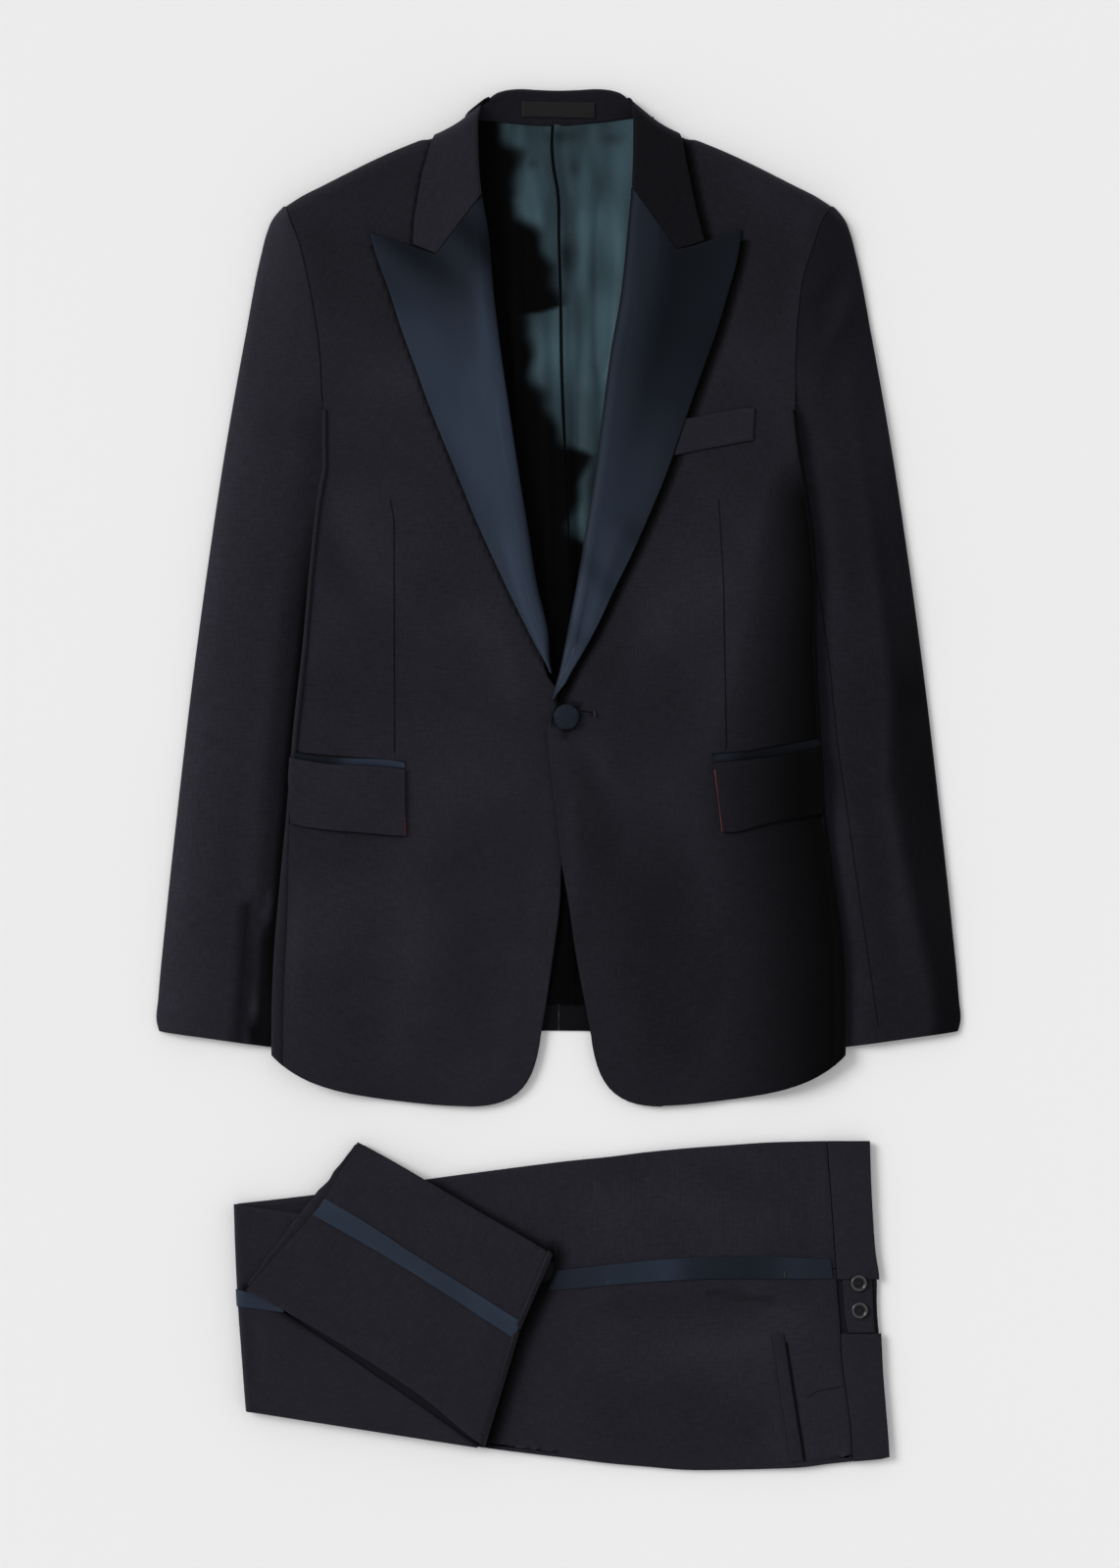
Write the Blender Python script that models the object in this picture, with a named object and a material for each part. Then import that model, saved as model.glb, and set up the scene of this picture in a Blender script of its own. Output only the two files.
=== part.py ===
"""Single-breasted tuxedo, laid flat: peak-lapel jacket above, folded trousers below.

Tables are in millimetres. "across" runs from the centre line towards a piece's own
side, "down" runs from the top of the collar towards the trousers, and heights are
above the floor. Left and right are the wearer's, so the left front lies at +X.
"""
import bmesh
import bpy
import numpy as np

# ---------------------------------------------------------------- driving dimensions
MM = 0.001
COLLAR_TOP_Y = 564.23        # the frame's origin is midway between collar and waistband
SEAM = 0.3                   # gap between neighbouring pieces

WOOL = 1.6                   # body cloth with its fusing
SLEEVE_CLOTH = 2.2           # sleeve cloth with its lining
UNDER_SLEEVE = 1.6
LAPEL_CLOTH = 1.8
LINING = 1.0
TROUSER_CLOTH = 1.4
STRIPE_CLOTH = 0.7

SLEEVE_UNDER_BODY = 6.6      # height of the part of a sleeve that the body lies on
SLEEVE_HEIGHT = 9.4          # height of the free part of a sleeve
HIDDEN_SLEEVE = 46.0         # how far a sleeve reaches under the body
ARMPIT_DOWN = 290.0
SIDE_LEVEL = 12.4            # front's height at the body's side edge
SIDE_ROLL = 3.2              # how far the side's roll reaches in from the edge
SHOULDER_ROLL = 12.0
OVERLAP_RISE = 4.4           # left front over right front and its facing at the button
ROLL_BEND = 4.0              # lapel's bend at the roll line
FRONT_SETBACK = 5.0          # front's cut edge behind the roll line
FACING_LIP = 9.0             # facing behind the front's edge
LAPEL_TAIL = {"right": 477.0, "left": 499.0}
LAPEL_LIFT = 3.2             # soft roll of the lapel above the front
LAPEL_TAIL_COLUMNS = (0.0, 0.45, 0.56, 0.67, 0.78, 0.89, 1.0)

WAIST_TOP = 6.2              # heights of the trousers' three visible layers
MIDDLE_TOP = 12.0
END_TOP = 17.8
BAND_TOP = 6.8


def table(names, *rows):
    """Named columns of a section table; the first column is the one it is read by."""
    return dict(zip(names.split(), np.array(rows, float).T))


# Side edge of the body: the armhole seam down to the armpit, then the side's fold.
SIDE = table("down right left",
             (20, 222.0, 222.4), (96, 222.0, 222.4), (108, 217.8, 215.2), (128, 210.3, 208.0),
             (150, 205.0, 200.7), (185, 198.4, 195.4), (212, 194.7, 193.7), (250, 192.8, 193.7),
             (286, 192.4, 196.8), (310, 192.6, 200.6), (330, 196.2, 204.0), (375, 201.6, 209.6),
             (458, 209.3, 211.0), (520, 216.3, 214.0), (595, 222.4, 219.0), (650, 227.6, 226.4),
             (705, 232.2, 233.6), (745, 234.0, 234.4), (790, 234.4, 234.4), (840, 234.4, 234.4))

# Where the sections across the body are taken, along its side.
ARMHOLE_STATIONS = (94.8, 98, 104, 114, 130, 150, 175, 205, 235)
SIDE_STATIONS = (262, 285, 305, 325, 345, 370, 410, 470, 540, 610, 680, 740, 789)
SIDE_HEM = 788.8

# Collar fold, lapel roll line and front edge of each front.
EDGE = table("down right left",
             (4, 53.0, 53.0), (10, 61.0, 58.5), (20, 64.2, 60.0), (45, 65.1, 60.5), (85, 62.5, 59.0),
             (118, 57.0, 56.0), (165, 53.0, 51.2), (217, 46.7, 42.2), (270, 38.9, 35.2),
             (322, 31.0, 28.5), (362, 24.3, 21.8), (407, 17.0, 14.4), (440, 9.0, 7.9),
             (478, 4.5, 0.2), (496, -4.0, -5.1), (518, -12.0, -9.2), (550, -13.0, -7.4),
             (590, -9.0, -2.5), (636, -2.5, 3.0), (660, -1.6, 7.4), (705, 4.0, 13.8),
             (750, 10.6, 22.2), (772, 14.4, 26.4))
CUTAWAY_DOWN = 772.0         # where the rounded front corner starts
CUTAWAY = ((0.0, 0.0), (4.6, 40.0), (17.6, 58.8), (57.6, 58.8))   # its curve's handles

HEM = table("across down",
            (72, 830.8), (98, 829.6), (123, 827.2), (153, 823.2), (174, 819.2),
            (189, 815.2), (209, 807.2), (222, 799.2), (234.4, 788.8))

# Outline along the collar's side and the shoulder.
SHOULDER = table("across down",
                 (52, 4.0), (60, 8.8), (68, 15.2), (80, 24.8), (96, 33.8), (110.4, 39.6),
                 (133.2, 48.8), (154, 58.4), (173.2, 68.0), (192, 77.6), (210.8, 87.2), (222.6, 94.8),
                 (240, 106.0))

# Height of the front away from its sides, and at the armhole.
LEVEL = table("down middle armhole",
              (0, 15.0, 17.0), (60, 15.0, 17.0), (110, 14.0, 17.0), (180, 13.0, 15.0), (250, 12.3, 12.6),
              (290, 12.0, 12.4), (400, 10.6, 12.4), (480, 9.6, 12.4), (560, 8.6, 12.4), (650, 7.6, 12.4),
              (740, 6.6, 12.4), (840, 5.6, 12.0))

SLEEVE_OUTER = table("down across",
                     (94, 224.2), (98, 228.0), (106, 234.2), (116, 238.4), (135, 243.4), (200, 256.0),
                     (295, 272.8), (391, 287.2), (487, 300.0), (583, 311.2), (679, 321.6), (743, 327.6),
                     (762, 328.8), (770, 326.8))
CUFF = dict(down=769.6, across=325.6, slope=0.14)

LAPEL_OUTER = table("down right left",
                    (114, 155.5, 149.8), (121, 153.2, 148.6), (140, 147.6, 145.6), (166, 138.0, 138.6),
                    (198, 127.8, 129.0), (230, 116.0, 117.6), (257, 106.4, 108.0), (280, 97.3, 100.0),
                    (312, 84.0, 88.9), (352, 67.6, 72.4), (386, 52.2, 57.0), (407, 42.4, 46.4),
                    (439, 26.6, 31.3), (454, 19.0, 23.3), (469, 10.6, 14.5), (477, 7.0, 9.8),
                    (490, 3.0, 3.4), (502, -1.0, -2.6))

# Corner points (across, down) of collar and lapel at the gorge seam.
GORGE = {
    "right": dict(roll=(62.2, 87.0), end=(99.8, 135.4), leaf=(119.0, 127.2), leaf_top=(101.6, 37.6),
                  leaf_edge=((111.2, 69.6), (117.6, 105.6)), lapel_edge=((112.0, 131.6), (136.0, 123.0)),
                  peak=(153.0, 118.6)),
    "left": dict(roll=(59.2, 80.0), end=(96.6, 131.4), leaf=(119.0, 124.6), leaf_top=(99.4, 36.4),
                 leaf_edge=((104.6, 62.0), (112.4, 100.0)), lapel_edge=((112.0, 127.8), (130.0, 121.6)),
                 peak=(148.0, 114.8)),
}

# Hip pockets: upper and lower edge of the satin jetting, lower edge of the flap.
POCKET = {
    "right": table("across jet_top jet_bottom flap_bottom",
                   (125.4, 549.6, 555.0, 609.6), (136, 548.0, 553.8, 609.0), (163, 546.6, 552.0, 606.6),
                   (185, 545.8, 551.2, 604.8), (209, 542.8, 547.6, 601.6), (217, 540.4, 545.8, 599.6),
                   (221, 538.6, 544.6, 598.4)),
    "left": table("across jet_top jet_bottom flap_bottom",
                  (127.0, 543.2, 549.6, 606.8), (140, 542.2, 548.8, 606.0), (158, 540.6, 547.2, 601.4),
                  (178, 537.2, 544.8, 596.6), (192, 534.4, 542.2, 594.8), (206, 531.8, 539.2, 592.6),
                  (217, 529.6, 537.0, 590.8)),
}
FLAP_LEAN = {"right": 0.0, "left": 7.0}      # how far the flap's front edge leans towards the side

WELT = table("across top bottom",
             (96, 270.4, 299.2), (113, 267.8, 295.4), (136.4, 263.2, 291.0), (155, 260.6, 287.6),
             (160.2, 260.8, 286.8))

PLEAT = table("down across",
              (28, -4.4), (46, -5.0), (65, -3.4), (82, -0.4), (124, 0.8), (177, 2.2), (230, 3.0),
              (257, 4.0), (362, 8.6), (480, 9.0), (748, 9.0))
LINING_HALF = 78.0
LINING_HEM = 747.0
BACK_HEM = 769.0

COLLAR_FOLD = table("across down", (-53, 4.4), (-44, 1.6), (-30, 0.2), (0, 0.6), (30, 0.2), (44, 1.6), (53, 4.4))
STAND_SEAM = table("across down", (-66, 24.4), (-51, 26.0), (-20, 28.6), (0, 29.2), (30, 26.6), (62, 22.6))
STAND_TOP = 9.4
STAND_FOOT = 4.4
FALL_DEPTH = 19.0
LABEL = dict(left=-30.0, right=29.6, top=10.4, bottom=22.6, thick=0.5)

BUTTON = dict(across=6.4, down=512.6, radius=10.3, height=4.6)
ADJUSTER_BUTTON = dict(radius=6.6, height=2.6, places=((245.1, 974.6), (245.8, 996.8)))

# Trousers, waist to the fold: creases and the edges of the satin stripe.
WAIST_LEG = table("across upper stripe_top stripe_bottom lower",
                  (-264, 910.2, 990.0, 1006.0, 1078.0), (-216, 904.8, 986.0, 1002.0, 1084.8),
                  (-160, 897.6, 981.0, 997.0, 1094.2), (-104, 889.6, 975.0, 991.0, 1103.2),
                  (-56, 883.2, 970.0, 986.0, 1110.4), (8, 875.2, 963.6, 979.8, 1118.4),
                  (40, 872.0, 960.0, 976.8, 1122.4), (72, 868.0, 956.6, 974.2, 1125.4),
                  (104, 864.8, 954.4, 972.2, 1128.0), (136, 862.4, 953.4, 971.5, 1128.0),
                  (168, 860.2, 953.0, 971.5, 1127.2), (200, 859.2, 954.4, 971.5, 1125.6),
                  (219.5, 858.8, 955.2, 971.2, 1123.2), (240, 858.6, 956.0, 971.0, 1121.0))
WAIST_SEAM = table("down across",
                   (858, 219.2), (899, 222.4), (931, 224.8), (956, 226.4), (983, 228.0), (1004, 229.9),
                   (1042, 232.0), (1064, 235.0), (1090, 238.4), (1121, 240.6))
WAIST_EDGE = table("down across",
                   (858, 254.4), (887, 255.2), (919, 256.8), (951, 259.2), (970, 262.0), (984, 261.8),
                   (1004, 262.4), (1012, 263.2), (1051, 265.4), (1077, 267.5), (1103, 269.6), (1119, 270.6))
BAND_FRONT_END = 972.0
BAND_BACK_TOP = 1016.0
BAND_CORNER = (264.0, 1118.6)

FOLD_EDGE = table("down across",
                  (910, -265.4), (952, -264.0), (999, -261.6), (1031, -259.2), (1063, -256.8), (1080, -255.4))
MIDDLE_LEG = table("across upper stripe_top stripe_bottom",
                   (-266, 909.8, 979.2, 993.2), (-252, 912.2, 981.2, 994.4), (-236, 915.2, 983.6, 996.2),
                   (-219, 917.8, 986.2, 998.4), (-190, 922.0, 990.6, 1002.4), (0, 950.2, 1018.0, 1032.0))

# Trousers' end layer: its two creases, its fold and its hem.
END_UPPER = ((-164.0, 859.4), (-156.8, 863.2), (-127.2, 879.2), (-60.0, 918.4), (-16.8, 943.0), (-4.6, 950.6))
END_LOWER = ((-254.6, 979.2), (-232.0, 991.2), (-168.0, 1028.8), (-106.4, 1069.6), (-76.0, 1095.0), (-60.0, 1107.4))
END_FOLD = ((-4.6, 950.6), (-9.1, 968.0), (-24.0, 999.2), (-34.4, 1021.6), (-44.8, 1055.2), (-60.0, 1107.4))
END_HEM = ((-164.0, 859.4), (-180.0, 883.2), (-190.4, 904.8), (-208.0, 924.4), (-229.0, 950.4), (-254.6, 979.2))
UNDER_HEM = ((-166.4, 862.0), (-188.0, 890.0), (-205.6, 910.4), (-226.4, 937.4), (-247.2, 965.4), (-256.2, 979.0))
END_STRIPE = dict(top=((-189.8, 905.2), (-157.6, 923.6), (-116.8, 950.2), (-76.0, 975.8), (-29.6, 1005.4)),
                  bottom=((-199.8, 918.0), (-157.6, 941.8), (-116.8, 966.2), (-76.0, 992.4), (-33.4, 1020.0)))

WAIST_LEFT = ((-262.4, 916.0), (-214, 921.0), (-186, 914.0), (-164, 900.0))
END_TIE = ((-195, 950), (-40, 968), (-200, 985), (-76, 1068))   # where the end layer's core joins the middle's
LEG_SLOPE = 0.14             # down per across of the folded legs
FOLD_REACH = 5.0             # how far a fold's roll reaches in
CREASE_PLACES = np.array([0.0, 0.6, 1.6, 4.0])   # where a crease is rounded, in from its edge
BASE_SIDES = ((0.0, 4.4), (0.3, 3.2), (0.36, 1.0), (0.45, 0.5), (0.52, 1.3), (0.62, 0.3), (0.85, 0.2), (1.0, 1.4))
MIDDLE_SIDES = ((0.0, 3.4), (0.22, 1.4), (0.38, 0.3), (0.58, 0.8), (0.8, 0.2), (1.0, 2.0))
END_SIDES = ((0.0, 2.4), (0.25, 0.8), (0.45, 0.3), (0.55, 0.9), (0.75, 0.2), (1.0, 1.6))

REAR_POCKET = dict(top=((174.0, 1017.0), (183.4, 1016.0)), bottom=((189.8, 1120.6), (199.6, 1119.6)))

COLOURS = {"wool": (0.011, 0.011, 0.014), "satin": (0.014, 0.020, 0.036), "lining": (0.035, 0.075, 0.085),
           "flap_lining": (0.42, 0.05, 0.03), "label": (0.006, 0.006, 0.006), "button": (0.008, 0.008, 0.008)}
ROUGHNESS = {"wool": 0.85, "satin": 0.38, "lining": 0.42, "flap_lining": 0.5, "label": 0.6, "button": 0.2}


# ---------------------------------------------------------------- curves and surfaces
def read(tab, name, at):
    """Smooth value of a table's column where its first column has the value at."""
    key = next(iter(tab))
    places, values = tab[key], tab[name]
    at = np.clip(np.asarray(at, float), places[0], places[-1])
    slope = np.gradient(values, places)
    i = np.clip(np.searchsorted(places, at, side="right") - 1, 0, len(places) - 2)
    width = places[i + 1] - places[i]
    t = (at - places[i]) / width
    start, end = values[i], values[i + 1]
    return (start * (1 + 2 * t) * (1 - t) ** 2 + end * t * t * (3 - 2 * t)
            + width * (slope[i] * t * (1 - t) ** 2 - slope[i + 1] * t * t * (1 - t)))


def ease(t):
    """Smooth step from 0 to 1."""
    t = np.clip(t, 0.0, 1.0)
    return t * t * (3.0 - 2.0 * t)


def shares(count):
    return np.linspace(0.0, 1.0, count)


def along(points, places):
    """Points at the given shares of the length of a smooth curve through points."""
    points = np.array(points, float)
    knots = np.concatenate(([0.0], np.cumsum(np.linalg.norm(np.diff(points, axis=0), axis=1))))
    tab = {"t": knots, "x": points[:, 0], "y": points[:, 1]}
    fine = np.linspace(0.0, knots[-1], 12 * len(points))
    if len(points) == 2:
        dense = np.stack([np.interp(fine, knots, points[:, k]) for k in (0, 1)], -1)
    else:
        dense = np.stack([read(tab, "x", fine), read(tab, "y", fine)], -1)
    length = np.concatenate(([0.0], np.cumsum(np.linalg.norm(np.diff(dense, axis=0), axis=1))))
    want = np.asarray(places) * length[-1]
    return np.stack([np.interp(want, length, dense[:, k]) for k in (0, 1)], -1)


def bezier(handles, count):
    a, b, c, d = (np.array(handle, float) for handle in handles)
    t = shares(count)[:, None]
    return a * (1 - t) ** 3 + 3 * b * t * (1 - t) ** 2 + 3 * c * t * t * (1 - t) + d * t ** 3


def lengths(points):
    """Share of a broken line's length at each of its points."""
    steps = np.linalg.norm(np.diff(np.array(points, float), axis=0), axis=1)
    run = np.concatenate(([0.0], np.cumsum(steps)))
    return run / run[-1]


def straight(points, places):
    """Points at the given shares of the length of a broken line, which keeps its corners."""
    points = np.array(points, float)
    return np.stack([np.interp(places, lengths(points), points[:, k]) for k in (0, 1)], -1)


def patch(top, bottom, start, end):
    """Plan grid inside four edges: a row for each point of start and end, a column for each of top."""
    top, bottom, start, end = (np.array(edge, float) for edge in (top, bottom, start, end))
    start[0], start[-1], end[0], end[-1] = top[0], bottom[0], top[-1], bottom[-1]
    v = ((lengths(start) + lengths(end)) / 2)[:, None, None]
    u = ((lengths(top) + lengths(bottom)) / 2)[None, :, None]
    ruled = (1 - v) * top[None] + v * bottom[None] + (1 - u) * start[:, None] + u * end[:, None]
    corners = ((1 - u) * (1 - v) * top[0] + u * (1 - v) * top[-1]
               + (1 - u) * v * bottom[0] + u * v * bottom[-1])
    return ruled - corners


def raised(plan, height):
    """Grid of points over a plan grid; height is a number, a grid or a function."""
    if callable(height):
        height = height(plan[..., 0], plan[..., 1])
    height = np.broadcast_to(height, plan.shape[:2])
    return np.concatenate([plan, height[..., None]], -1)


def normals(grid):
    """Outward unit normals of a grid: its highest parts face up."""
    def slope(axis):
        return np.gradient(grid, axis=axis)
    normal = np.cross(slope(1), slope(0))
    normal /= np.maximum(np.linalg.norm(normal, axis=-1, keepdims=True), 1e-9)
    height = grid[..., 2]
    high = height >= height.max() - 0.25 * (height.max() - height.min())
    return normal if normal[high][:, 2].mean() > 0 else -normal


def placed(points, side):
    """Millimetres of a piece's own side to metres of the shared frame."""
    out = np.array(points, float)
    out[..., 0] *= side
    out[..., 1] = COLLAR_TOP_Y - out[..., 1]
    return out * MM


# ---------------------------------------------------------------- solids
def material(name):
    found = bpy.data.materials.get(name)
    if found:
        return found
    made = bpy.data.materials.new(name)
    made.use_nodes = True
    surface = made.node_tree.nodes["Principled BSDF"]
    surface.inputs["Base Color"].default_value = (*COLOURS[name], 1.0)
    surface.inputs["Roughness"].default_value = ROUGHNESS[name]
    surface.inputs["Metallic"].default_value = 0.0
    return made


def solid(name, points, faces, slot):
    """Closed mesh object with its faces pointing out."""
    mesh = bpy.data.meshes.new(name)
    mesh.from_pydata([tuple(point) for point in points], [], faces)
    bm = bmesh.new()
    bm.from_mesh(mesh)
    if bm.calc_volume(signed=True) < 0:
        bmesh.ops.reverse_faces(bm, faces=bm.faces)
    bm.to_mesh(mesh)
    bm.free()
    mesh.shade_smooth()
    mesh.set_sharp_from_angle(angle=np.radians(40))
    mesh.materials.append(material(slot))
    thing = bpy.data.objects.new(name, mesh)
    bpy.context.scene.collection.objects.link(thing)
    return thing


def sheet(name, outer, inner, slot, side=1):
    """Cloth wall between two grids of points."""
    rows, columns = outer.shape[:2]
    points = np.concatenate([placed(outer, side).reshape(-1, 3), placed(inner, side).reshape(-1, 3)])
    back = rows * columns

    def at(r, c):
        return r * columns + c
    faces = []
    for r in range(rows - 1):
        for c in range(columns - 1):
            loop = (at(r, c), at(r, c + 1), at(r + 1, c + 1), at(r + 1, c))
            faces.append(loop)
            faces.append(tuple(back + i for i in reversed(loop)))
    rim = ([at(0, c) for c in range(columns)] + [at(r, columns - 1) for r in range(1, rows)]
           + [at(rows - 1, c) for c in range(columns - 2, -1, -1)] + [at(r, 0) for r in range(rows - 2, 0, -1)])
    for i, j in zip(rim, rim[1:] + rim[:1]):
        faces.append((j, i, back + i, back + j))
    return solid(name, points, faces, slot)


def wall(name, grid, thick, slot, side=1, floor=0.0):
    """Wall whose outer face is the grid; its inner face stays above floor."""
    inner = grid - normals(grid) * thick
    inner[..., 2] = np.maximum(inner[..., 2], floor)
    return sheet(name, grid, inner, slot, side)


def slab(name, grid, thick, slot, side=1):
    """Wall of one thickness straight down, for cloth that rests flat."""
    return sheet(name, grid, grid - np.array([0, 0, thick]), slot, side)


def on_top(name, grid, gap, thick, slot, side=1):
    """Piece that lies on a panel: the panel's points moved out along their normals."""
    normal = normals(grid)
    return sheet(name, grid + normal * (gap + thick), grid + normal * gap, slot, side)


def turned_disc(name, centre, profile, slot, segments=20):
    """Round piece from a profile of (radius, height) rows, closed at both ends."""
    angles = np.linspace(0, 2 * np.pi, segments, endpoint=False)
    points = [(centre[0] + r * np.cos(a), centre[1] + r * np.sin(a), centre[2] + h)
              for r, h in profile for a in angles]
    faces = [tuple(reversed(range(segments))), tuple(range(len(points) - segments, len(points)))]
    for k in range(len(profile) - 1):
        for i in range(segments):
            j = (i + 1) % segments
            faces.append((k * segments + i, k * segments + j, (k + 1) * segments + j, (k + 1) * segments + i))
    return solid(name, placed(points, 1), faces, slot)


# ---------------------------------------------------------------- how the jacket lies
def bed(across, down, wearer):
    """Height of what lies under the body: the floor, and near the sides the sleeves."""
    edge = read(SIDE, wearer, down)
    hidden = HIDDEN_SLEEVE * ease((down - ARMPIT_DOWN) / 60)
    over_sleeve = ease((across - (edge - hidden - 38)) / 30) * ease((down - 248) / 34)
    return (SLEEVE_UNDER_BODY + SEAM) * over_sleeve


def shoulder_setback(across):
    """The front's shoulder edge lies inside the collar's outline under the collar."""
    return 2.4 * (1 - ease((across - 104) / 10))


def rounded(distance, reach):
    """Share of full height at a distance in from a rolled edge."""
    near = 1 - np.clip(distance / reach, 0, 1)
    return np.sqrt(1 - near * near)


def front_height(across, down, wearer):
    """Top of the front panels."""
    edge = read(SIDE, wearer, down)
    middle, armhole = read(LEVEL, "middle", down), read(LEVEL, "armhole", down)
    level = middle + (armhole - middle) * ease((across - (edge - 100)) / 60)
    past = (down - read(SHOULDER, "down", across) - shoulder_setback(across)) * 0.9
    height = 2.0 + (level - 2.0) * np.maximum(rounded(past, SHOULDER_ROLL), 0.0)
    if wearer == "left":
        height = height + overlap_rise(across, down)
    return height


def overlap_rise(across, down):
    """The left front's rise where it lies on the right one."""
    window = ease((down - 450) / 25) * (1 - ease((down - 640) / 50))
    return OVERLAP_RISE * (1 - ease((across - 16) / 44)) * window


def skin(across, down, wearer):
    """Outer face of the body with the upper half of the side's roll."""
    edge = read(SIDE, wearer, down)
    height = front_height(across, down, wearer)
    half = (SIDE_LEVEL - SLEEVE_UNDER_BODY - SEAM) / 2
    return height - half * (1 - rounded(edge - across, SIDE_ROLL)) * (down > ARMPIT_DOWN)


def turned_lift(across, down, wearer):
    """Soft roll of lapel and collar above the front, highest at the fold."""
    from_fold = across - read(EDGE, wearer, down)
    roll = LAPEL_LIFT * (1 - ease(from_fold / 45)) * (1 - 0.7 * ease((down - 400) / 80))
    return roll + 0.3 + 0.5 * ease((down - 380) / 50)


def turned_height(across, down, wearer):
    """Top of lapel and collar leaf, which lie on the front with a soft roll at the fold."""
    edge = read(SIDE, wearer, down)
    middle, armhole = read(LEVEL, "middle", down), read(LEVEL, "armhole", down)
    level = middle + (armhole - middle) * ease((across - (edge - 100)) / 60)
    if wearer == "left":
        level = level + overlap_rise(across, down)
    level = level + SEAM + LAPEL_CLOTH + turned_lift(across, down, wearer)
    past = (down - read(SHOULDER, "down", across)) * 0.9
    return 2.2 + (level - 2.2) * rounded(past, SHOULDER_ROLL)


def sleeve_height(across, down, wearer):
    """Top of a sleeve: joined to the front at the armhole, pressed where the body lies on it."""
    edge = read(SIDE, wearer, down)
    outer = read(SLEEVE_OUTER, "across", down)
    out = across - edge
    free = SLEEVE_HEIGHT * (1 - 0.12 * ease((down - 500) / 280))
    pressed = SLEEVE_UNDER_BODY + (free - SLEEVE_UNDER_BODY) * ease((out - 2) / 18)
    head = read(LEVEL, "armhole", down) - 0.4
    joined = free + (head - free) * (1 - ease(out / 46))
    height = joined + (pressed - joined) * ease((down - 238) / 50)
    height = 1.9 + (height - 1.9) * rounded(outer - across, 8.0)
    inner = edge + SEAM - HIDDEN_SLEEVE * ease((down - ARMPIT_DOWN) / 60)
    tucked = ease((down - 286) / 26)
    height = height - (height - 1.9) * (1 - rounded(across - inner, 6.0)) * tucked
    past = (down - read(SHOULDER, "down", across)) * 0.9
    return 1.9 + (height - 1.9) * rounded(past + 0.8, SHOULDER_ROLL)


# ---------------------------------------------------------------- jacket pieces
def side_seam(down, wearer):
    """Seam between front and side panel, and above the armpit the armhole seam."""
    inset = 0.15 + 4.8 * ease((down - 246) / 16) + 9.2 * ease((down - 300) / 480)
    return read(SIDE, wearer, down) - inset


def side_stations(end):
    """Sections below the armpit, down to a hem at end."""
    first, last = SIDE_STATIONS[0], SIDE_STATIONS[-1]
    return first + (np.array(SIDE_STATIONS, float) - first) * (end - first) / (last - first)


def seam_hem(wearer):
    """Where the side seam meets the front's hem: (across, down)."""
    across = side_seam(789.0, wearer)
    return across, float(read(HEM, "down", across))


def front_panel(wearer, side):
    """Front: shoulder, armhole, side seam, hem, rounded front corner and front edge."""
    downs = np.array([24, 45, 85, 118, 165, 217, 270, 322, 362, 407, 440, 460, 477, 488, 499, 510, 521,
                      550, 590, 636, 680, 730, CUTAWAY_DOWN])
    setback = FRONT_SETBACK * (1 - ease((downs - LAPEL_TAIL[wearer]) / 22))
    edge = np.stack([read(EDGE, wearer, downs) + setback, downs], -1)
    edge = np.concatenate([edge, edge[-1] + bezier(CUTAWAY, 13)[1:]])
    across = np.linspace(edge[0][0], 222.0, 12)
    shoulder = np.stack([across, read(SHOULDER, "down", across) + shoulder_setback(across)], -1)
    edge[0] = shoulder[0]
    stations = side_stations(seam_hem(wearer)[1])
    seam = np.concatenate([ARMHOLE_STATIONS, stations[:-1], np.linspace(stations[-2], stations[-1], 8)[1:]])
    seam = np.stack([side_seam(seam, wearer), seam], -1)
    seam[0] = shoulder[-1]
    hem_across = np.concatenate([[edge[-1][0]], HEM["across"][1:7], [seam[-1][0]]])
    hem = np.stack([hem_across, read(HEM, "down", hem_across)], -1)
    hem[0] = edge[-1]
    columns = np.array([0, 0.09, 0.2, 0.34, 0.48, 0.62, 0.76, 0.88, 1.0])
    plan = patch(along(shoulder, columns), along(hem, columns), straight(edge, lengths(seam)), seam)
    grid = raised(plan, lambda x, d: front_height(x, d, wearer))
    wall("front_" + wearer, grid, WOOL, "wool", side, floor=WOOL + SEAM)


def side_panel(wearer, side):
    """Side panel: from the front's seam round the side's fold to the back's seam."""
    turn = np.radians([90, 60, 30, 0, -30, -60, -90])
    rows = []
    for seam_down, down in zip(side_stations(seam_hem(wearer)[1]), side_stations(SIDE_HEM)):
        edge = read(SIDE, wearer, down)
        top = front_height(edge - SIDE_ROLL, down, wearer)
        low = bed(edge - SIDE_ROLL, down, wearer)
        middle, half = (top + low) / 2, (top - low) / 2
        seam = side_seam(seam_down, wearer) + 2 * SEAM
        row = [(seam, seam_down, front_height(seam, seam_down, wearer))]
        for angle in turn:
            across = edge - SIDE_ROLL + SIDE_ROLL * np.cos(angle)
            lean = (1 - (across - seam) / (edge - seam)) * max(np.sin(angle), 0)
            row.append((across, down + (seam_down - down) * lean, middle + half * np.sin(angle)))
        for inward in (9.0, 15.0):
            row.append((edge - inward, down, bed(edge - inward, down, wearer)))
        rows.append(row)
    wall("side_panel_" + wearer, np.array(rows), WOOL, "wool", side)


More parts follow.
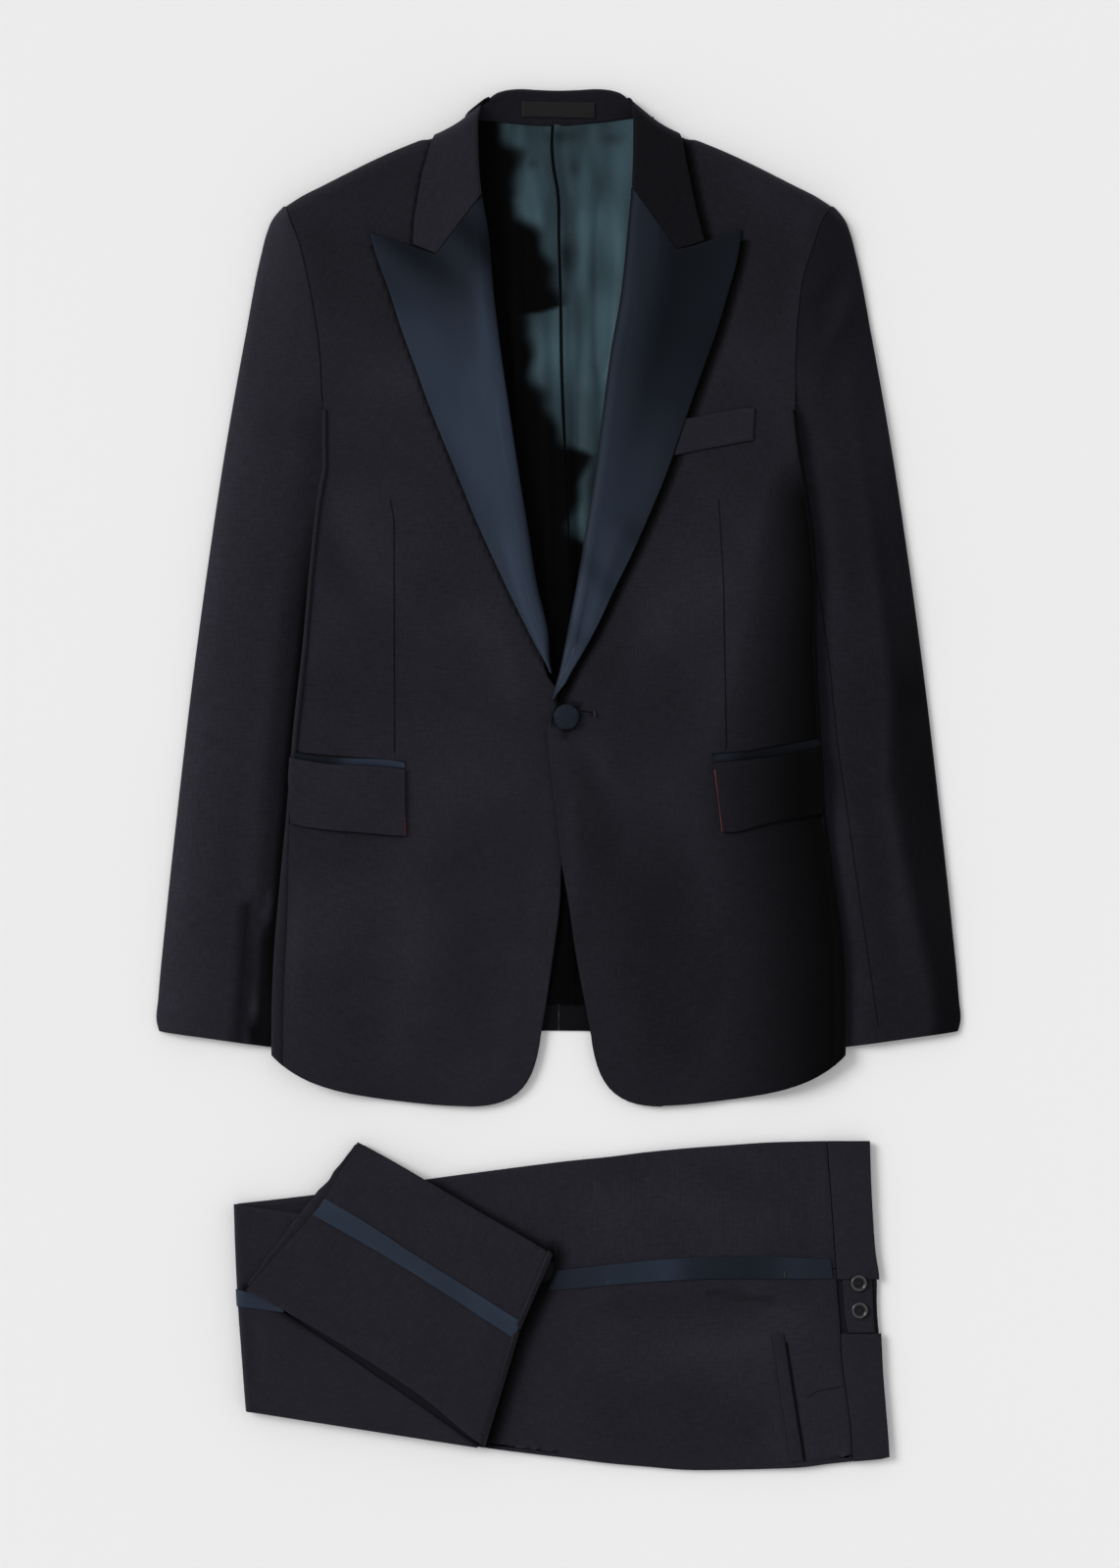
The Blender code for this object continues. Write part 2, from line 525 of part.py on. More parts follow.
def back_panel(wearer, side):
    """Back half: neckline, shoulder, armhole, side seam, hem and centre seam."""
    across = np.array([66, 80, 96, 112, 140, 170, 200, 220.5])
    shoulder = np.stack([across, read(SHOULDER, "down", across) + 3.4], -1)
    top = np.concatenate([[(SEAM / 2, 30.6), (30, 29.8), (56, 27.4)], shoulder])
    downs = np.concatenate([ARMHOLE_STATIONS, side_stations(SIDE_HEM)])
    inset = 1.2 + (15.0 + SEAM - 1.2) * ease((downs - 236) / 24)
    edge = np.stack([read(SIDE, wearer, downs) - inset, downs], -1)
    edge[0] = shoulder[-1]
    columns = np.array([0, 0.25, 0.5, 0.64, 0.7, 0.76, 0.82, 0.88, 0.94, 1.0])
    hem_across = SEAM / 2 + (edge[-1][0] - SEAM / 2) * columns
    hem = np.stack([hem_across, BACK_HEM + (SIDE_HEM - BACK_HEM) * columns ** 2], -1)
    middle = np.stack([np.full(len(downs), SEAM / 2), 30.6 + (BACK_HEM - 30.6) * lengths(edge)], -1)
    plan = patch(straight(top, columns), hem, middle, edge)
    grid = raised(plan, lambda x, d: bed(x, d, wearer) + WOOL)
    slab("back_" + wearer, grid, WOOL, "wool", side)


def lining_half(wearer, side):
    """Back lining: its left half laps the right along the centre pleat."""
    downs = np.linspace(30.6, LINING_HEM, 13)
    pleat = np.stack([side * read(PLEAT, "across", downs) + SEAM / 2, downs], -1)
    outer = np.stack([np.full(13, LINING_HALF), downs - 0.5 * (1 - shares(13))], -1)
    columns = np.array([0, 0.03, 0.1, 0.4, 1.0])
    plan = patch(along((pleat[0], outer[0]), columns), along((pleat[-1], outer[-1]), columns), pleat, outer)
    fold = 1.6 if side > 0 else 0.5
    grid = raised(plan, WOOL + SEAM + LINING + fold * (1 - ease(columns * LINING_HALF / 7)))
    wall("lining_" + wearer, grid, LINING, "lining", side, floor=WOOL + SEAM)


def sleeve(wearer, side):
    """Two-piece sleeve: the top sleeve arches over the flat under sleeve."""
    end = CUFF["down"]
    downs = np.concatenate([ARMHOLE_STATIONS, [250, 262, 276, 290, 305, 325, 345, 370, 410, 470, 540, 610, 680,
                                               735, 760, end]])
    share_across = np.array([0, 0.012, 0.04, 0.09, 0.2, 0.36, 0.52, 0.68, 0.8, 0.88, 0.94, 0.975, 0.993, 1.0])
    level = downs[:, None]
    seam = np.where(downs < 250, side_seam(downs, wearer) + 0.15, read(SIDE, wearer, downs))
    shoulder_gap = 0.5 * (1 - ease((downs - 96) / 10))
    inner = seam + SEAM + shoulder_gap - HIDDEN_SLEEVE * ease((downs - ARMPIT_DOWN) / 60)
    outer = read(SLEEVE_OUTER, "across", downs)
    across = inner[:, None] + share_across * (outer - inner)[:, None]
    slant = CUFF["slope"] * (CUFF["across"] - across) * ease((level - 560) / (end - 560))
    plan = np.stack([across, level + slant], -1)
    grid = raised(plan, sleeve_height(across, np.broadcast_to(level, across.shape), wearer))
    wall("sleeve_top_" + wearer, grid, SLEEVE_CLOTH, "wool", side, floor=UNDER_SLEEVE + SEAM)
    under = plan[1:][:, [0, 4, 9, 13]]
    slab("sleeve_under_" + wearer, raised(under, UNDER_SLEEVE), UNDER_SLEEVE, "wool", side)


def lapel(wearer, side):
    """Satin lapel: facing lip behind the front, bend at the roll line, peaked leaf on the front."""
    spot, tail = GORGE[wearer], LAPEL_TAIL[wearer]
    downs = np.concatenate([[spot["roll"][1] + 3 * SEAM], np.linspace(spot["roll"][1] + 12, tail, 14)])
    roll = np.stack([read(EDGE, wearer, downs), downs], -1)
    outer_downs = np.concatenate([[spot["peak"][1] + 2.4], np.linspace(spot["peak"][1] + 16, tail, 14)])
    outer = np.stack([read(LAPEL_OUTER, wearer, outer_downs), outer_downs], -1)
    corners = [np.array(corner) + (0, SEAM + 0.2) for corner in (spot["end"], *spot["lapel_edge"], spot["peak"])]
    gorge = straight([roll[0], corners[0]], (0, 0.25, 0.6))
    plan = patch([*gorge, *corners], straight([roll[-1], outer[-1]], LAPEL_TAIL_COLUMNS), roll, outer)
    rows = []
    for row in plan:
        first, last = row[0][0], row[-1][0]
        reach = min(ROLL_BEND, 0.4 * (last - first))
        lip = min(ROLL_BEND + FACING_LIP, 0.8 * (last - first))
        bend_z = turned_height(first + reach, row[0][1], wearer)
        low_z = bend_z - turned_lift(first, row[0][1], wearer) - 2 * (SEAM + LAPEL_CLOTH) - WOOL - SEAM
        middle, half = (bend_z + low_z) / 2, (bend_z - low_z) / 2
        turn = np.radians([-90, -60, -30, 0, 30, 60, 90])
        across = np.concatenate([[first + lip], first + reach * (1 - np.cos(turn))])
        down = np.interp(across, row[:, 0], row[:, 1])
        height = np.concatenate([[low_z], middle + half * np.sin(turn)])
        bend = np.stack([across, down, height], -1)
        rows.append(np.concatenate([bend, raised(row[None, 1:], lambda x, d: turned_height(x, d, wearer))[0]]))
    wall("lapel_" + wearer, np.array(rows), LAPEL_CLOTH, "satin", side)


def collar_leaf(wearer, side):
    """Collar leaf over the shoulder, from the fold to its outer edge and the gorge seam."""
    spot = GORGE[wearer]
    across = np.linspace(56.0, spot["leaf_top"][0], 8)
    outline = np.stack([across, read(SHOULDER, "down", across) + 0.2], -1)
    downs = np.array([outline[0][1], 9, 13, 19, 27, 38, 52, 68, spot["roll"][1] - SEAM])
    fold = np.stack([np.minimum(read(EDGE, wearer, downs), 66), downs], -1)
    fold[0] = outline[0]
    edge = straight([outline[-1], *spot["leaf_edge"], spot["leaf"]], lengths(fold))
    gorge = straight([fold[-1], np.array(spot["end"]) - (0, SEAM)], (0, 0.04, 0.11, 0.3, 0.6, 1.0))
    gorge = np.concatenate([gorge, straight([gorge[-1], spot["leaf"]], (0.5, 1.0))])
    plan = patch(along(outline, lengths(gorge)), gorge, fold, edge)
    grid = raised(plan, lambda x, d: turned_height(x, d, wearer))
    bend = rounded(grid[..., 0] - grid[:, :1, 0], 3.6)
    grid[..., 2] -= 3.0 * (1 - bend) * ease((grid[..., 2] - 4) / 9)
    wall("collar_leaf_" + wearer, grid, LAPEL_CLOTH, "wool", side, floor=2.0)


def stand_height(across, down):
    """Face of the collar stand, sloping from the fold to the neck seam."""
    fold, seam = read(COLLAR_FOLD, "down", across), read(STAND_SEAM, "down", across)
    share = np.clip((down - fold) / (seam - fold), 0, 1)
    return STAND_TOP + (STAND_FOOT - STAND_TOP) * share


def collar_back():
    """Back of the collar: stand facing up, fold at the top, fall behind it on the floor."""
    places, seam_across = np.linspace(-53, 53, 11), np.linspace(-66, 62, 11)
    fold, seam = read(COLLAR_FOLD, "down", places), read(STAND_SEAM, "down", seam_across)
    half, rows = (STAND_TOP - 0.4) / 2, []
    for share in (0, 0.4, 0.75):
        across = places + (seam_across - places) * (1 - share) ** 1.4
        down = seam + (fold + ROLL_BEND - seam) * share
        rows.append(np.stack([across, down, np.full(11, STAND_FOOT + (2 * half - STAND_FOOT) * share)], -1))
    for angle in np.radians([90, 55, 20, -20, -55, -90]):
        down = fold + ROLL_BEND * (1 - np.cos(angle))
        rows.append(np.stack([places, down, np.full(11, half + half * np.sin(angle))], -1))
    rows.append(np.stack([places, fold + FALL_DEPTH, np.zeros(11)], -1))
    wall("collar_back", np.array(rows), LAPEL_CLOTH, "wool")


def neck_label():
    """Plain label on the stand."""
    left, right, top, bottom = (LABEL[key] for key in ("left", "right", "top", "bottom"))
    plan = patch(straight(((left, top - 0.6), (right, top + 0.6)), shares(5)),
                 straight(((left, bottom - 0.6), (right, bottom + 0.6)), shares(5)),
                 straight(((left, top - 0.6), (left, bottom - 0.6)), shares(4)),
                 straight(((right, top + 0.6), (right, bottom + 0.6)), shares(4)))
    on_top("neck_label", raised(plan, stand_height), SEAM + 0.3, LABEL["thick"], "label")


def hip_pocket(wearer, side):
    """Satin jetting, the flap under it and the flap's lining."""
    tab = POCKET[wearer]
    first, last = tab["across"][0], read(SIDE, wearer, 570.0) - 1.4
    across = first + (last - first) * np.array([0, 0.2, 0.42, 0.64, 0.84, 0.95, 1.0])

    def strip(name, upper, lower, rows, gap, thick, slot, lean=0.0, peek=0.0):
        plan = []
        for share in shares(rows):
            down = upper + (lower - upper) * share
            run = across + lean * share * (1 - (across - first) / (last - first))
            run = run - peek * ease(share * 2 - 0.4) * (across == first)
            run = np.minimum(run, read(SIDE, wearer, down) - 0.9)
            plan.append(np.stack([run, down], -1))
        grid = raised(np.array(plan), lambda x, d: skin(x, d, wearer))
        on_top(name, grid, gap, thick, slot, side)
    jet_top, jet_bottom = read(tab, "jet_top", across), read(tab, "jet_bottom", across)
    flap_bottom = read(tab, "flap_bottom", across)
    strip("pocket_jetting_" + wearer, jet_top, jet_bottom - SEAM, 2, SEAM, 0.9, "satin")
    lean = FLAP_LEAN[wearer]
    strip("flap_lining_" + wearer, jet_bottom + 6, flap_bottom - 0.6, 4, 3 * SEAM, 0.5, "flap_lining", lean, 0.9)
    strip("pocket_flap_" + wearer, jet_bottom, flap_bottom, 5, 4 * SEAM + 0.5, 1.5, "wool", lean)


def breast_welt():
    """Welt of the breast pocket on the left front, running under the lapel's edge."""
    rows = []
    for share in shares(4):
        down_at_edge = 270.4 + (299.2 - 270.4) * share
        first = read(LAPEL_OUTER, "left", down_at_edge) + 0.8
        across = np.linspace(first, 160.2 - 1.4 * share, 5)
        top, bottom = read(WELT, "top", across), read(WELT, "bottom", across)
        rows.append(np.stack([across, top + (bottom - top) * share], -1))
    grid = raised(np.array(rows), lambda x, d: front_height(x, d, "left"))
    on_top("breast_welt", grid, SEAM, 1.2, "wool", 1)


def front_button():
    """Cloth-covered domed button on the left front."""
    spot, r, h = BUTTON, BUTTON["radius"], BUTTON["height"]
    ground = float(front_height(spot["across"], spot["down"], "left")) + SEAM + 0.6
    profile = [(0.72 * r, 0.0), (0.95 * r, 0.35 * h), (r, 0.55 * h), (0.96 * r, 0.74 * h),
               (0.8 * r, 0.9 * h), (0.45 * r, 0.98 * h)]
    turned_disc("front_button", (spot["across"], spot["down"], ground), profile, "satin", 24)


# ---------------------------------------------------------------- trousers
def creased(distance, depth=2.3, reach=3.0):
    """Drop of a panel at its pressed crease."""
    return depth * (1 - rounded(distance, reach))


def on_line(points, across):
    """Down of a broken line at an across."""
    points = np.array(points, float)
    order = np.argsort(points[:, 0])
    return np.interp(across, points[order, 0], points[order, 1])


def waist_seam(down):
    """Edge of the leg panels at the waistband."""
    return read(WAIST_SEAM, "across", down) - 2 * SEAM


def stripe_middle(across):
    """Side seam under the stripe."""
    return (read(WAIST_LEG, "stripe_top", across) + read(WAIST_LEG, "stripe_bottom", across)) / 2


def waist_front():
    """Front panel from the waist, above the side seam; to the left it shows beside the end layer."""
    run = np.array([-262.4, -240, -214, -186, -160, -130, -104, -80, -60, -30, -8, 6, 40, 80, 120, 160, 190, 218])
    rows = []
    for x in run:
        top = read(WAIST_LEG, "upper", x)
        beside = on_line(WAIST_LEFT, x) if x < -164 else on_line(END_UPPER, x) + 7
        bottom = stripe_middle(x) - SEAM / 2
        if x < -2:
            bottom = max(min(beside, bottom), top + 7)
        downs = np.concatenate([top + CREASE_PLACES, np.linspace(top + 4, bottom, 4)[1:]])
        ends = waist_seam(downs) if x == run[-1] else np.full(len(downs), x)
        rows.append(np.stack([ends, downs, WAIST_TOP - creased(downs - top)], -1))
    wall("left_leg_front", np.array(rows), TROUSER_CLOTH, "wool")


def waist_back():
    """Back panel from the waist, below the side seam, from under the end layer's fold."""
    rows = []
    starts = along(END_FOLD[1:], shares(9)) - (7.0, 0)
    for share, start in zip(shares(9), starts):
        end_down = 963.4 + share * (1122.6 - 963.4)
        xs = start[0] + (waist_seam(end_down) - start[0]) * shares(6)
        top, bottom = stripe_middle(xs) + SEAM / 2, read(WAIST_LEG, "lower", xs)
        rows.append(np.stack([xs, top + (bottom - top) * share, np.full(6, WAIST_TOP)], -1))
    crease = rows.pop()
    for place in CREASE_PLACES[::-1]:
        row = crease.copy()
        row[:, 1] -= place
        row[:, 2] -= creased(place)
        rows.append(row)
    wall("left_leg_back", np.array(rows), TROUSER_CLOTH, "wool")


def waist_stripe():
    """Satin stripe over the side seam."""
    xs = np.array([-1.5, 8, 40, 72, 104, 136, 168, 200, 222])
    top, bottom = read(WAIST_LEG, "stripe_top", xs), read(WAIST_LEG, "stripe_bottom", xs)
    upper, lower = np.stack([xs, top], -1), np.stack([xs, bottom], -1)
    lower[0][0] = -9.0
    upper[-1][0], lower[-1][0] = waist_seam(955.2), waist_seam(971.2)
    on_top("left_leg_stripe", raised(np.array([upper, lower]), WAIST_TOP), SEAM, STRIPE_CLOTH, "satin")


def folded_panel(name, starts, ends, drops, slot):
    """Panel that comes over the left fold and ends under the end layer; drops lower it at its crease."""
    half, rows = MIDDLE_TOP / 2, []
    for start, end, drop in zip(starts, ends, drops):
        unit = (end - start) / np.linalg.norm(end - start)
        row = []
        for angle in np.radians([-40, -15, 15, 45, 75]):
            place = start + unit * FOLD_REACH * (1 - np.cos(angle))
            row.append((*place, min(half + half * np.sin(angle), MIDDLE_TOP - drop)))
        first = start + unit * 5.6
        for share in (0, 0.4, 1.0):
            row.append((*(first + (end - first) * share), MIDDLE_TOP - drop))
        rows.append(row)
    wall(name, np.array(rows), TROUSER_CLOTH, slot)


def middle_leg():
    """Right leg, folded back at the left: what shows beside the end layer."""
    under_hem = np.array(UNDER_HEM)
    downs = np.array([910.6, 911.4, 914.0, 930.0, 950.0, 968.0, 985.8])
    starts = np.stack([read(FOLD_EDGE, "across", downs), downs], -1)
    across = np.interp(downs + 8, under_hem[:, 1], under_hem[:, 0]) + 9
    ends = np.stack([across, downs + (across + 262) * LEG_SLOPE], -1)
    folded_panel("right_leg_front", starts, ends, (2.3, 1.1, 0.1, 0, 0, 0, 0), "wool")

    downs = np.array([986.2, 1004.0, 1022.0, 1040.0, 1058.0, 1072.0, 1077.2, 1078.6, 1079.4])
    starts = np.stack([read(FOLD_EDGE, "across", downs), downs], -1)
    across = -236 + (downs - downs[0]) / (downs[-1] - downs[0]) * (236 - 66)
    crease = read(WAIST_LEG, "lower", across)
    covered = np.maximum(downs + (across + 258) * LEG_SLOPE, on_line(END_LOWER, across) - 8)
    ends = np.stack([across, np.minimum(covered, crease - (downs[-1] - downs) * 0.6)], -1)
    ends[-1][1] = crease[-1]
    folded_panel("right_leg_back", starts, ends, (0, 0, 0, 0, 0, 0, 0.3, 1.1, 2.3), "wool")

    run = np.array([-256.2, -246, -236, -224])
    top, bottom = read(MIDDLE_LEG, "stripe_top", run), read(MIDDLE_LEG, "stripe_bottom", run)
    plan = np.array([np.stack([run, top], -1), np.stack([run, bottom], -1)])
    on_top("right_leg_stripe", raised(plan, MIDDLE_TOP), SEAM, STRIPE_CLOTH, "satin")


def end_sag(across, down, middle=3.8, waist=5.0, early=0.0):
    """How far the end layer sinks past the layers that carry it."""
    past_middle = read(MIDDLE_LEG, "upper", across) - down + early
    past_waist = read(WAIST_LEG, "upper", across) - down + early
    return middle * ease(past_middle / 26) + waist * ease(past_waist / 32)


def end_low(across, down):
    """Underside of the end layer, down to the floor where nothing carries it."""
    return MIDDLE_TOP + 1.2 - end_sag(across, down, 6.4, 6.5, -8.0)


def end_leg():
    """Left leg's end, folded back again: front and back panel, stripe and hem."""
    rows = np.concatenate([[0, 0.04], np.linspace(0.11, 0.93, 9), [1.0]])
    stripe = (along(END_STRIPE["top"], rows), along(END_STRIPE["bottom"], rows))
    seam = (stripe[0] + stripe[1]) / 2
    beside = []
    for name, edge in (("left_leg_front_end", END_UPPER), ("left_leg_back_end", END_LOWER)):
        grid = []
        for k, start in enumerate(along(edge, rows)):
            length = np.linalg.norm(seam[k] - start)
            half_stripe = np.linalg.norm(seam[k] - stripe[0][k])
            inner = np.linspace(4.0, length - half_stripe, 4)
            places = np.concatenate([CREASE_PLACES, inner[1:], [length - SEAM / 2]])
            plan = start + (seam[k] - start) / length * places[:, None]
            height = END_TOP - end_sag(plan[:, 0], plan[:, 1]) - creased(places)
            grid.append(np.concatenate([plan, height[:, None]], -1))
        grid = np.array(grid)
        beside.append(grid[:-1, -2:])
        wall(name, np.concatenate([grid[:-1], turned_down(grid)]), TROUSER_CLOTH, "wool")
    front, back = beside
    grid = np.stack([front[:, 0], (front[:, 1] + back[:, 1]) / 2, back[:, 0]], 1)
    on_top("left_leg_stripe_end", grid, SEAM + 0.1, STRIPE_CLOTH, "satin")


def turned_down(grid):
    """Rows of the end layer's fold: the grid's last row, turned down to the layer below."""
    last, step = grid[-1], (grid[-1] - grid[-2])[:, :2]
    unit = step / np.linalg.norm(step, axis=1, keepdims=True)
    low = WAIST_TOP + SEAM
    half = (last[:, 2] - low) / 2
    rows = []
    for angle in np.radians([90, 60, 30, 0, -30, -60, -85]):
        row = last.copy()
        row[:, :2] -= unit * FOLD_REACH * (1 - np.cos(angle))
        row[:, 2] = low + half + half * np.sin(angle)
        rows.append(row)
    return np.array(rows)


def block(name, plan, top, low, sides):
    """Rounded solid over a plan grid; its sides have a ring for each (share of the way down, inset)."""
    rows, columns = plan.shape[:2]
    rim = ([(0, c) for c in range(columns)] + [(r, columns - 1) for r in range(1, rows)]
           + [(rows - 1, c) for c in range(columns - 2, -1, -1)] + [(r, 0) for r in range(rows - 2, 0, -1)])
    at = [r * columns + c for r, c in rim]
    upper, lower = raised(plan, top).reshape(-1, 3), raised(plan, low).reshape(-1, 3)
    outline = upper[at, :2]
    rings = []
    for share, inset in sides:
        height = upper[at, 2] + (lower[at, 2] - upper[at, 2]) * share
        rings.append(np.concatenate([moved_in(outline, inset), height[:, None]], -1))
    upper[at], lower[at] = rings[0], rings[-1]
    points = np.concatenate([upper, lower, *rings[1:-1]])
    count = rows * columns
    loops = [np.array(at)] + [2 * count + k * len(at) + np.arange(len(at)) for k in range(len(rings) - 2)]
    loops.append(count + np.array(at))
    faces = []
    for r in range(rows - 1):
        for c in range(columns - 1):
            i = r * columns + c
            loop = (i, i + 1, i + columns + 1, i + columns)
            faces += [loop, tuple(count + k for k in reversed(loop))]
    for above, below in zip(loops, loops[1:]):
        for i in range(len(at)):
            j = (i + 1) % len(at)
            faces.append((above[j], above[i], below[i], below[j]))
    return solid(name, placed(points, 1), [tuple(int(k) for k in face) for face in faces], "wool")


def moved_in(outline, inset):
    """A closed outline moved inwards."""
    ahead, behind = np.roll(outline, -1, 0) - outline, outline - np.roll(outline, 1, 0)
    ahead = ahead / np.linalg.norm(ahead, axis=1, keepdims=True)
    behind = behind / np.linalg.norm(behind, axis=1, keepdims=True)
    middle = ahead + behind
    middle /= np.linalg.norm(middle, axis=1, keepdims=True)
    inward = np.stack([-middle[:, 1], middle[:, 0]], -1)
    turn = np.maximum(np.sum(middle * ahead, axis=1, keepdims=True), 0.6)
    return outline + inward * inset / turn


def hidden_layers():
    """Everything folded away inside the trousers: one rounded solid, layered at its edges."""
    rows, columns = np.array([0, 0.07, 0.3, 0.5, 0.7, 0.93, 1.0]), shares(15)
    x = -261.6 + columns * (253.0 + 261.6)
    upper = np.stack([x, read(WAIST_LEG, "upper", x) + 0.9], -1)
    x = -252.6 + columns * (262.6 + 252.6)
    lower = np.stack([x, read(WAIST_LEG, "lower", x) - 1.2], -1)
    lower[-1][1] = 1117.4
    downs = 911.0 + rows * (1078.0 - 911.0)
    fold = np.stack([read(FOLD_EDGE, "across", downs) + 3.6, downs], -1)
    downs = 859.6 + rows * (1117.4 - 859.6)
    waist = np.stack([read(WAIST_EDGE, "across", downs) - 1.6, downs], -1)
    base = block("trousers_hidden_layers", patch(upper, lower, fold, waist), WAIST_TOP - 1.8, 0.0, BASE_SIDES)

    columns = np.array([0, 0.06, 0.25, 0.45, 0.65, 0.85, 0.94, 1.0])
    x = -261.6 + columns * (261.6 - 17.0)
    upper = np.stack([x, read(MIDDLE_LEG, "upper", x) + 2.0], -1)
    x = -252.6 + columns * (252.6 - 67.5)
    lower = np.stack([x, read(WAIST_LEG, "lower", x) - 3.2], -1)
    end_side = along(END_FOLD, 0.02 + rows * 0.95) - (8.2, 0)
    plan = patch(upper, lower, fold, end_side)
    middle = block("middle", plan, MIDDLE_TOP - 1.8, WAIST_TOP + 0.5, MIDDLE_SIDES)
    neck = block("neck", plan[1:-1, 1:-1], WAIST_TOP + 0.7, WAIST_TOP - 2.0, ((0, 0), (1, 0)))

    columns, rows = np.linspace(0.012, 0.955, 13), shares(11)
    upper = along(END_UPPER, columns) + (0.5, 2.4)
    lower = along(END_LOWER, columns) + (0.8, -2.8)
    hem = along(END_HEM, 0.015 + rows * 0.97) + (2.4, 1.2)
    end_side = along(END_FOLD, 0.02 + rows * 0.95) - (8.2, 0)
    end = block("end", patch(upper, lower, hem, end_side),
                lambda x, d: END_TOP - 1.9 - end_sag(x, d, early=10.0), end_low, END_SIDES)
    tie = patch(*[np.array(edge, float) for edge in (END_TIE[:2], END_TIE[2:], END_TIE[::2], END_TIE[1::2])])
    tie = block("tie", tie, MIDDLE_TOP + 1.4, MIDDLE_TOP - 2.0, ((0, 0), (1, 0)))
    for piece in (neck, middle, tie, end):
        join = base.modifiers.new("join_" + piece.name, "BOOLEAN")
        join.operation = "UNION"
        join.object = piece
        piece.hide_render = True
        piece.display_type = "WIRE"


def hem_ply():
    """Right leg's hem, showing under the end layer's hem."""
    places = np.linspace(0.03, 0.96, 11)
    outer, inner = along(UNDER_HEM, places), along(END_HEM, places) + (0.2, 0.2)
    plan = np.stack([outer, outer + (inner - outer) * 0.96], 0)
    top = END_TOP - 2.6 - end_sag(plan[..., 0], plan[..., 1], early=5.0)
    top[:, (0, -1)] -= 1.6
    low = end_low(plan[..., 0], plan[..., 1])
    sheet("right_leg_hem", raised(plan, top), raised(plan, np.minimum(low, top - 1.0)), "wool")


def waistbands():
    """Front and back waistband, the side tab between them and the tab's two buttons."""
    for name, top, bottom in (("front", 858.8, BAND_FRONT_END), ("back", BAND_BACK_TOP, 1118.6)):
        downs = np.linspace(top, bottom, 12)
        seam = np.stack([read(WAIST_SEAM, "across", downs), downs], -1)
        edge = np.stack([read(WAIST_EDGE, "across", downs), downs], -1)
        if name == "back":
            edge[-1] = BAND_CORNER
            seam[-1][1] = 1120.6
        plan = np.stack([seam, (seam + edge) / 2, edge], 1)
        wall("waistband_" + name, raised(plan, BAND_TOP), TROUSER_CLOTH + 0.4, "wool")
    left = ((231.6, BAND_FRONT_END + SEAM), (233.6, 1000.0), (236.4, BAND_BACK_TOP - 0.6))
    right = ((256.0, BAND_FRONT_END + SEAM), (257.4, 1000.0), (258.6, BAND_BACK_TOP - 0.6))
    plan = patch((left[0], right[0]), (left[-1], right[-1]), left, right)
    wall("adjuster_tab", raised(plan, BAND_TOP), TROUSER_CLOTH, "wool")
    r, h = ADJUSTER_BUTTON["radius"], ADJUSTER_BUTTON["height"]
    for name, (across, down) in zip(("front", "back"), ADJUSTER_BUTTON["places"]):
        profile = [(0.8 * r, 0.0), (r, 0.35 * h), (r, 0.7 * h), (0.9 * r, h), (0.78 * r, h),
                   (0.66 * r, 0.62 * h), (0.3 * r, 0.55 * h)]
        turned_disc("adjuster_button_" + name, (across, down, BAND_TOP + SEAM), profile, "button", 20)


def rear_pocket():
    """Welt of the rear pocket on the back panel."""
    plan = np.array([REAR_POCKET["top"], REAR_POCKET["bottom"]])
    on_top("rear_pocket_welt", raised(plan, WAIST_TOP), SEAM, 0.9, "wool")


def main():
    for thing in list(bpy.data.objects):
        bpy.data.objects.remove(thing, do_unlink=True)
    for wearer, side in (("left", 1), ("right", -1)):
        back_panel(wearer, side)
        lining_half(wearer, side)
        side_panel(wearer, side)
        front_panel(wearer, side)
        sleeve(wearer, side)
        lapel(wearer, side)
        collar_leaf(wearer, side)
        hip_pocket(wearer, side)
    collar_back()
    neck_label()
    breast_welt()
    front_button()
    hidden_layers()
    waist_front()
    waist_back()
    waist_stripe()
    middle_leg()
    end_leg()
    hem_ply()
    waistbands()
    rear_pocket()


main()
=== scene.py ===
"""Looks of a single-breasted tuxedo, laid flat: peak-lapel jacket above, folded trousers below.

Tables are in millimetres. "across" runs from the centre line towards a piece's own
side, "down" runs from the top of the collar towards the trousers, and heights are
above the floor. Left and right are the wearer's, so the left front lies at +X.
"""
import math
import bpy
import numpy as np
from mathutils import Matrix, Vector


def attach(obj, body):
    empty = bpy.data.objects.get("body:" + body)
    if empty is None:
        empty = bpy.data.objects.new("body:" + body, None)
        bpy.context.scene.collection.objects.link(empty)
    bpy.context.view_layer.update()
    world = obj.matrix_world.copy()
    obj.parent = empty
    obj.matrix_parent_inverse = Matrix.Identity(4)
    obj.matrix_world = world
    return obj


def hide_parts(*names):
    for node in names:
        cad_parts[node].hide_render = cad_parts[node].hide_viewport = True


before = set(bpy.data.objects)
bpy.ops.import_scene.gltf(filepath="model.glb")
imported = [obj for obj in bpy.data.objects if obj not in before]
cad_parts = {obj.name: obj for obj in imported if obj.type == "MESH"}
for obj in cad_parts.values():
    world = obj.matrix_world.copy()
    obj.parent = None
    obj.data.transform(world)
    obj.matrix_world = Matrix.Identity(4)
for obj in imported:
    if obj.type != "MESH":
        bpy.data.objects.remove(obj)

bl_info = {
    "name": "Tuxedo laid flat",
    "version": (1, 0, 0),
    "blender": (4, 5, 0),
    "location": "View3D > Sidebar > Tuxedo",
    "description": "Cloth panels, satin, lining, buttons and stitching of a tuxedo over its solids",
    "category": "Mesh",
}

MM = 0.001
COLLAR_TOP_Y = 564.23        # the frame's origin is midway between collar and waistband
SEAM = 0.3                   # gap between neighbouring pieces

WOOL = 1.6                   # body cloth with its fusing
SLEEVE_CLOTH = 2.2           # sleeve cloth with its lining
UNDER_SLEEVE = 1.6
LAPEL_CLOTH = 1.8
LINING = 1.0
TROUSER_CLOTH = 1.4
STRIPE_CLOTH = 0.7

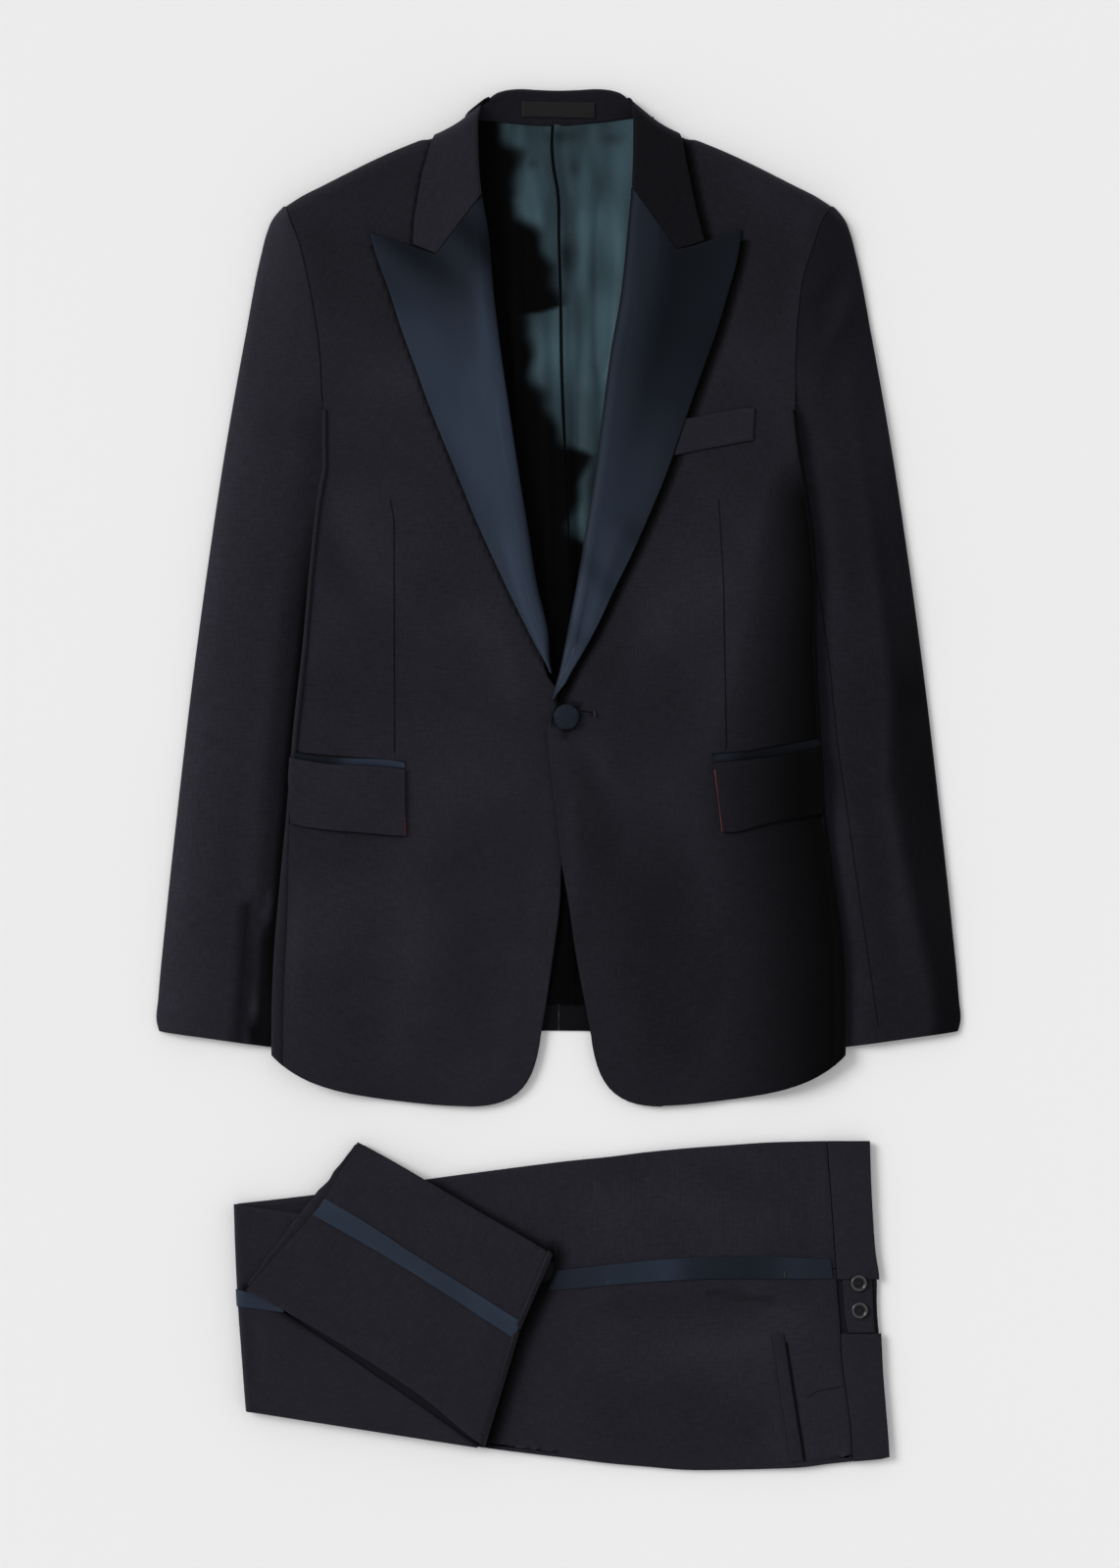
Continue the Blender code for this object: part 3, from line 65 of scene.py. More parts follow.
SLEEVE_UNDER_BODY = 6.6      # height of the part of a sleeve that the body lies on
SLEEVE_HEIGHT = 9.4          # height of the free part of a sleeve
SLEEVE_ROLL = 20.0           # reach of the roll along its outer edge
SLEEVE_DIP = 4.7             # its height in the hollow beside the body
HIDDEN_SLEEVE = 46.0         # how far a sleeve reaches under the body
ARMPIT_DOWN = 290.0
SIDE_LEVEL = 12.4            # front's height at the body's side edge
SIDE_ROLL = 3.2              # how far the side's roll reaches in from the edge
SHOULDER_ROLL = 12.0
SHOULDER_SLANT = 0.9         # distance from the shoulder line for each millimetre further down
FRONT_LOW = 2.0              # heights of front, turned cloth and sleeve at their rolled edges
TURNED_LOW = 2.2
SLEEVE_LOW = 1.9
OVERLAP_RISE = 4.4           # left front over right front and its facing at the button
ROLL_BEND = 4.0              # collar's bend at its fold
SOFT_BEND = 8.0              # lapel's soft bend at the roll line
FRONT_SETBACK = 5.0          # front's cut edge behind the roll line
FACING_LIP = 9.0             # facing behind the front's edge
LAPEL_TAIL = {"right": 477.0, "left": 499.0}
LAPEL_LIFT = 3.2             # soft roll of the lapel above the front
LAPEL_TAIL_COLUMNS = (0.0, 0.45, 0.56, 0.67, 0.78, 0.89, 1.0)

WAIST_TOP = 6.2              # heights of the trousers' three visible layers
MIDDLE_TOP = 12.0
END_TOP = 17.8
BAND_TOP = 6.8


def table(names, *rows):
    """Named columns of a section table; the first column is the one it is read by."""
    return dict(zip(names.split(), np.array(rows, float).T))


# Side edge of the body: the armhole seam down to the armpit, then the side's fold.
SIDE = table("down right left",
    (20, 222, 222.4), (96, 222, 222.4), (108, 217.8, 215.2), (128, 210.3, 208), (150, 205, 200.7),
    (185, 198.4, 195.4), (212, 194.7, 193.7), (250, 192.8, 193.7), (286, 192.4, 196.8),
    (310, 192.6, 200.6), (330, 196.2, 204), (375, 201.6, 209.6), (458, 209.3, 211),
    (520, 216.3, 214), (595, 222.4, 219), (650, 227.6, 226.4), (705, 232.2, 233.6),
    (745, 234, 234.4), (790, 234.4, 234.4), (840, 234.4, 234.4))

# Where the sections across the body are taken, along its side.
ARMHOLE_STATIONS = (94.8, 98, 104, 114, 130, 150, 175, 205, 235)
SIDE_STATIONS = (262, 285, 305, 325, 345, 370, 410, 470, 540, 610, 680, 740, 789)
SLEEVE_STATIONS = (250, 262, 276, 290, 305, 325, 345, 370, 410, 470, 540, 610, 680, 735, 760)
SIDE_HEM = 788.8

# Collar fold, lapel roll line and front edge of each front.
EDGE = table("down right left",
    (4, 53, 53), (10, 61, 58.5), (20, 64.2, 60), (45, 65.1, 60.5), (85, 62.5, 59), (118, 57, 56),
    (165, 53, 51.2), (217, 46.7, 42.2), (270, 38.9, 35.2), (322, 31, 28.5), (362, 24.3, 21.8),
    (407, 17, 14.4), (440, 9, 7.9), (478, 4.5, 0.2), (496, -4, -5.1), (518, -12, -9.2),
    (550, -13, -7.4), (590, -9, -2.5), (636, -2.5, 3), (660, -1.6, 7.4), (705, 4, 13.8),
    (750, 10.6, 22.2), (772, 14.4, 26.4))
CUTAWAY_DOWN = 772.0         # where the rounded front corner starts
CUTAWAY = ((0, 0), (4.6, 40), (17.6, 58.8), (57.6, 58.8))   # its curve's handles

# Lower edge of a front, from its rounded corner to the side.
HEM = table("across down",
    (72, 830.8), (98, 829.6), (123, 827.2), (153, 823.2), (174, 819.2), (189, 815.2), (209, 807.2),
    (222, 799.2), (234.4, 788.8))

# Outline along the collar's side and the shoulder.
SHOULDER = table("across down",
    (52, 4), (60, 8.8), (68, 15.2), (80, 24.8), (96, 33.8), (110.4, 39.6), (133.2, 48.8),
    (154, 58.4), (173.2, 68), (192, 77.6), (210.8, 87.2), (222.6, 94.8), (240, 106))

# Height of the front away from its sides, and at the armhole.
LEVEL = table("down middle armhole",
    (0, 15, 17), (60, 15, 17), (110, 14, 17), (180, 13, 15), (250, 12.3, 12.6), (290, 12, 12.4),
    (400, 10.6, 12.4), (480, 9.6, 12.4), (560, 8.6, 12.4), (650, 7.6, 12.4), (740, 6.6, 12.4),
    (840, 5.6, 12))

# Outer edges of sleeve and lapel.
SLEEVE_OUTER = table("down across",
    (94, 224.2), (98, 228), (106, 234.2), (116, 238.4), (135, 243.4), (200, 256), (295, 272.8),
    (391, 287.2), (487, 300), (583, 311.2), (679, 321.6), (743, 327.6), (762, 328.8), (770, 326.8))
CUFF = dict(down=769.6, across=325.6, slope=0.14)
VENT = ((230.6, 623), (241, 690), (253, 777))        # edge of the right sleeve's vent
VENT_FOLD = ((255, 668), (257, 715), (262, 780))     # and the fold beside it

LAPEL_OUTER = table("down right left",
    (114, 155.5, 149.8), (121, 153.2, 148.6), (140, 147.6, 145.6), (166, 138, 138.6),
    (198, 127.8, 129), (230, 116, 117.6), (257, 106.4, 108), (280, 97.3, 100), (312, 84, 88.9),
    (352, 67.6, 72.4), (386, 52.2, 57), (407, 42.4, 46.4), (439, 26.6, 31.3), (454, 19, 23.3),
    (469, 10.6, 14.5), (477, 7, 9.8), (490, 3, 3.4), (502, -1, -2.6))

# Corner points (across, down) of collar and lapel at the gorge seam.
GORGE = {
    "right": dict(
        roll=(62.2, 87), end=(99.8, 135.4), leaf=(119, 127.2), leaf_top=(101.6, 37.6),
        leaf_edge=((111.2, 69.6), (117.6, 105.6)), lapel_edge=((112, 131.6), (136, 123)),
        peak=(153, 118.6)),
    "left": dict(
        roll=(59.2, 80), end=(96.6, 131.4), leaf=(119, 124.6), leaf_top=(99.4, 36.4),
        leaf_edge=((104.6, 62), (112.4, 100)), lapel_edge=((112, 127.8), (130, 121.6)),
        peak=(148, 114.8)),
}

# Hip pockets: upper and lower edge of the satin jetting, lower edge of the flap.
POCKET = {
    "right": table("across jet_top jet_bottom flap_bottom",
        (125.4, 549.6, 555, 609.6), (136, 548, 553.8, 609), (163, 546.6, 552, 606.6),
        (185, 545.8, 551.2, 604.8), (209, 542.8, 547.6, 601.6), (217, 540.4, 545.8, 599.6),
        (221, 538.6, 544.6, 598.4)),
    "left": table("across jet_top jet_bottom flap_bottom",
        (127, 543.2, 549.6, 606.8), (140, 542.2, 548.8, 606), (158, 540.6, 547.2, 601.4),
        (178, 537.2, 544.8, 596.6), (192, 534.4, 542.2, 594.8), (206, 531.8, 539.2, 592.6),
        (217, 529.6, 537, 590.8)),
}
FLAP_LEAN = {"right": 0.0, "left": 7.0}      # how far the flap's front edge leans towards the side

# Breast pocket's welt.
WELT = table("across top bottom",
    (96, 270.4, 299.2), (113, 267.8, 295.4), (136.4, 263.2, 291), (155, 260.6, 287.6),
    (160.2, 260.8, 286.8))

# Edge of the lining's centre pleat, and the line where the lining's painted shadow gives way.
PLEAT = table("down across",
    (28, -4.4), (46, -5.0), (65, -3.4), (82, -0.4), (124, 0.8), (177, 2.2), (230, 3.0), (257, 4.0),
    (362, 8.6), (480, 9.0), (748, 9.0))
LINING_HALF = 78.0
LIT_FROM = table("down across",
    (28, -48), (50, -34), (90, -37), (118, -18), (144, -3), (176, 0), (184, -26), (224, -21),
    (261, -10), (292, 10), (300, 26), (318, 22), (366, 13), (400, 60), (780, 90))
# Painted shade in soft clouds on the lining: across, down, half width, half length, depth of the
# shade.
PAINTED_SHADE_CLOUDS = (
    (2, 38, 14, 6, 0.5), (13, 64, 6, 9, 0.45), (7, 135, 9, 16, 0.65), (33, 81, 11, 15, 0.3),
    (33, 144, 13, 22, 0.35), (19, 306, 13, 7, 0.85), (-22, 60, 5, 4, 0.4), (30, 330, 12, 34, 0.55),
    (44, 40, 9, 5, 0.4), (-12, 250, 6, 20, 0.3), (18, 210, 4, 24, 0.25))
LINING_HEM = 747.0
BACK_HEM = 769.0

# Collar's back: its fold and its seam at the neck.
COLLAR_FOLD = table("across down",
    (-53, 4.4), (-44, 1.6), (-30, 0.2), (0, 0.6), (30, 0.2), (44, 1.6), (53, 4.4))
STAND_SEAM = table("across down",
    (-66, 24.4), (-51, 26.0), (-20, 28.6), (0, 29.2), (30, 26.6), (62, 22.6))
STAND_TOP = 9.4
STAND_FOOT = 4.4
FALL_DEPTH = 19.0
LABEL = dict(left=-30.0, right=29.6, top=10.4, bottom=22.6, thick=0.5)

# Profiles are shares of a button's radius and height, from its foot over its rim to its middle.
BUTTON = dict(
    across=6.4, down=512.6, radius=10.3, height=4.6,
    profile=((0.7, 0.0), (0.93, 0.3), (0.99, 0.45), (1.0, 0.58), (0.985, 0.7), (0.94, 0.8),
             (0.86, 0.88), (0.7, 0.94), (0.5, 0.98), (0.25, 1.0)))
BUTTONHOLE = dict(across=22.6, down=508.6, length=15.5)
ADJUSTER_BUTTON = dict(
    radius=6.6, height=2.6, places=((245.1, 974.6), (245.8, 996.8)),
    profile=((0.8, 0.0), (0.97, 0.25), (1.0, 0.5), (0.98, 0.78), (0.93, 0.95), (0.88, 1.0),
             (0.8, 0.97), (0.72, 0.8), (0.62, 0.62), (0.5, 0.56)))
# Bar tacks that end the pocket openings: across, down and turn, and their length.
BAR_TACKS = {"lower": (40.0, 974.0, 0.2), "upper": (184.8, 967.6, 0.1)}
BAR_TACK_LENGTH = 5.0

# Trousers, waist to the fold: creases and the edges of the satin stripe.
WAIST_LEG = table("across upper stripe_top stripe_bottom lower",
    (-264, 910.2, 990, 1006, 1078), (-216, 904.8, 986, 1002, 1084.8),
    (-160, 897.6, 981, 997, 1094.2), (-104, 889.6, 975, 991, 1103.2),
    (-56, 883.2, 970, 986, 1110.4), (8, 875.2, 963.6, 979.8, 1118.4), (40, 872, 960, 976.8, 1122.4),
    (72, 868, 956.6, 974.2, 1125.4), (104, 864.8, 954.4, 972.2, 1128),
    (136, 862.4, 953.4, 971.5, 1128), (168, 860.2, 953, 971.5, 1127.2),
    (200, 859.2, 954.4, 971.5, 1125.6), (219.5, 858.8, 955.2, 971.2, 1123.2),
    (240, 858.6, 956, 971, 1121))
WAIST_SEAM = table("down across",
    (858, 219.2), (899, 222.4), (931, 224.8), (956, 226.4), (983, 228), (1004, 229.9), (1042, 232),
    (1064, 235), (1090, 238.4), (1121, 240.6))
WAIST_EDGE = table("down across",
    (858, 254.4), (887, 255.2), (919, 256.8), (951, 259.2), (970, 262), (984, 261.8), (1004, 262.4),
    (1012, 263.2), (1051, 265.4), (1077, 267.5), (1103, 269.6), (1119, 270.6))
BAND_FRONT_END = 972.0
BAND_BACK_TOP = 1016.0
BAND_CORNER = (264.0, 1118.6)

FOLD_EDGE = table("down across",
    (910, -265.4), (952, -264), (999, -261.6), (1031, -259.2), (1063, -256.8), (1080, -255.4))
MIDDLE_LEG = table("across upper stripe_top stripe_bottom",
    (-266, 909.8, 979.2, 993.2), (-252, 912.2, 981.2, 994.4), (-236, 915.2, 983.6, 996.2),
    (-219, 917.8, 986.2, 998.4), (-190, 922, 990.6, 1002.4), (0, 950.2, 1018, 1032))

# Trousers' end layer: its two creases, its fold and its hem.
END_UPPER = (
    (-164, 859.4), (-156.8, 863.2), (-127.2, 879.2), (-60, 918.4), (-16.8, 943), (-4.6, 950.6))
END_LOWER = (
    (-254.6, 979.2), (-232, 991.2), (-168, 1028.8), (-106.4, 1069.6), (-76, 1095), (-60, 1107.4))
END_FOLD = (
    (-4.6, 950.6), (-9.1, 968), (-24, 999.2), (-34.4, 1021.6), (-44.8, 1055.2), (-60, 1107.4))
END_HEM = (
    (-164, 859.4), (-180, 883.2), (-190.4, 904.8), (-208, 924.4), (-229, 950.4), (-254.6, 979.2))
UNDER_HEM = (
    (-166.4, 862), (-188, 890), (-205.6, 910.4), (-226.4, 937.4), (-247.2, 965.4), (-256.2, 979))
END_STRIPE = dict(
    top=((-189.8, 905.2), (-157.6, 923.6), (-116.8, 950.2), (-76, 975.8), (-29.6, 1005.4)),
    bottom=((-199.8, 918), (-157.6, 941.8), (-116.8, 966.2), (-76, 992.4), (-33.4, 1020)))

WAIST_LEFT = ((-262.4, 916), (-214, 921), (-186, 914), (-164, 900))
LEG_SLOPE = 0.14             # down per across of the folded legs
FOLD_REACH = 5.0             # how far a fold's roll reaches in
CREASE_PLACES = np.array([0.0, 0.6, 1.6, 4.0])   # where a crease is rounded, in from its edge
PLY_BULGE = 1.2              # how far in the plies' edges are drawn between them
LEG_PAINTED_SHADE = 0.28            # painted shade of the legs' upper cloth
POCKET_FOLD_SHADOW = ((122, 983), (174, 989))       # painted shadow of a deep fold beside the rear pocket
REAR_POCKET = dict(
    top=((174, 1017), (183.4, 1016)), bottom=((189.8, 1120.6), (199.6, 1119.6)))


# ---------------------------------------------------------------- curves and surfaces
def read(tab, name, at):
    """Smooth value of a table's column where its first column has the value at."""
    key = next(iter(tab))
    places, values = tab[key], tab[name]
    at = np.clip(np.asarray(at, float), places[0], places[-1])
    slope = np.gradient(values, places)
    i = np.clip(np.searchsorted(places, at, side="right") - 1, 0, len(places) - 2)
    width = places[i + 1] - places[i]
    t = (at - places[i]) / width
    start, end = values[i], values[i + 1]
    return (start * (1 + 2 * t) * (1 - t) ** 2 + end * t * t * (3 - 2 * t)
            + width * (slope[i] * t * (1 - t) ** 2 - slope[i + 1] * t * t * (1 - t)))


def ease(t):
    """Smooth step from 0 to 1."""
    t = np.clip(t, 0.0, 1.0)
    return t * t * (3.0 - 2.0 * t)


def shares(count):
    return np.linspace(0.0, 1.0, count)


def pair(across, down):
    """Plan points from their two coordinates."""
    return np.stack([across, down], -1)


def unit(vectors):
    return vectors / np.linalg.norm(vectors, axis=-1, keepdims=True)


def along(points, places):
    """Points at the given shares of the length of a smooth curve through points."""
    points = np.array(points, float)
    knots = np.concatenate(([0.0], np.cumsum(np.linalg.norm(np.diff(points, axis=0), axis=1))))
    tab = {"t": knots, "x": points[:, 0], "y": points[:, 1]}
    fine = np.linspace(0.0, knots[-1], 12 * len(points))
    if len(points) == 2:
        curve = np.stack([np.interp(fine, knots, points[:, k]) for k in (0, 1)], -1)
    else:
        curve = pair(read(tab, "x", fine), read(tab, "y", fine))
    length = np.concatenate(([0.0], np.cumsum(np.linalg.norm(np.diff(curve, axis=0), axis=1))))
    want = np.asarray(places) * length[-1]
    return np.stack([np.interp(want, length, curve[:, k]) for k in (0, 1)], -1)


def bezier(handles, count):
    a, b, c, d = (np.array(handle, float) for handle in handles)
    t = shares(count)[:, None]
    return a * (1 - t) ** 3 + 3 * b * t * (1 - t) ** 2 + 3 * c * t * t * (1 - t) + d * t ** 3


def lengths(points):
    """Share of a broken line's length at each of its points."""
    steps = np.linalg.norm(np.diff(np.array(points, float), axis=0), axis=1)
    run = np.concatenate(([0.0], np.cumsum(steps)))
    return run / run[-1]


def straight(points, places):
    """Points at the given shares of the length of a broken line, which keeps its corners."""
    points = np.array(points, float)
    return np.stack([np.interp(places, lengths(points), points[:, k]) for k in (0, 1)], -1)


def patch(top, bottom, start, end):
    """Plan grid inside four edges: rows follow the points of start, columns those of top."""
    top, bottom, start, end = (np.array(edge, float) for edge in (top, bottom, start, end))
    start[0], start[-1], end[0], end[-1] = top[0], bottom[0], top[-1], bottom[-1]
    v = ((lengths(start) + lengths(end)) / 2)[:, None, None]
    u = ((lengths(top) + lengths(bottom)) / 2)[None, :, None]
    ruled = (1 - v) * top[None] + v * bottom[None] + (1 - u) * start[:, None] + u * end[:, None]
    common = ((1 - u) * (1 - v) * top[0] + u * (1 - v) * top[-1]
              + (1 - u) * v * bottom[0] + u * v * bottom[-1])
    return ruled - common


def between(upper, lower, count):
    """Plan grid whose rows run from an upper to a lower edge."""
    return upper + (lower - upper) * shares(count)[:, None, None]


def raised(plan, height, *wearer):
    """Grid of points over a plan grid; height is a number, a grid or a function."""
    if callable(height):
        height = height(plan[..., 0], plan[..., 1], *wearer)
    height = np.broadcast_to(height, plan.shape[:2])
    return np.concatenate([plan, height[..., None]], -1)


def normals(grid):
    """Outward unit normals of a grid: its highest parts face up."""
    def slope(axis):
        return np.gradient(grid, axis=axis)
    normal = np.cross(slope(1), slope(0))
    normal /= np.maximum(np.linalg.norm(normal, axis=-1, keepdims=True), 1e-9)
    height = grid[..., 2]
    high = height >= height.max() - 0.25 * (height.max() - height.min())
    return normal if normal[high][:, 2].mean() > 0 else -normal


def placed(points, side=1):
    """Millimetres of a piece's own side to metres of the shared frame."""
    out = np.array(points, float)
    out[..., 0] *= side
    out[..., 1] = COLLAR_TOP_Y - out[..., 1]
    return out * MM


# ---------------------------------------------------------------- cloth
RESTING_PAINTED_SHADE = {"wool": 0.3}      # painted shade of cloth that lies flat, 0 to 1
EDGE_PAINTED_SHADE = 0.8            # painted shade along the edges and seams
LOWEST_TROUGH = 1.1          # how far the soft folds dip at most
TROUGH_PAINTED_SHADE = 0.09         # how much more painted shade a trough gets, for each millimetre
UNEVEN_WAVES = (46, 63, 84, 110, 150, 190)   # lengths of the waves of laid cloth
UNEVEN_HEIGHT = 0.0016       # their height for each millimetre of length
EDGE_INSET = 0.4             # a sheet's last line in from its edge, in thicknesses
EDGE_ROUNDING = 0.2          # how far its two faces draw together at the edge
LEAST_WALL = 0.4             # least thickness of a wall that something below thins

# Painted shade zones of the wearer's left side, as places and values to read between. Sleeve: how
# far in from its outer edge the zone reaches, by its place down. Front: how far in from its side,
# by its place down, and how much painted shade it gets, by its share of that reach.
OUTER_SHADE = ((400, 487, 567, 647, 727), (44, 44, 55, 48, 38))
SIDE_SHADE = {"width": ((262, 342, 423, 487, 567, 647, 727), (24, 36, 47, 62, 88, 93, 98)),
              "depth": ((0, 0.14, 0.35, 0.6, 0.85, 1.1, 1.3), (1, 1, 0.91, 0.77, 0.62, 0.46, 0.2))}
# Painted shadow beside the lapel's edge: how far off it starts, how wide it is, and how dark.
BESIDE_LAPEL = {"left": (4, 11, 1.0), "right": (1, 4, 0.8)}
# Painted shade of each front where nothing else darkens it.
FRONT_PAINTED_SHADE = {"left": 0.38, "right": 0.3}

# Soft folds by garment part, as cloth lies: from, to, how far its middle bows, width and height
# (troughs below zero).
FOLDS = {
    "front_left": [
        (12, 530, 40, 640, 4, 9, -1.1), (26, 520, 70, 600, -6, 12, 0.9),
        (60, 470, 150, 400, 10, 20, 0.8), (8, 560, 14, 690, 2, 7, 0.9),
        (150, 620, 170, 800, 6, 26, 0.9), (90, 640, 84, 810, -5, 20, -0.8),
        (215, 300, 168, 420, 8, 14, -1.2), (200, 330, 120, 440, -8, 22, 0.8),
        (205, 120, 150, 210, 8, 18, -0.8), (196, 600, 190, 760, 3, 10, -0.9),
        (60, 150, 120, 250, 8, 26, 0.6)],
    "front_right": [
        (2, 540, 30, 650, -4, 10, -1.0), (20, 505, 78, 420, 6, 14, 0.8),
        (120, 620, 132, 810, -6, 24, 0.9), (70, 660, 60, 800, 4, 18, -0.7),
        (205, 300, 160, 430, 7, 15, -1.2), (190, 340, 110, 450, -9, 22, 0.8),
        (208, 640, 214, 780, 2, 9, 0.8), (200, 110, 140, 200, 8, 20, -0.8),
        (170, 470, 176, 560, 3, 12, -0.6)],
    "sleeve_right": [
        (236, 119, 264, 279, 3, 7, 1.4), (222, 150, 236, 300, -4, 11, -1.0),
        (262, 300, 282, 460, 4, 11, 0.9), (230, 380, 262, 470, -6, 12, -1.1),
        (240, 470, 300, 520, 6, 13, -0.9), (262, 540, 272, 720, -3, 12, -1.0),
        (290, 520, 306, 700, 3, 11, 0.8), (244, 640, 238, 764, 2, 6, 1.2),
        (250, 650, 246, 768, 2, 5, -1.5)],
    "sleeve_left": [
        (232, 140, 206, 182, 4, 6, -1.5), (240, 160, 212, 215, 4, 7, 1.2),
        (248, 170, 214, 250, 6, 9, -1.2), (256, 180, 268, 330, 4, 8, 1.3),
        (262, 300, 290, 470, 4, 10, 0.9), (234, 330, 262, 450, -6, 13, -1.1),
        (238, 470, 302, 505, 6, 12, -1.0), (272, 520, 290, 720, -4, 12, 0.9),
        (250, 540, 262, 700, 4, 12, -1.0), (262, 600, 270, 764, 2, 8, -0.9)],
    "lining": [
        (-40, 60, -34, 300, 5, 8, 1.6), (-24, 40, -18, 420, -3, 7, -1.4),
        (-56, 90, -44, 360, 4, 9, -1.6), (22, 40, 26, 420, 3, 7, 1.5),
        (40, 60, 36, 300, -4, 8, -1.5), (54, 90, 46, 330, 3, 7, 1.4),
        (-12, 180, -8, 520, 2, 5, 1.0), (16, 200, 14, 520, -2, 5, -1.0),
        (-60, 160, -30, 200, 8, 12, 1.0), (20, 250, 52, 215, -6, 10, 1.0)],
    "legs": [
        (20, 1000, 190, 992, 3, 9, -1.2), (60, 1030, 200, 1020, -4, 14, 0.9),
        (-10, 930, 200, 905, 6, 26, 0.8), (20, 1080, 180, 1100, 6, 22, -0.8),
        (150, 975, 214, 1010, -4, 10, 0.8), (100, 890, 215, 930, 8, 18, -0.7)],
    "middle": [
        (-252, 1000, -246, 1068, 2, 5, -1.2), (-240, 1010, -150, 1070, 6, 16, 0.9),
        (-244, 935, -200, 925, 3, 10, -0.9)],
    "end": [
        (-150, 880, -30, 960, 5, 16, 0.9), (-200, 960, -80, 1050, 6, 20, 0.8),
        (-120, 905, -60, 1020, 8, 16, -0.8), (-60, 950, -70, 1080, 4, 12, 0.8),
        (-225, 950, -180, 985, -3, 9, -0.8)],
}


def creases(group, across, down):
    """Rise of a garment part's cloth over its even form, from its folds and a slight unevenness."""
    across, down = np.broadcast_arrays(np.asarray(across, float), np.asarray(down, float))
    rise = np.zeros(across.shape)
    for x0, d0, x1, d1, bow, width, height in FOLDS[group]:
        run_x, run_d = x1 - x0, d1 - d0
        length = math.hypot(run_x, run_d)
        share = ((across - x0) * run_x + (down - d0) * run_d) / length ** 2
        off = ((across - x0) * run_d - (down - d0) * run_x) / length
        off = off - bow * 4 * share * (1 - share)
        fade = ease((share + 0.08) / 0.4) * ease((1.08 - share) / 0.4)
        rise += height * np.exp(-(off / width) ** 2) * fade
    chance = np.random.default_rng(sum(map(ord, group)))
    for wave in UNEVEN_WAVES:
        angle, phase = chance.uniform(0, np.pi), chance.uniform(0, 2 * np.pi)
        run = across * np.cos(angle) + down * np.sin(angle)
        rise += UNEVEN_HEIGHT * wave * np.sin(run * 2 * np.pi / wave + phase)
    rise = rise * bpy.context.scene.tuxedo.fold_height
    return np.where(rise < 0, LOWEST_TROUGH * np.tanh(rise / LOWEST_TROUGH), rise)


def near_line(line, across, down, reach):
    """1 on a broken line, falling softly to 0 at its reach."""
    nearest = np.full(np.broadcast(across, down).shape, np.inf)
    for (x0, d0), (x1, d1) in zip(line[:-1], line[1:]):
        run_x, run_d = x1 - x0, d1 - d0
        share = ((across - x0) * run_x + (down - d0) * run_d) / (run_x ** 2 + run_d ** 2)
        share = np.clip(share, 0, 1)
        away = np.hypot(across - x0 - share * run_x, down - d0 - share * run_d)
        nearest = np.minimum(nearest, away)
    return 1 - ease(nearest / reach)


def dense(places, times):
    """Places or points with more of them between each two."""
    places = np.asarray(places, float)
    at = np.linspace(0, len(places) - 1, (len(places) - 1) * times + 1)
    low = np.minimum(at.astype(int), len(places) - 2)
    share = (at - low).reshape(-1, *[1] * (places.ndim - 1))
    return places[low] * (1 - share) + places[low + 1] * share


def edged(grid, inset):
    """Grid with one more line close to each edge, which keeps the edge's rounding narrow."""
    for axis in (0, 1):
        grid = np.moveaxis(grid, axis, 0)
        close = []
        for edge, beside in ((grid[0], grid[1]), (grid[-1], grid[-2])):
            step = beside - edge
            length = np.linalg.norm(step[..., :3], axis=-1, keepdims=True)
            close.append(edge + step * np.minimum(inset / np.maximum(length, 1e-6), 0.5))
        grid = np.concatenate([grid[:1], close[:1], grid[1:-1], close[1:], grid[-1:]])
        grid = np.moveaxis(grid, 0, axis)
    return grid


def numbered(grid):
    """How many points a grid has, the numbers of those along its rim in order, and its faces."""
    rows, columns = grid.shape[:2]
    at = np.arange(rows * columns).reshape(rows, columns)
    rim = np.concatenate([at[0], at[1:, -1], at[-1, -2::-1], at[-2:0:-1, 0]])
    quads = np.stack([at[:-1, :-1], at[:-1, 1:], at[1:, 1:], at[1:, :-1]], -1).reshape(-1, 4)
    return rows * columns, rim, quads


def ring_faces(above, below):
    """Faces between two closed loops of point numbers."""
    return np.stack([np.roll(above, -1), above, below, np.roll(below, -1)], -1)


def mesh_piece(name, points, faces, slot, uv=None, hollow=None):
    """Smooth mesh object with its faces pointing out; it rides on the set."""
    mesh = bpy.data.meshes.new(name)
    a, b, c = (points[faces[:, k]] for k in range(3))
    d = points[faces[:, 3]]
    volume = np.einsum("ij,ij->", a, np.cross(b, c)) + np.einsum("ij,ij->", a, np.cross(c, d))
    if volume < 0:
        faces = faces[:, ::-1]
    mesh.from_pydata(points.tolist(), [], faces.tolist())
    if uv is not None:
        mesh.uv_layers.new(name="cloth").uv.foreach_set("vector", uv[faces.reshape(-1)].reshape(-1))
    # Painted shade, kept as an attribute that darkens the colour in the material.
    if hollow is not None:
        mesh.attributes.new("hollow", "FLOAT", "POINT").data.foreach_set("value", hollow)
    mesh.shade_smooth()
    mesh.materials.append(material(LOOK_OF.get(name, slot)))
    thing = bpy.data.objects.new(name, mesh)
    bpy.context.scene.collection.objects.link(thing)
    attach(thing, "root")
    return thing


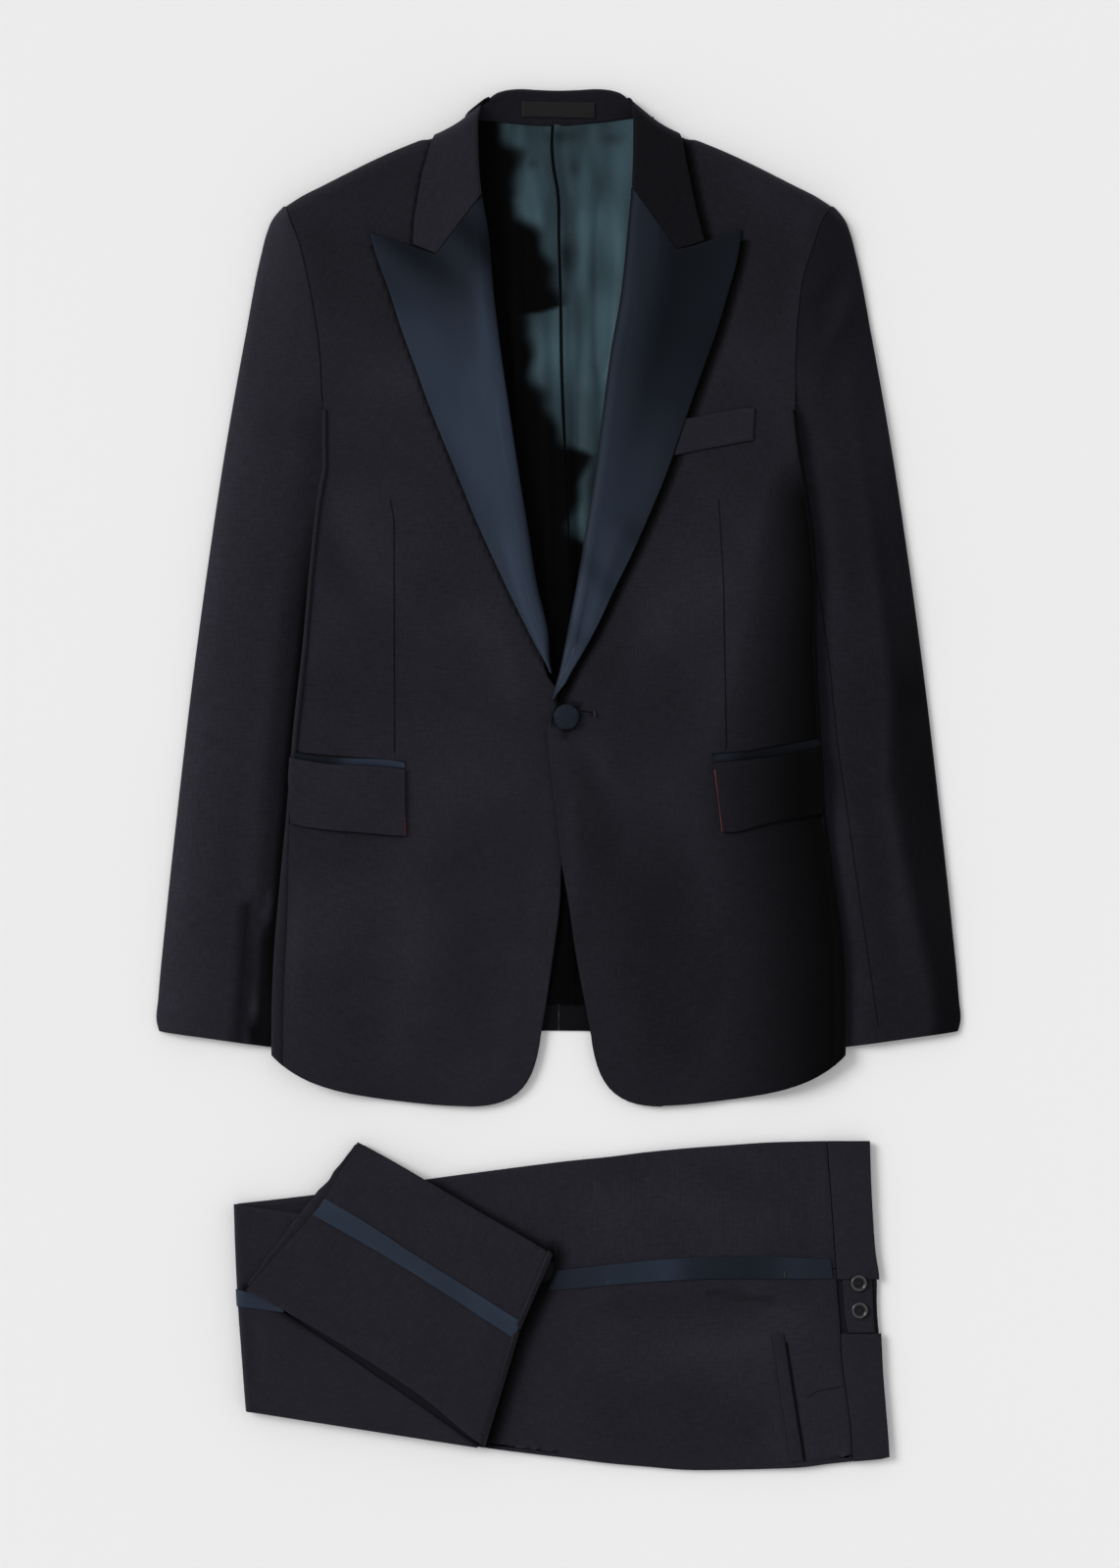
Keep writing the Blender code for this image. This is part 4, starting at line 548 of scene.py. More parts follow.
def sheet(name, outer, inner, thick, slot, side=1, held="laid", on=("floor",), hollow=None):
    """Cloth between two grids of points with rounded edges; it stands for the solid of its name.

    Its painted shade runs from 0, which leaves the cloth's colour, to 1, which paints it darkest.
    """
    if callable(hollow):
        hollow = hollow(outer[..., 0], outer[..., 1])
    hollow = np.broadcast_to(RESTING_PAINTED_SHADE.get(slot, 0.0) if hollow is None else hollow, outer.shape[:2])
    inset = EDGE_INSET * thick
    hollow = edged(np.concatenate([outer, hollow[..., None]], -1), inset)[..., 3].reshape(-1)
    outer, inner = edged(outer, inset), edged(inner, inset)
    count, rim, quads = numbered(outer)
    u = np.concatenate(([0], np.cumsum(np.linalg.norm(np.diff(outer, axis=1), axis=-1).mean(0))))
    v = np.concatenate(([0], np.cumsum(np.linalg.norm(np.diff(outer, axis=0), axis=-1).mean(1))))
    uv = np.stack(np.broadcast_arrays(u[None], v[:, None]), -1).reshape(-1, 2) * MM
    outer, inner = outer.reshape(-1, 3).copy(), inner.reshape(-1, 3).copy()
    through = inner[rim] - outer[rim]
    middle = outer[rim] + through / 2
    outer[rim] += EDGE_ROUNDING * through
    inner[rim] -= EDGE_ROUNDING * through
    points = placed(np.concatenate([outer, inner, middle]), side)
    ring = 2 * count + np.arange(len(rim))
    faces = np.concatenate([quads, quads[:, ::-1] + count, ring_faces(rim, ring),
                            ring_faces(ring, rim + count)])
    # Painted shade along the rims, where shade falls between pieces.
    hollow[rim] = np.maximum(hollow[rim], EDGE_PAINTED_SHADE)
    hollow = np.concatenate([hollow, hollow, hollow[rim]])
    uv = np.concatenate([uv, uv, uv[rim]])
    thing = mesh_piece(name + "_cloth", points, faces, slot, uv, hollow)
    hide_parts(name)
    return thing


def wall(name, grid, thick, slot, side=1, floor=0.0, **facts):
    """Cloth whose face is the grid; its back stays above floor."""
    inner = grid - normals(grid) * thick
    inner[..., 2] = np.maximum(inner[..., 2], np.minimum(floor, grid[..., 2] - LEAST_WALL))
    return sheet(name, grid, inner, thick, slot, side, **facts)


def slab(name, grid, thick, slot, side=1, **facts):
    """Cloth of one thickness straight down, where it rests flat."""
    return sheet(name, grid, grid - np.array([0, 0, thick]), thick, slot, side, **facts)


def on_top(name, grid, gap, thick, slot, side=1, **facts):
    """Cloth that lies on a panel: the panel's points moved out along their normals."""
    normal = normals(grid)
    outer, inner = grid + normal * (gap + thick), grid + normal * gap
    return sheet(name, outer, inner, thick, slot, side, **facts)


# ---------------------------------------------------------------- how the jacket lies
def bed(across, down, wearer):
    """Height of what lies under the body: the floor, and near the sides the sleeves."""
    edge = read(SIDE, wearer, down)
    hidden = HIDDEN_SLEEVE * ease((down - ARMPIT_DOWN) / 60)
    over_sleeve = ease((across - (edge - hidden - 38)) / 30) * ease((down - 248) / 34)
    return (SLEEVE_UNDER_BODY + SEAM) * over_sleeve


def shoulder_setback(across):
    """The front's shoulder edge lies inside the collar's outline under the collar."""
    return 2.4 * (1 - ease((across - 104) / 10))


def rounded(distance, reach):
    """Share of full height at a distance in from a rolled edge."""
    near = 1 - np.clip(distance / reach, 0, 1)
    return np.sqrt(1 - near * near)


def body_creases(across, down, wearer):
    """Folds of a front, which fade at its side, at the shoulder and where the fronts overlap."""
    from_side = read(SIDE, wearer, down) - across
    from_middle = across - read(EDGE, wearer, down)
    calm = ease(from_side / 16) * ease((down - 30) / 50)
    if wearer == "right":
        calm = calm * (1 - (1 - ease((from_middle - 14) / 22)) * ease((down - 400) / 50))
    return creases("front_" + wearer, across, down) * calm


def even_level(across, down, wearer):
    """Height of a front without its folds: low along the middle, higher at the armhole."""
    middle, armhole = read(LEVEL, "middle", down), read(LEVEL, "armhole", down)
    return middle + (armhole - middle) * ease((across - (read(SIDE, wearer, down) - 100)) / 60)


def past_shoulder(across, down, setback=0.0):
    """Distance in from the shoulder line."""
    return (down - read(SHOULDER, "down", across) - setback) * SHOULDER_SLANT


def front_height(across, down, wearer):
    """Top of the front panels."""
    past = past_shoulder(across, down, shoulder_setback(across))
    level = even_level(across, down, wearer) + body_creases(across, down, wearer)
    height = FRONT_LOW + (level - FRONT_LOW) * rounded(past, SHOULDER_ROLL)
    if wearer == "left":
        height = height + overlap_rise(across, down)
    return height


def overlap_rise(across, down):
    """The left front's rise where it lies on the right one."""
    window = ease((down - 450) / 25) * (1 - ease((down - 640) / 50))
    return OVERLAP_RISE * (1 - ease((across - 16) / 44)) * window


def skin(across, down, wearer):
    """Outer face of the body with the upper half of the side's roll."""
    edge = read(SIDE, wearer, down)
    height = front_height(across, down, wearer)
    half = (SIDE_LEVEL - SLEEVE_UNDER_BODY - SEAM) / 2
    return height - half * (1 - rounded(edge - across, SIDE_ROLL)) * (down > ARMPIT_DOWN)


def turned_lift(across, down, wearer):
    """Soft roll of lapel and collar above the front, highest at the fold."""
    from_fold = across - read(EDGE, wearer, down)
    roll = LAPEL_LIFT * (1 - ease(from_fold / 45)) * (1 - 0.7 * ease((down - 400) / 80))
    return roll + 0.3 + 0.5 * ease((down - 380) / 50)


def turned_height(across, down, wearer):
    """Top of lapel and collar leaf, which lie on the front with a soft roll at the fold."""
    level = even_level(across, down, wearer)
    if wearer == "left":
        level = level + overlap_rise(across, down)
    level = level + body_creases(across, down, wearer)
    level = level + SEAM + LAPEL_CLOTH + turned_lift(across, down, wearer)
    return TURNED_LOW + (level - TURNED_LOW) * rounded(past_shoulder(across, down), SHOULDER_ROLL)


def sleeve_height(across, down, wearer):
    """Top of a sleeve: joined to the front at the armhole, pressed where the body lies on it."""
    edge = read(SIDE, wearer, down)
    outer = read(SLEEVE_OUTER, "across", down)
    out = across - edge
    free = SLEEVE_HEIGHT * (1 - 0.12 * ease((down - 500) / 280))
    pressed = SLEEVE_DIP + (free - SLEEVE_DIP) * ease((out - 1) / 26)
    head = read(LEVEL, "armhole", down) - 0.4
    joined = free + (head - free) * (1 - ease(out / 46))
    height = joined + (pressed - joined) * ease((down - 238) / 50)
    height = height + creases("sleeve_" + wearer, across, down) * ease((out - 3) / 12)
    height = SLEEVE_LOW + (height - SLEEVE_LOW) * rounded(outer - across, SLEEVE_ROLL)
    inner = edge + SEAM - HIDDEN_SLEEVE * ease((down - ARMPIT_DOWN) / 60)
    tucked = ease((down - 286) / 26)
    height = height - (height - SLEEVE_LOW) * (1 - rounded(across - inner, 6.0)) * tucked
    at_shoulder = rounded(past_shoulder(across, down) + 0.8, SHOULDER_ROLL)
    return SLEEVE_LOW + (height - SLEEVE_LOW) * at_shoulder


def side_seam(down, wearer):
    """Seam between front and side panel, and above the armpit the armhole seam."""
    inset = 0.15 + 1.25 * ease((down - 246) / 16) + 8.2 * ease((down - 556) / 150)
    return read(SIDE, wearer, down) - inset


def side_stations(end):
    """Sections below the armpit, down to a hem at end."""
    first, last = SIDE_STATIONS[0], SIDE_STATIONS[-1]
    return first + (np.array(SIDE_STATIONS, float) - first) * (end - first) / (last - first)


def seam_hem(wearer):
    """Where the side seam meets the front's hem: (across, down)."""
    across = side_seam(789.0, wearer)
    return across, float(read(HEM, "down", across))


# ---------------------------------------------------------------- jacket pieces
def front_panel(wearer, side):
    """Front: shoulder, armhole, side seam, hem, rounded front corner and front edge."""
    downs = dense([24, 45, 85, 118, 165, 217, 270, 322, 362, 407, 440, 460, 477, 488, 499, 510, 521,
                   550, 590, 636, 680, 730, CUTAWAY_DOWN], 5)
    setback = FRONT_SETBACK * (1 - ease((downs - LAPEL_TAIL[wearer]) / 22))
    edge = pair(read(EDGE, wearer, downs) + setback, downs)
    edge = np.concatenate([edge, edge[-1] + bezier(CUTAWAY, 40)[1:]])
    across = np.linspace(edge[0][0], 222.0, 60)
    shoulder = pair(across, read(SHOULDER, "down", across) + shoulder_setback(across))
    edge[0] = shoulder[0]
    stations = side_stations(seam_hem(wearer)[1])
    seam = dense(np.concatenate([ARMHOLE_STATIONS, stations]), 9)
    seam = pair(side_seam(seam, wearer), seam)
    seam[0] = shoulder[-1]
    hem_across = dense(np.concatenate([[edge[-1][0]], HEM["across"][1:7], [seam[-1][0]]]), 8)
    hem = pair(hem_across, read(HEM, "down", hem_across))
    hem[0] = edge[-1]
    columns = dense([0, 0.09, 0.2, 0.34, 0.48, 0.62, 0.76, 0.88, 0.97, 1.0], 7)
    plan = patch(along(shoulder, columns), along(hem, columns), straight(edge, lengths(seam)), seam)
    grid = raised(plan, front_height, wearer)
    return wall("front_" + wearer, grid, WOOL, "wool", side, floor=WOOL + SEAM,
                on=["back_%s_cloth" % wearer],
                hollow=front_hollow(grid[..., 0], grid[..., 1], wearer))


def front_hollow(across, down, wearer):
    """Painted shade of a front: a painted shadow beside the turned lapel and collar, more near the
    top and in the folds' troughs, less on their ridges; on the left front also more towards the
    hem, a painted shadow along the side and a painted shadow round the button.
    """
    spot = GORGE[wearer]
    leaf = np.array([spot["leaf_top"], *spot["leaf_edge"], spot["leaf"]])
    turned_edge = np.where(down < spot["leaf"][1], np.interp(down, leaf[:, 1], leaf[:, 0]),
                           read(LAPEL_OUTER, wearer, down))
    clear, reach, depth = BESIDE_LAPEL[wearer]
    # Painted shadow beside the outer edge of lapel and collar leaf.
    beside = depth * (1 - ease((across - turned_edge - clear) / reach))
    beside = beside * (1 - ease((down - LAPEL_TAIL[wearer] - 4) / 12))
    level = FRONT_PAINTED_SHADE[wearer] + 0.12 * (1 - ease((down - 90) / 120))
    level = level - TROUGH_PAINTED_SHADE * body_creases(across, down, wearer)
    if wearer == "left":
        level = level + 0.11 * ease((down - 560) / 130)
        # Painted shadow along the left front's side, widening downwards.
        from_side = read(SIDE, "left", down) - across
        width = np.interp(down, *SIDE_SHADE["width"])
        side_shadow = np.interp(from_side / width, *SIDE_SHADE["depth"])
        level = np.maximum(level, side_shadow * ease((down - 262) / 80))
        # Painted shadow round the button.
        from_button = np.hypot(across - BUTTON["across"], down - BUTTON["down"]) - BUTTON["radius"]
        level = np.maximum(level, 1 - ease((from_button - 0.6) / 2.8))
    return np.clip(np.maximum(beside, level), 0, 1)


def side_panel(wearer, side):
    """Side panel: from under the front's seam round the side's fold to the back's seam."""
    turn = np.radians(np.linspace(90, -90, 13))
    rows = []
    seam_downs = dense(side_stations(seam_hem(wearer)[1]), 6)
    for seam_down, down in zip(seam_downs, dense(side_stations(SIDE_HEM), 6)):
        edge = read(SIDE, wearer, down)
        top = front_height(edge - SIDE_ROLL, down, wearer)
        low = bed(edge - SIDE_ROLL, down, wearer)
        middle, half = (top + low) / 2, (top - low) / 2
        seam = side_seam(seam_down, wearer)
        row = [(seam - 5, seam_down - 0.4, front_height(seam - 5, seam_down, wearer) - WOOL - SEAM),
               (seam - 0.3, seam_down - 0.2, front_height(seam, seam_down, wearer) - WOOL),
               (seam + 0.2, seam_down, front_height(seam, seam_down, wearer) - 0.15)]
        for angle in turn:
            across = edge - SIDE_ROLL + SIDE_ROLL * np.cos(angle)
            lean = (1 - (across - seam) / (edge - seam)) * max(np.sin(angle), 0)
            row.append((across, down + (seam_down - down) * lean, middle + half * np.sin(angle)))
        for inward in (9.0, 15.0):
            row.append((edge - inward, down, bed(edge - inward, down, wearer)))
        rows.append(row)
    on = ["sleeve_top_%s_cloth" % wearer]
    # Painted shade of the side panels: the wearer's left one painted fully dark.
    return wall("side_panel_" + wearer, np.array(rows), WOOL, "wool", side, held="folded", on=on,
                hollow={"left": 1.0, "right": 0.34}[wearer])


def back_panel(wearer, side):
    """Back half: neckline, shoulder, armhole, side seam, hem and centre seam."""
    across = dense([66, 80, 96, 112, 140, 170, 200, 220.5], 4)
    shoulder = pair(across, read(SHOULDER, "down", across) + 3.4)
    top = np.concatenate([dense([(SEAM / 2, 30.6), (30, 29.8), (56, 27.4)], 3), shoulder])
    downs = dense(np.concatenate([ARMHOLE_STATIONS, side_stations(SIDE_HEM)]), 3)
    inset = 1.2 + (15.0 + SEAM - 1.2) * ease((downs - 252) / 18)
    edge = pair(read(SIDE, wearer, downs) - inset, downs)
    edge[0] = shoulder[-1]
    columns = dense([0, 0.25, 0.5, 0.64, 0.7, 0.76, 0.82, 0.88, 0.94, 1.0], 3)
    hem_across = SEAM / 2 + (edge[-1][0] - SEAM / 2) * columns
    hem = pair(hem_across, BACK_HEM + (SIDE_HEM - BACK_HEM) * columns ** 2)
    middle = pair(np.full(len(downs), SEAM / 2), 30.6 + (BACK_HEM - 30.6) * lengths(edge))
    plan = patch(straight(top, columns), hem, middle, edge)
    grid = raised(plan, lambda x, d: bed(x, d, wearer) + WOOL)
    # Painted shadow on the back's lower middle, between the fronts.
    hem_shadow = 0.84 * (1 - ease((grid[..., 0] - 60) / 30)) * ease((grid[..., 1] - 700) / 30)
    hollow = np.maximum(hem_shadow, RESTING_PAINTED_SHADE["wool"])
    return slab("back_" + wearer, grid, WOOL, "wool", side, hollow=hollow)


def lining_half(wearer, side):
    """Back lining: its left half laps the right along the centre pleat; its hem is turned up."""
    downs = dense(np.concatenate([np.linspace(30.6, 402, 14), np.linspace(460, LINING_HEM, 6)]), 12)
    pleat = pair(side * read(PLEAT, "across", downs) + SEAM / 2, downs)
    outer = pair(np.full(len(downs), LINING_HALF), downs)
    columns = dense([0, 0.03, 0.1, 0.25, 0.42, 0.6, 0.8, 1.0], 8)
    top = along((pleat[0], outer[0]), columns)
    top[:, 1] = read(STAND_SEAM, "down", side * top[:, 0]) - 1.0
    plan = patch(top, along((pleat[-1], outer[-1]), columns), pleat, outer)
    across, down = plan[..., 0] * side, plan[..., 1]
    fold = 2.4 if side > 0 else 0.5
    hem_roll = 1.2 * np.exp(-((LINING_HEM - 9 - downs) / 5.0) ** 2)[:, None]
    folds = np.maximum(creases("lining", across, down), -0.5) * (1 - ease((down - 560) / 60))
    from_pleat = columns * LINING_HALF
    height = WOOL + SEAM + LINING + 0.5 + fold * (1 - ease(from_pleat / 9)) + hem_roll
    grid = raised(plan, height + folds * ease(from_pleat / 14))
    return wall("lining_" + wearer, grid, LINING, "lining", side, floor=WOOL + SEAM,
                on=["back_%s_cloth" % wearer], hollow=lining_hollow(across, down))


def lining_hollow(across, down):
    """Painted shadow of the jacket over the lining towards one side, painted shade in clouds and
    beside its pleat.
    """
    lit_from = np.interp(down, LIT_FROM["down"], LIT_FROM["across"])
    lit_from += 3 * np.sin(down / 12.0 + across / 9) + 2 * np.sin(down / 5.3 + across / 14)
    hollow = 1 - ease((across - lit_from + 10) / 19) ** 1.7
    for x, d, wide, long, depth in PAINTED_SHADE_CLOUDS:
        cloud = np.exp(-((across - x) / wide) ** 2 - ((down - d) / long) ** 2)
        hollow = np.maximum(hollow, depth * cloud)
    beside_pleat = np.abs(across - read(PLEAT, "across", down) + 0.4)
    return np.maximum(hollow, 1 - ease((beside_pleat - 0.5) / 1.8))


def sleeve(wearer, side):
    """Two-piece sleeve: the top sleeve arches over the flat under sleeve."""
    end = CUFF["down"]
    downs = dense(np.concatenate([ARMHOLE_STATIONS, SLEEVE_STATIONS, [end]]), 8)
    columns = dense([0, 0.012, 0.04, 0.09, 0.2, 0.36, 0.52, 0.68, 0.8, 0.88, 0.94, 0.975, 0.993,
                     1.0], 4)
    seam = np.where(downs < 250, side_seam(downs, wearer) + 0.15, read(SIDE, wearer, downs))
    inner = seam + SEAM / 3 - HIDDEN_SLEEVE * ease((downs - 248) / 90)
    outer = read(SLEEVE_OUTER, "across", downs)
    across = inner[:, None] + columns * (outer - inner)[:, None]
    level = np.broadcast_to(downs[:, None], across.shape)
    slant = CUFF["slope"] * (CUFF["across"] - across) * ease((level - 560) / (end - 560))
    plan = pair(across, level + slant)
    top = wall("sleeve_top_" + wearer, raised(plan, sleeve_height(across, level, wearer)),
               SLEEVE_CLOTH, "wool", side, floor=UNDER_SLEEVE + SEAM,
               on=["sleeve_under_%s_cloth" % wearer],
               hollow=sleeve_hollow(across, level, plan[..., 1], wearer))
    under = plan[8:][:, ::6]
    slab("sleeve_under_" + wearer, raised(under, UNDER_SLEEVE), UNDER_SLEEVE, "wool", side)
    return top


def sleeve_hollow(across, level, down, wearer):
    """Painted shade of a sleeve beside the body, at the armhole seam and in the folds' troughs; on
    the right sleeve also behind its vent, with a painted lit line along the vent's edge, and on the
    left one away from the body, at its top and along its outer edge. level is the place down before
    the cuff's slant.
    """
    out = across - read(SIDE, wearer, level)
    from_outer = read(SLEEVE_OUTER, "across", level) - across
    if wearer == "right":
        # Right sleeve: painted shadow beside the body, behind the vent and beside its fold, and a
        # painted lit line along the vent's edge.
        beside = np.maximum(1 - ease((out - 2.5) / 11), 0.6 * (1 - ease((out - 4) / 40)))
        shaded = np.maximum(0.26 * ease((from_outer - 8) / 44), beside * ease((level - 270) / 170))
        vent_shadow = across < np.interp(down, *np.array(VENT).T[::-1])
        shaded = np.maximum(shaded, 0.92 * vent_shadow * ease((down - 630) / 60))
        shaded = np.maximum(shaded, 0.74 * near_line(VENT_FOLD, across, down, 15))
        shaded = shaded * (1 - near_line(VENT, across, down, 1.5))
    else:
        # Left sleeve: painted shade away from the body, at the top and in a band along the outer
        # edge.
        shaded = 0.36 + 0.16 * ease(out / 24)
        shaded = np.maximum(shaded, 0.64 * (1 - ease((level - 190) / 150)))
        depth = 0.62 + 0.25 * ease((level - 260) / 240)
        band = np.interp(level, *OUTER_SHADE)
        shaded = np.maximum(shaded, depth * (1 - ease((from_outer - band + 23) / 27)))
    # Painted shade along the armhole seam.
    armhole = 0.85 * (1 - ease(out / 2.0)) * (1 - ease((level - 240) / 30))
    folds = creases("sleeve_" + wearer, across, level)
    return np.clip(np.maximum(shaded, armhole) - 0.4 * TROUGH_PAINTED_SHADE * folds, 0, 1)


def lapel(wearer, side):
    """Satin lapel: facing lip behind the front, bend at the roll line, peaked leaf on the front."""
    spot, tail = GORGE[wearer], LAPEL_TAIL[wearer]
    start = spot["roll"][1]
    downs = dense(np.concatenate([[start + 2 * SEAM], np.linspace(start + 12, tail, 14)]), 6)
    roll = pair(read(EDGE, wearer, downs), downs)
    start = spot["peak"][1]
    outer_downs = dense(np.concatenate([[start + 2.4], np.linspace(start + 16, tail, 14)]), 6)
    outer = pair(read(LAPEL_OUTER, wearer, outer_downs), outer_downs)
    taper = 0.6 * ease((outer_downs - tail + 16) / 16) * (wearer == "left")
    outer[:, 0] -= taper * (outer[:, 0] - read(EDGE, wearer, outer_downs))
    gorge_corners = (spot["end"], *spot["lapel_edge"], spot["peak"])
    gorge_corners = [np.array(corner) + (0, SEAM) for corner in gorge_corners]
    gorge = straight([roll[0], gorge_corners[0]], (0, 0.25, 0.6))
    tail_edge = straight([roll[-1], outer[-1]], dense(LAPEL_TAIL_COLUMNS, 6))
    plan = patch(dense([*gorge, *gorge_corners], 6), tail_edge, roll, outer)
    turn = np.radians(np.linspace(-90, 90, 15))
    rows = []
    for row in plan:
        first, last = row[0][0], row[-1][0]
        reach = min(SOFT_BEND, 0.45 * (last - first))
        lip = min(SOFT_BEND + FACING_LIP, 0.8 * (last - first))
        bend_z = turned_height(first + reach, row[0][1], wearer)
        lift = turned_lift(first, row[0][1], wearer)
        low_z = bend_z - lift - 2 * (SEAM + LAPEL_CLOTH) - WOOL - SEAM
        middle, half = (bend_z + low_z) / 2, (bend_z - low_z) / 2
        across = np.concatenate([[first + lip], first + reach * (1 - np.cos(turn))])
        down = np.interp(across, row[:, 0], row[:, 1])
        height = np.concatenate([[low_z], middle + half * np.sin(turn)])
        bend = np.stack([across, down, height], -1)
        flat = row[row[:, 0] > first + reach + 0.4]
        flat = np.concatenate([[(across[-1], down[-1])], flat])
        flat = straight(flat, shares(len(row) + 1)[1:])
        rows.append(np.concatenate([bend, raised(flat[None], turned_height, wearer)[0]]))
    grid = np.array(rows)
    return wall("lapel_" + wearer, grid, LAPEL_CLOTH, "satin", side, held="folded",
                on=["front_%s_cloth" % wearer],
                hollow=lapel_hollow(grid[..., 0], grid[..., 1], wearer))


def lapel_hollow(across, down, wearer):
    """Painted shade on the satin: darker towards the peak, on the left lapel towards its outer edge
    and along its roll, on the right lapel behind its roll lower down; with a painted highlight
    along the right lapel's roll and painted sheen in bands and patches.
    """
    from_roll = across - read(EDGE, wearer, down)
    if wearer == "right":
        # Painted highlight along the roll and painted sheen bands near the peak.
        lit_roll = 0.3 * np.exp(-((from_roll - 11) / 8) ** 2) * ease((down - 140) / 30)
        sheen_bands = 0.12 * np.sin((down + 0.9 * across) / 9.0) * (1 - ease((down - 130) / 60))
        depth = 0.62 * (1 - ease((down - 130) / 110)) + 0.1 + sheen_bands
        behind_roll = 0.5 * (1 - ease(from_roll / 6)) * ease((down - 280) / 120)
        return np.clip(depth - lit_roll + behind_roll, 0, 1)
    share = from_roll / np.maximum(read(LAPEL_OUTER, wearer, down) - read(EDGE, wearer, down), 1)
    depth = (0.5 + 0.36 * ease((share - 0.05) / 0.45)) * (1 - ease((down - 190) / 300))
    depth = np.maximum(depth, 0.5 * ease(share / 0.9) * (1 - ease((down - 350) / 110)))
    patches = 0.22 * np.sin((down - 1.1 * across) / 11.0) * ease((down - 330) / 60)
    return np.clip(depth + np.maximum(patches, 0) + 0.35 * (1 - ease(from_roll / 4)), 0, 1)


def collar_leaf(wearer, side):
    """Collar leaf over the shoulder, from the fold to its outer edge and the gorge seam."""
    spot = GORGE[wearer]
    across = np.linspace(56.0, spot["leaf_top"][0], 40)
    outline = pair(across, read(SHOULDER, "down", across) + 0.2)
    if wearer == "right":
        outline[:, 1] += 1.3 * (1 - ease((across - 62) / 14))
    downs = dense([outline[0][1], 9, 13, 19, 27, 38, 52, 68, spot["roll"][1]], 6)
    fold = pair(np.minimum(read(EDGE, wearer, downs), 66), downs)
    fold[0] = outline[0]
    edge = straight([outline[-1], *spot["leaf_edge"], spot["leaf"]], lengths(fold))
    gorge = straight([fold[-1], np.array(spot["end"])], dense((0, 0.04, 0.11, 0.3, 0.6, 1.0), 4))
    gorge = np.concatenate([gorge, straight([gorge[-1], spot["leaf"]], shares(9)[1:])])
    plan = patch(along(outline, lengths(gorge)), gorge, fold, edge)
    grid = raised(plan, turned_height, wearer)
    bend = rounded(grid[..., 0] - grid[:, :1, 0], 3.6)
    grid[..., 2] -= 3.0 * (1 - bend) * ease((grid[..., 2] - 4) / 9)
    # Painted shade of the collar leaves, darker on the wearer's left.
    return wall("collar_leaf_" + wearer, grid, LAPEL_CLOTH, "wool", side, floor=2.0, held="folded",
                on=["front_%s_cloth" % wearer], hollow={"left": 0.78, "right": 0.26}[wearer])


def stand_height(across, down):
    """Face of the collar stand, sloping from the fold to the neck seam."""
    fold, seam = read(COLLAR_FOLD, "down", across), read(STAND_SEAM, "down", across)
    share = np.clip((down - fold) / (seam - fold), 0, 1)
    return STAND_TOP + (STAND_FOOT - STAND_TOP) * share


def collar_back():
    """Back of the collar: stand facing up, fold at the top, fall behind it on the floor."""
    count = 45
    places, seam_across = np.linspace(-65, 65, count), np.linspace(-70, 70, count)
    fold, seam = read(COLLAR_FOLD, "down", places), read(STAND_SEAM, "down", seam_across) + 0.3
    under_leaf = ease((np.abs(places) - 50) / 6)
    fold = fold - 1.0 * ease((np.abs(places) - 16) / 18)
    fold = fold + (read(SHOULDER, "down", np.abs(places)) + 0.4 - fold) * under_leaf
    half, rows = (STAND_TOP - 0.4) / 2, []
    for share in (0, 0.1, 0.2, 0.3, 0.4, 0.5, 0.62, 0.75, 0.88):
        across = places + (seam_across - places) * (1 - share) ** 1.4
        down = seam + (fold + ROLL_BEND - seam) * share
        height = np.full(count, STAND_FOOT + (2 * half - STAND_FOOT) * share)
        rows.append(np.stack([across, down, height], -1))
    for angle in np.radians(np.linspace(90, -90, 15)):
        down = fold + ROLL_BEND * (1 - np.cos(angle))
        rows.append(np.stack([places, down, np.full(count, half + half * np.sin(angle))], -1))
    rows.append(np.stack([places, fold + FALL_DEPTH, np.zeros(count)], -1))
    # The collar's back gets painted shade.
    return wall("collar_back", np.array(rows), LAPEL_CLOTH, "wool", held="folded", hollow=0.58)


def neck_label():
    """Plain woven label on the stand."""
    left, right, top, bottom = (LABEL[key] for key in ("left", "right", "top", "bottom"))
    plan = patch(straight(((left, top - 0.6), (right, top + 0.6)), shares(25)),
                 straight(((left, bottom - 0.6), (right, bottom + 0.6)), shares(25)),
                 straight(((left, top - 0.6), (left, bottom - 0.6)), shares(9)),
                 straight(((right, top + 0.6), (right, bottom + 0.6)), shares(9)))
    # The label gets painted shade.
    return on_top("neck_label", raised(plan, stand_height), SEAM + 0.3, LABEL["thick"], "label",
                  on=["collar_back_cloth"], hollow=0.8)


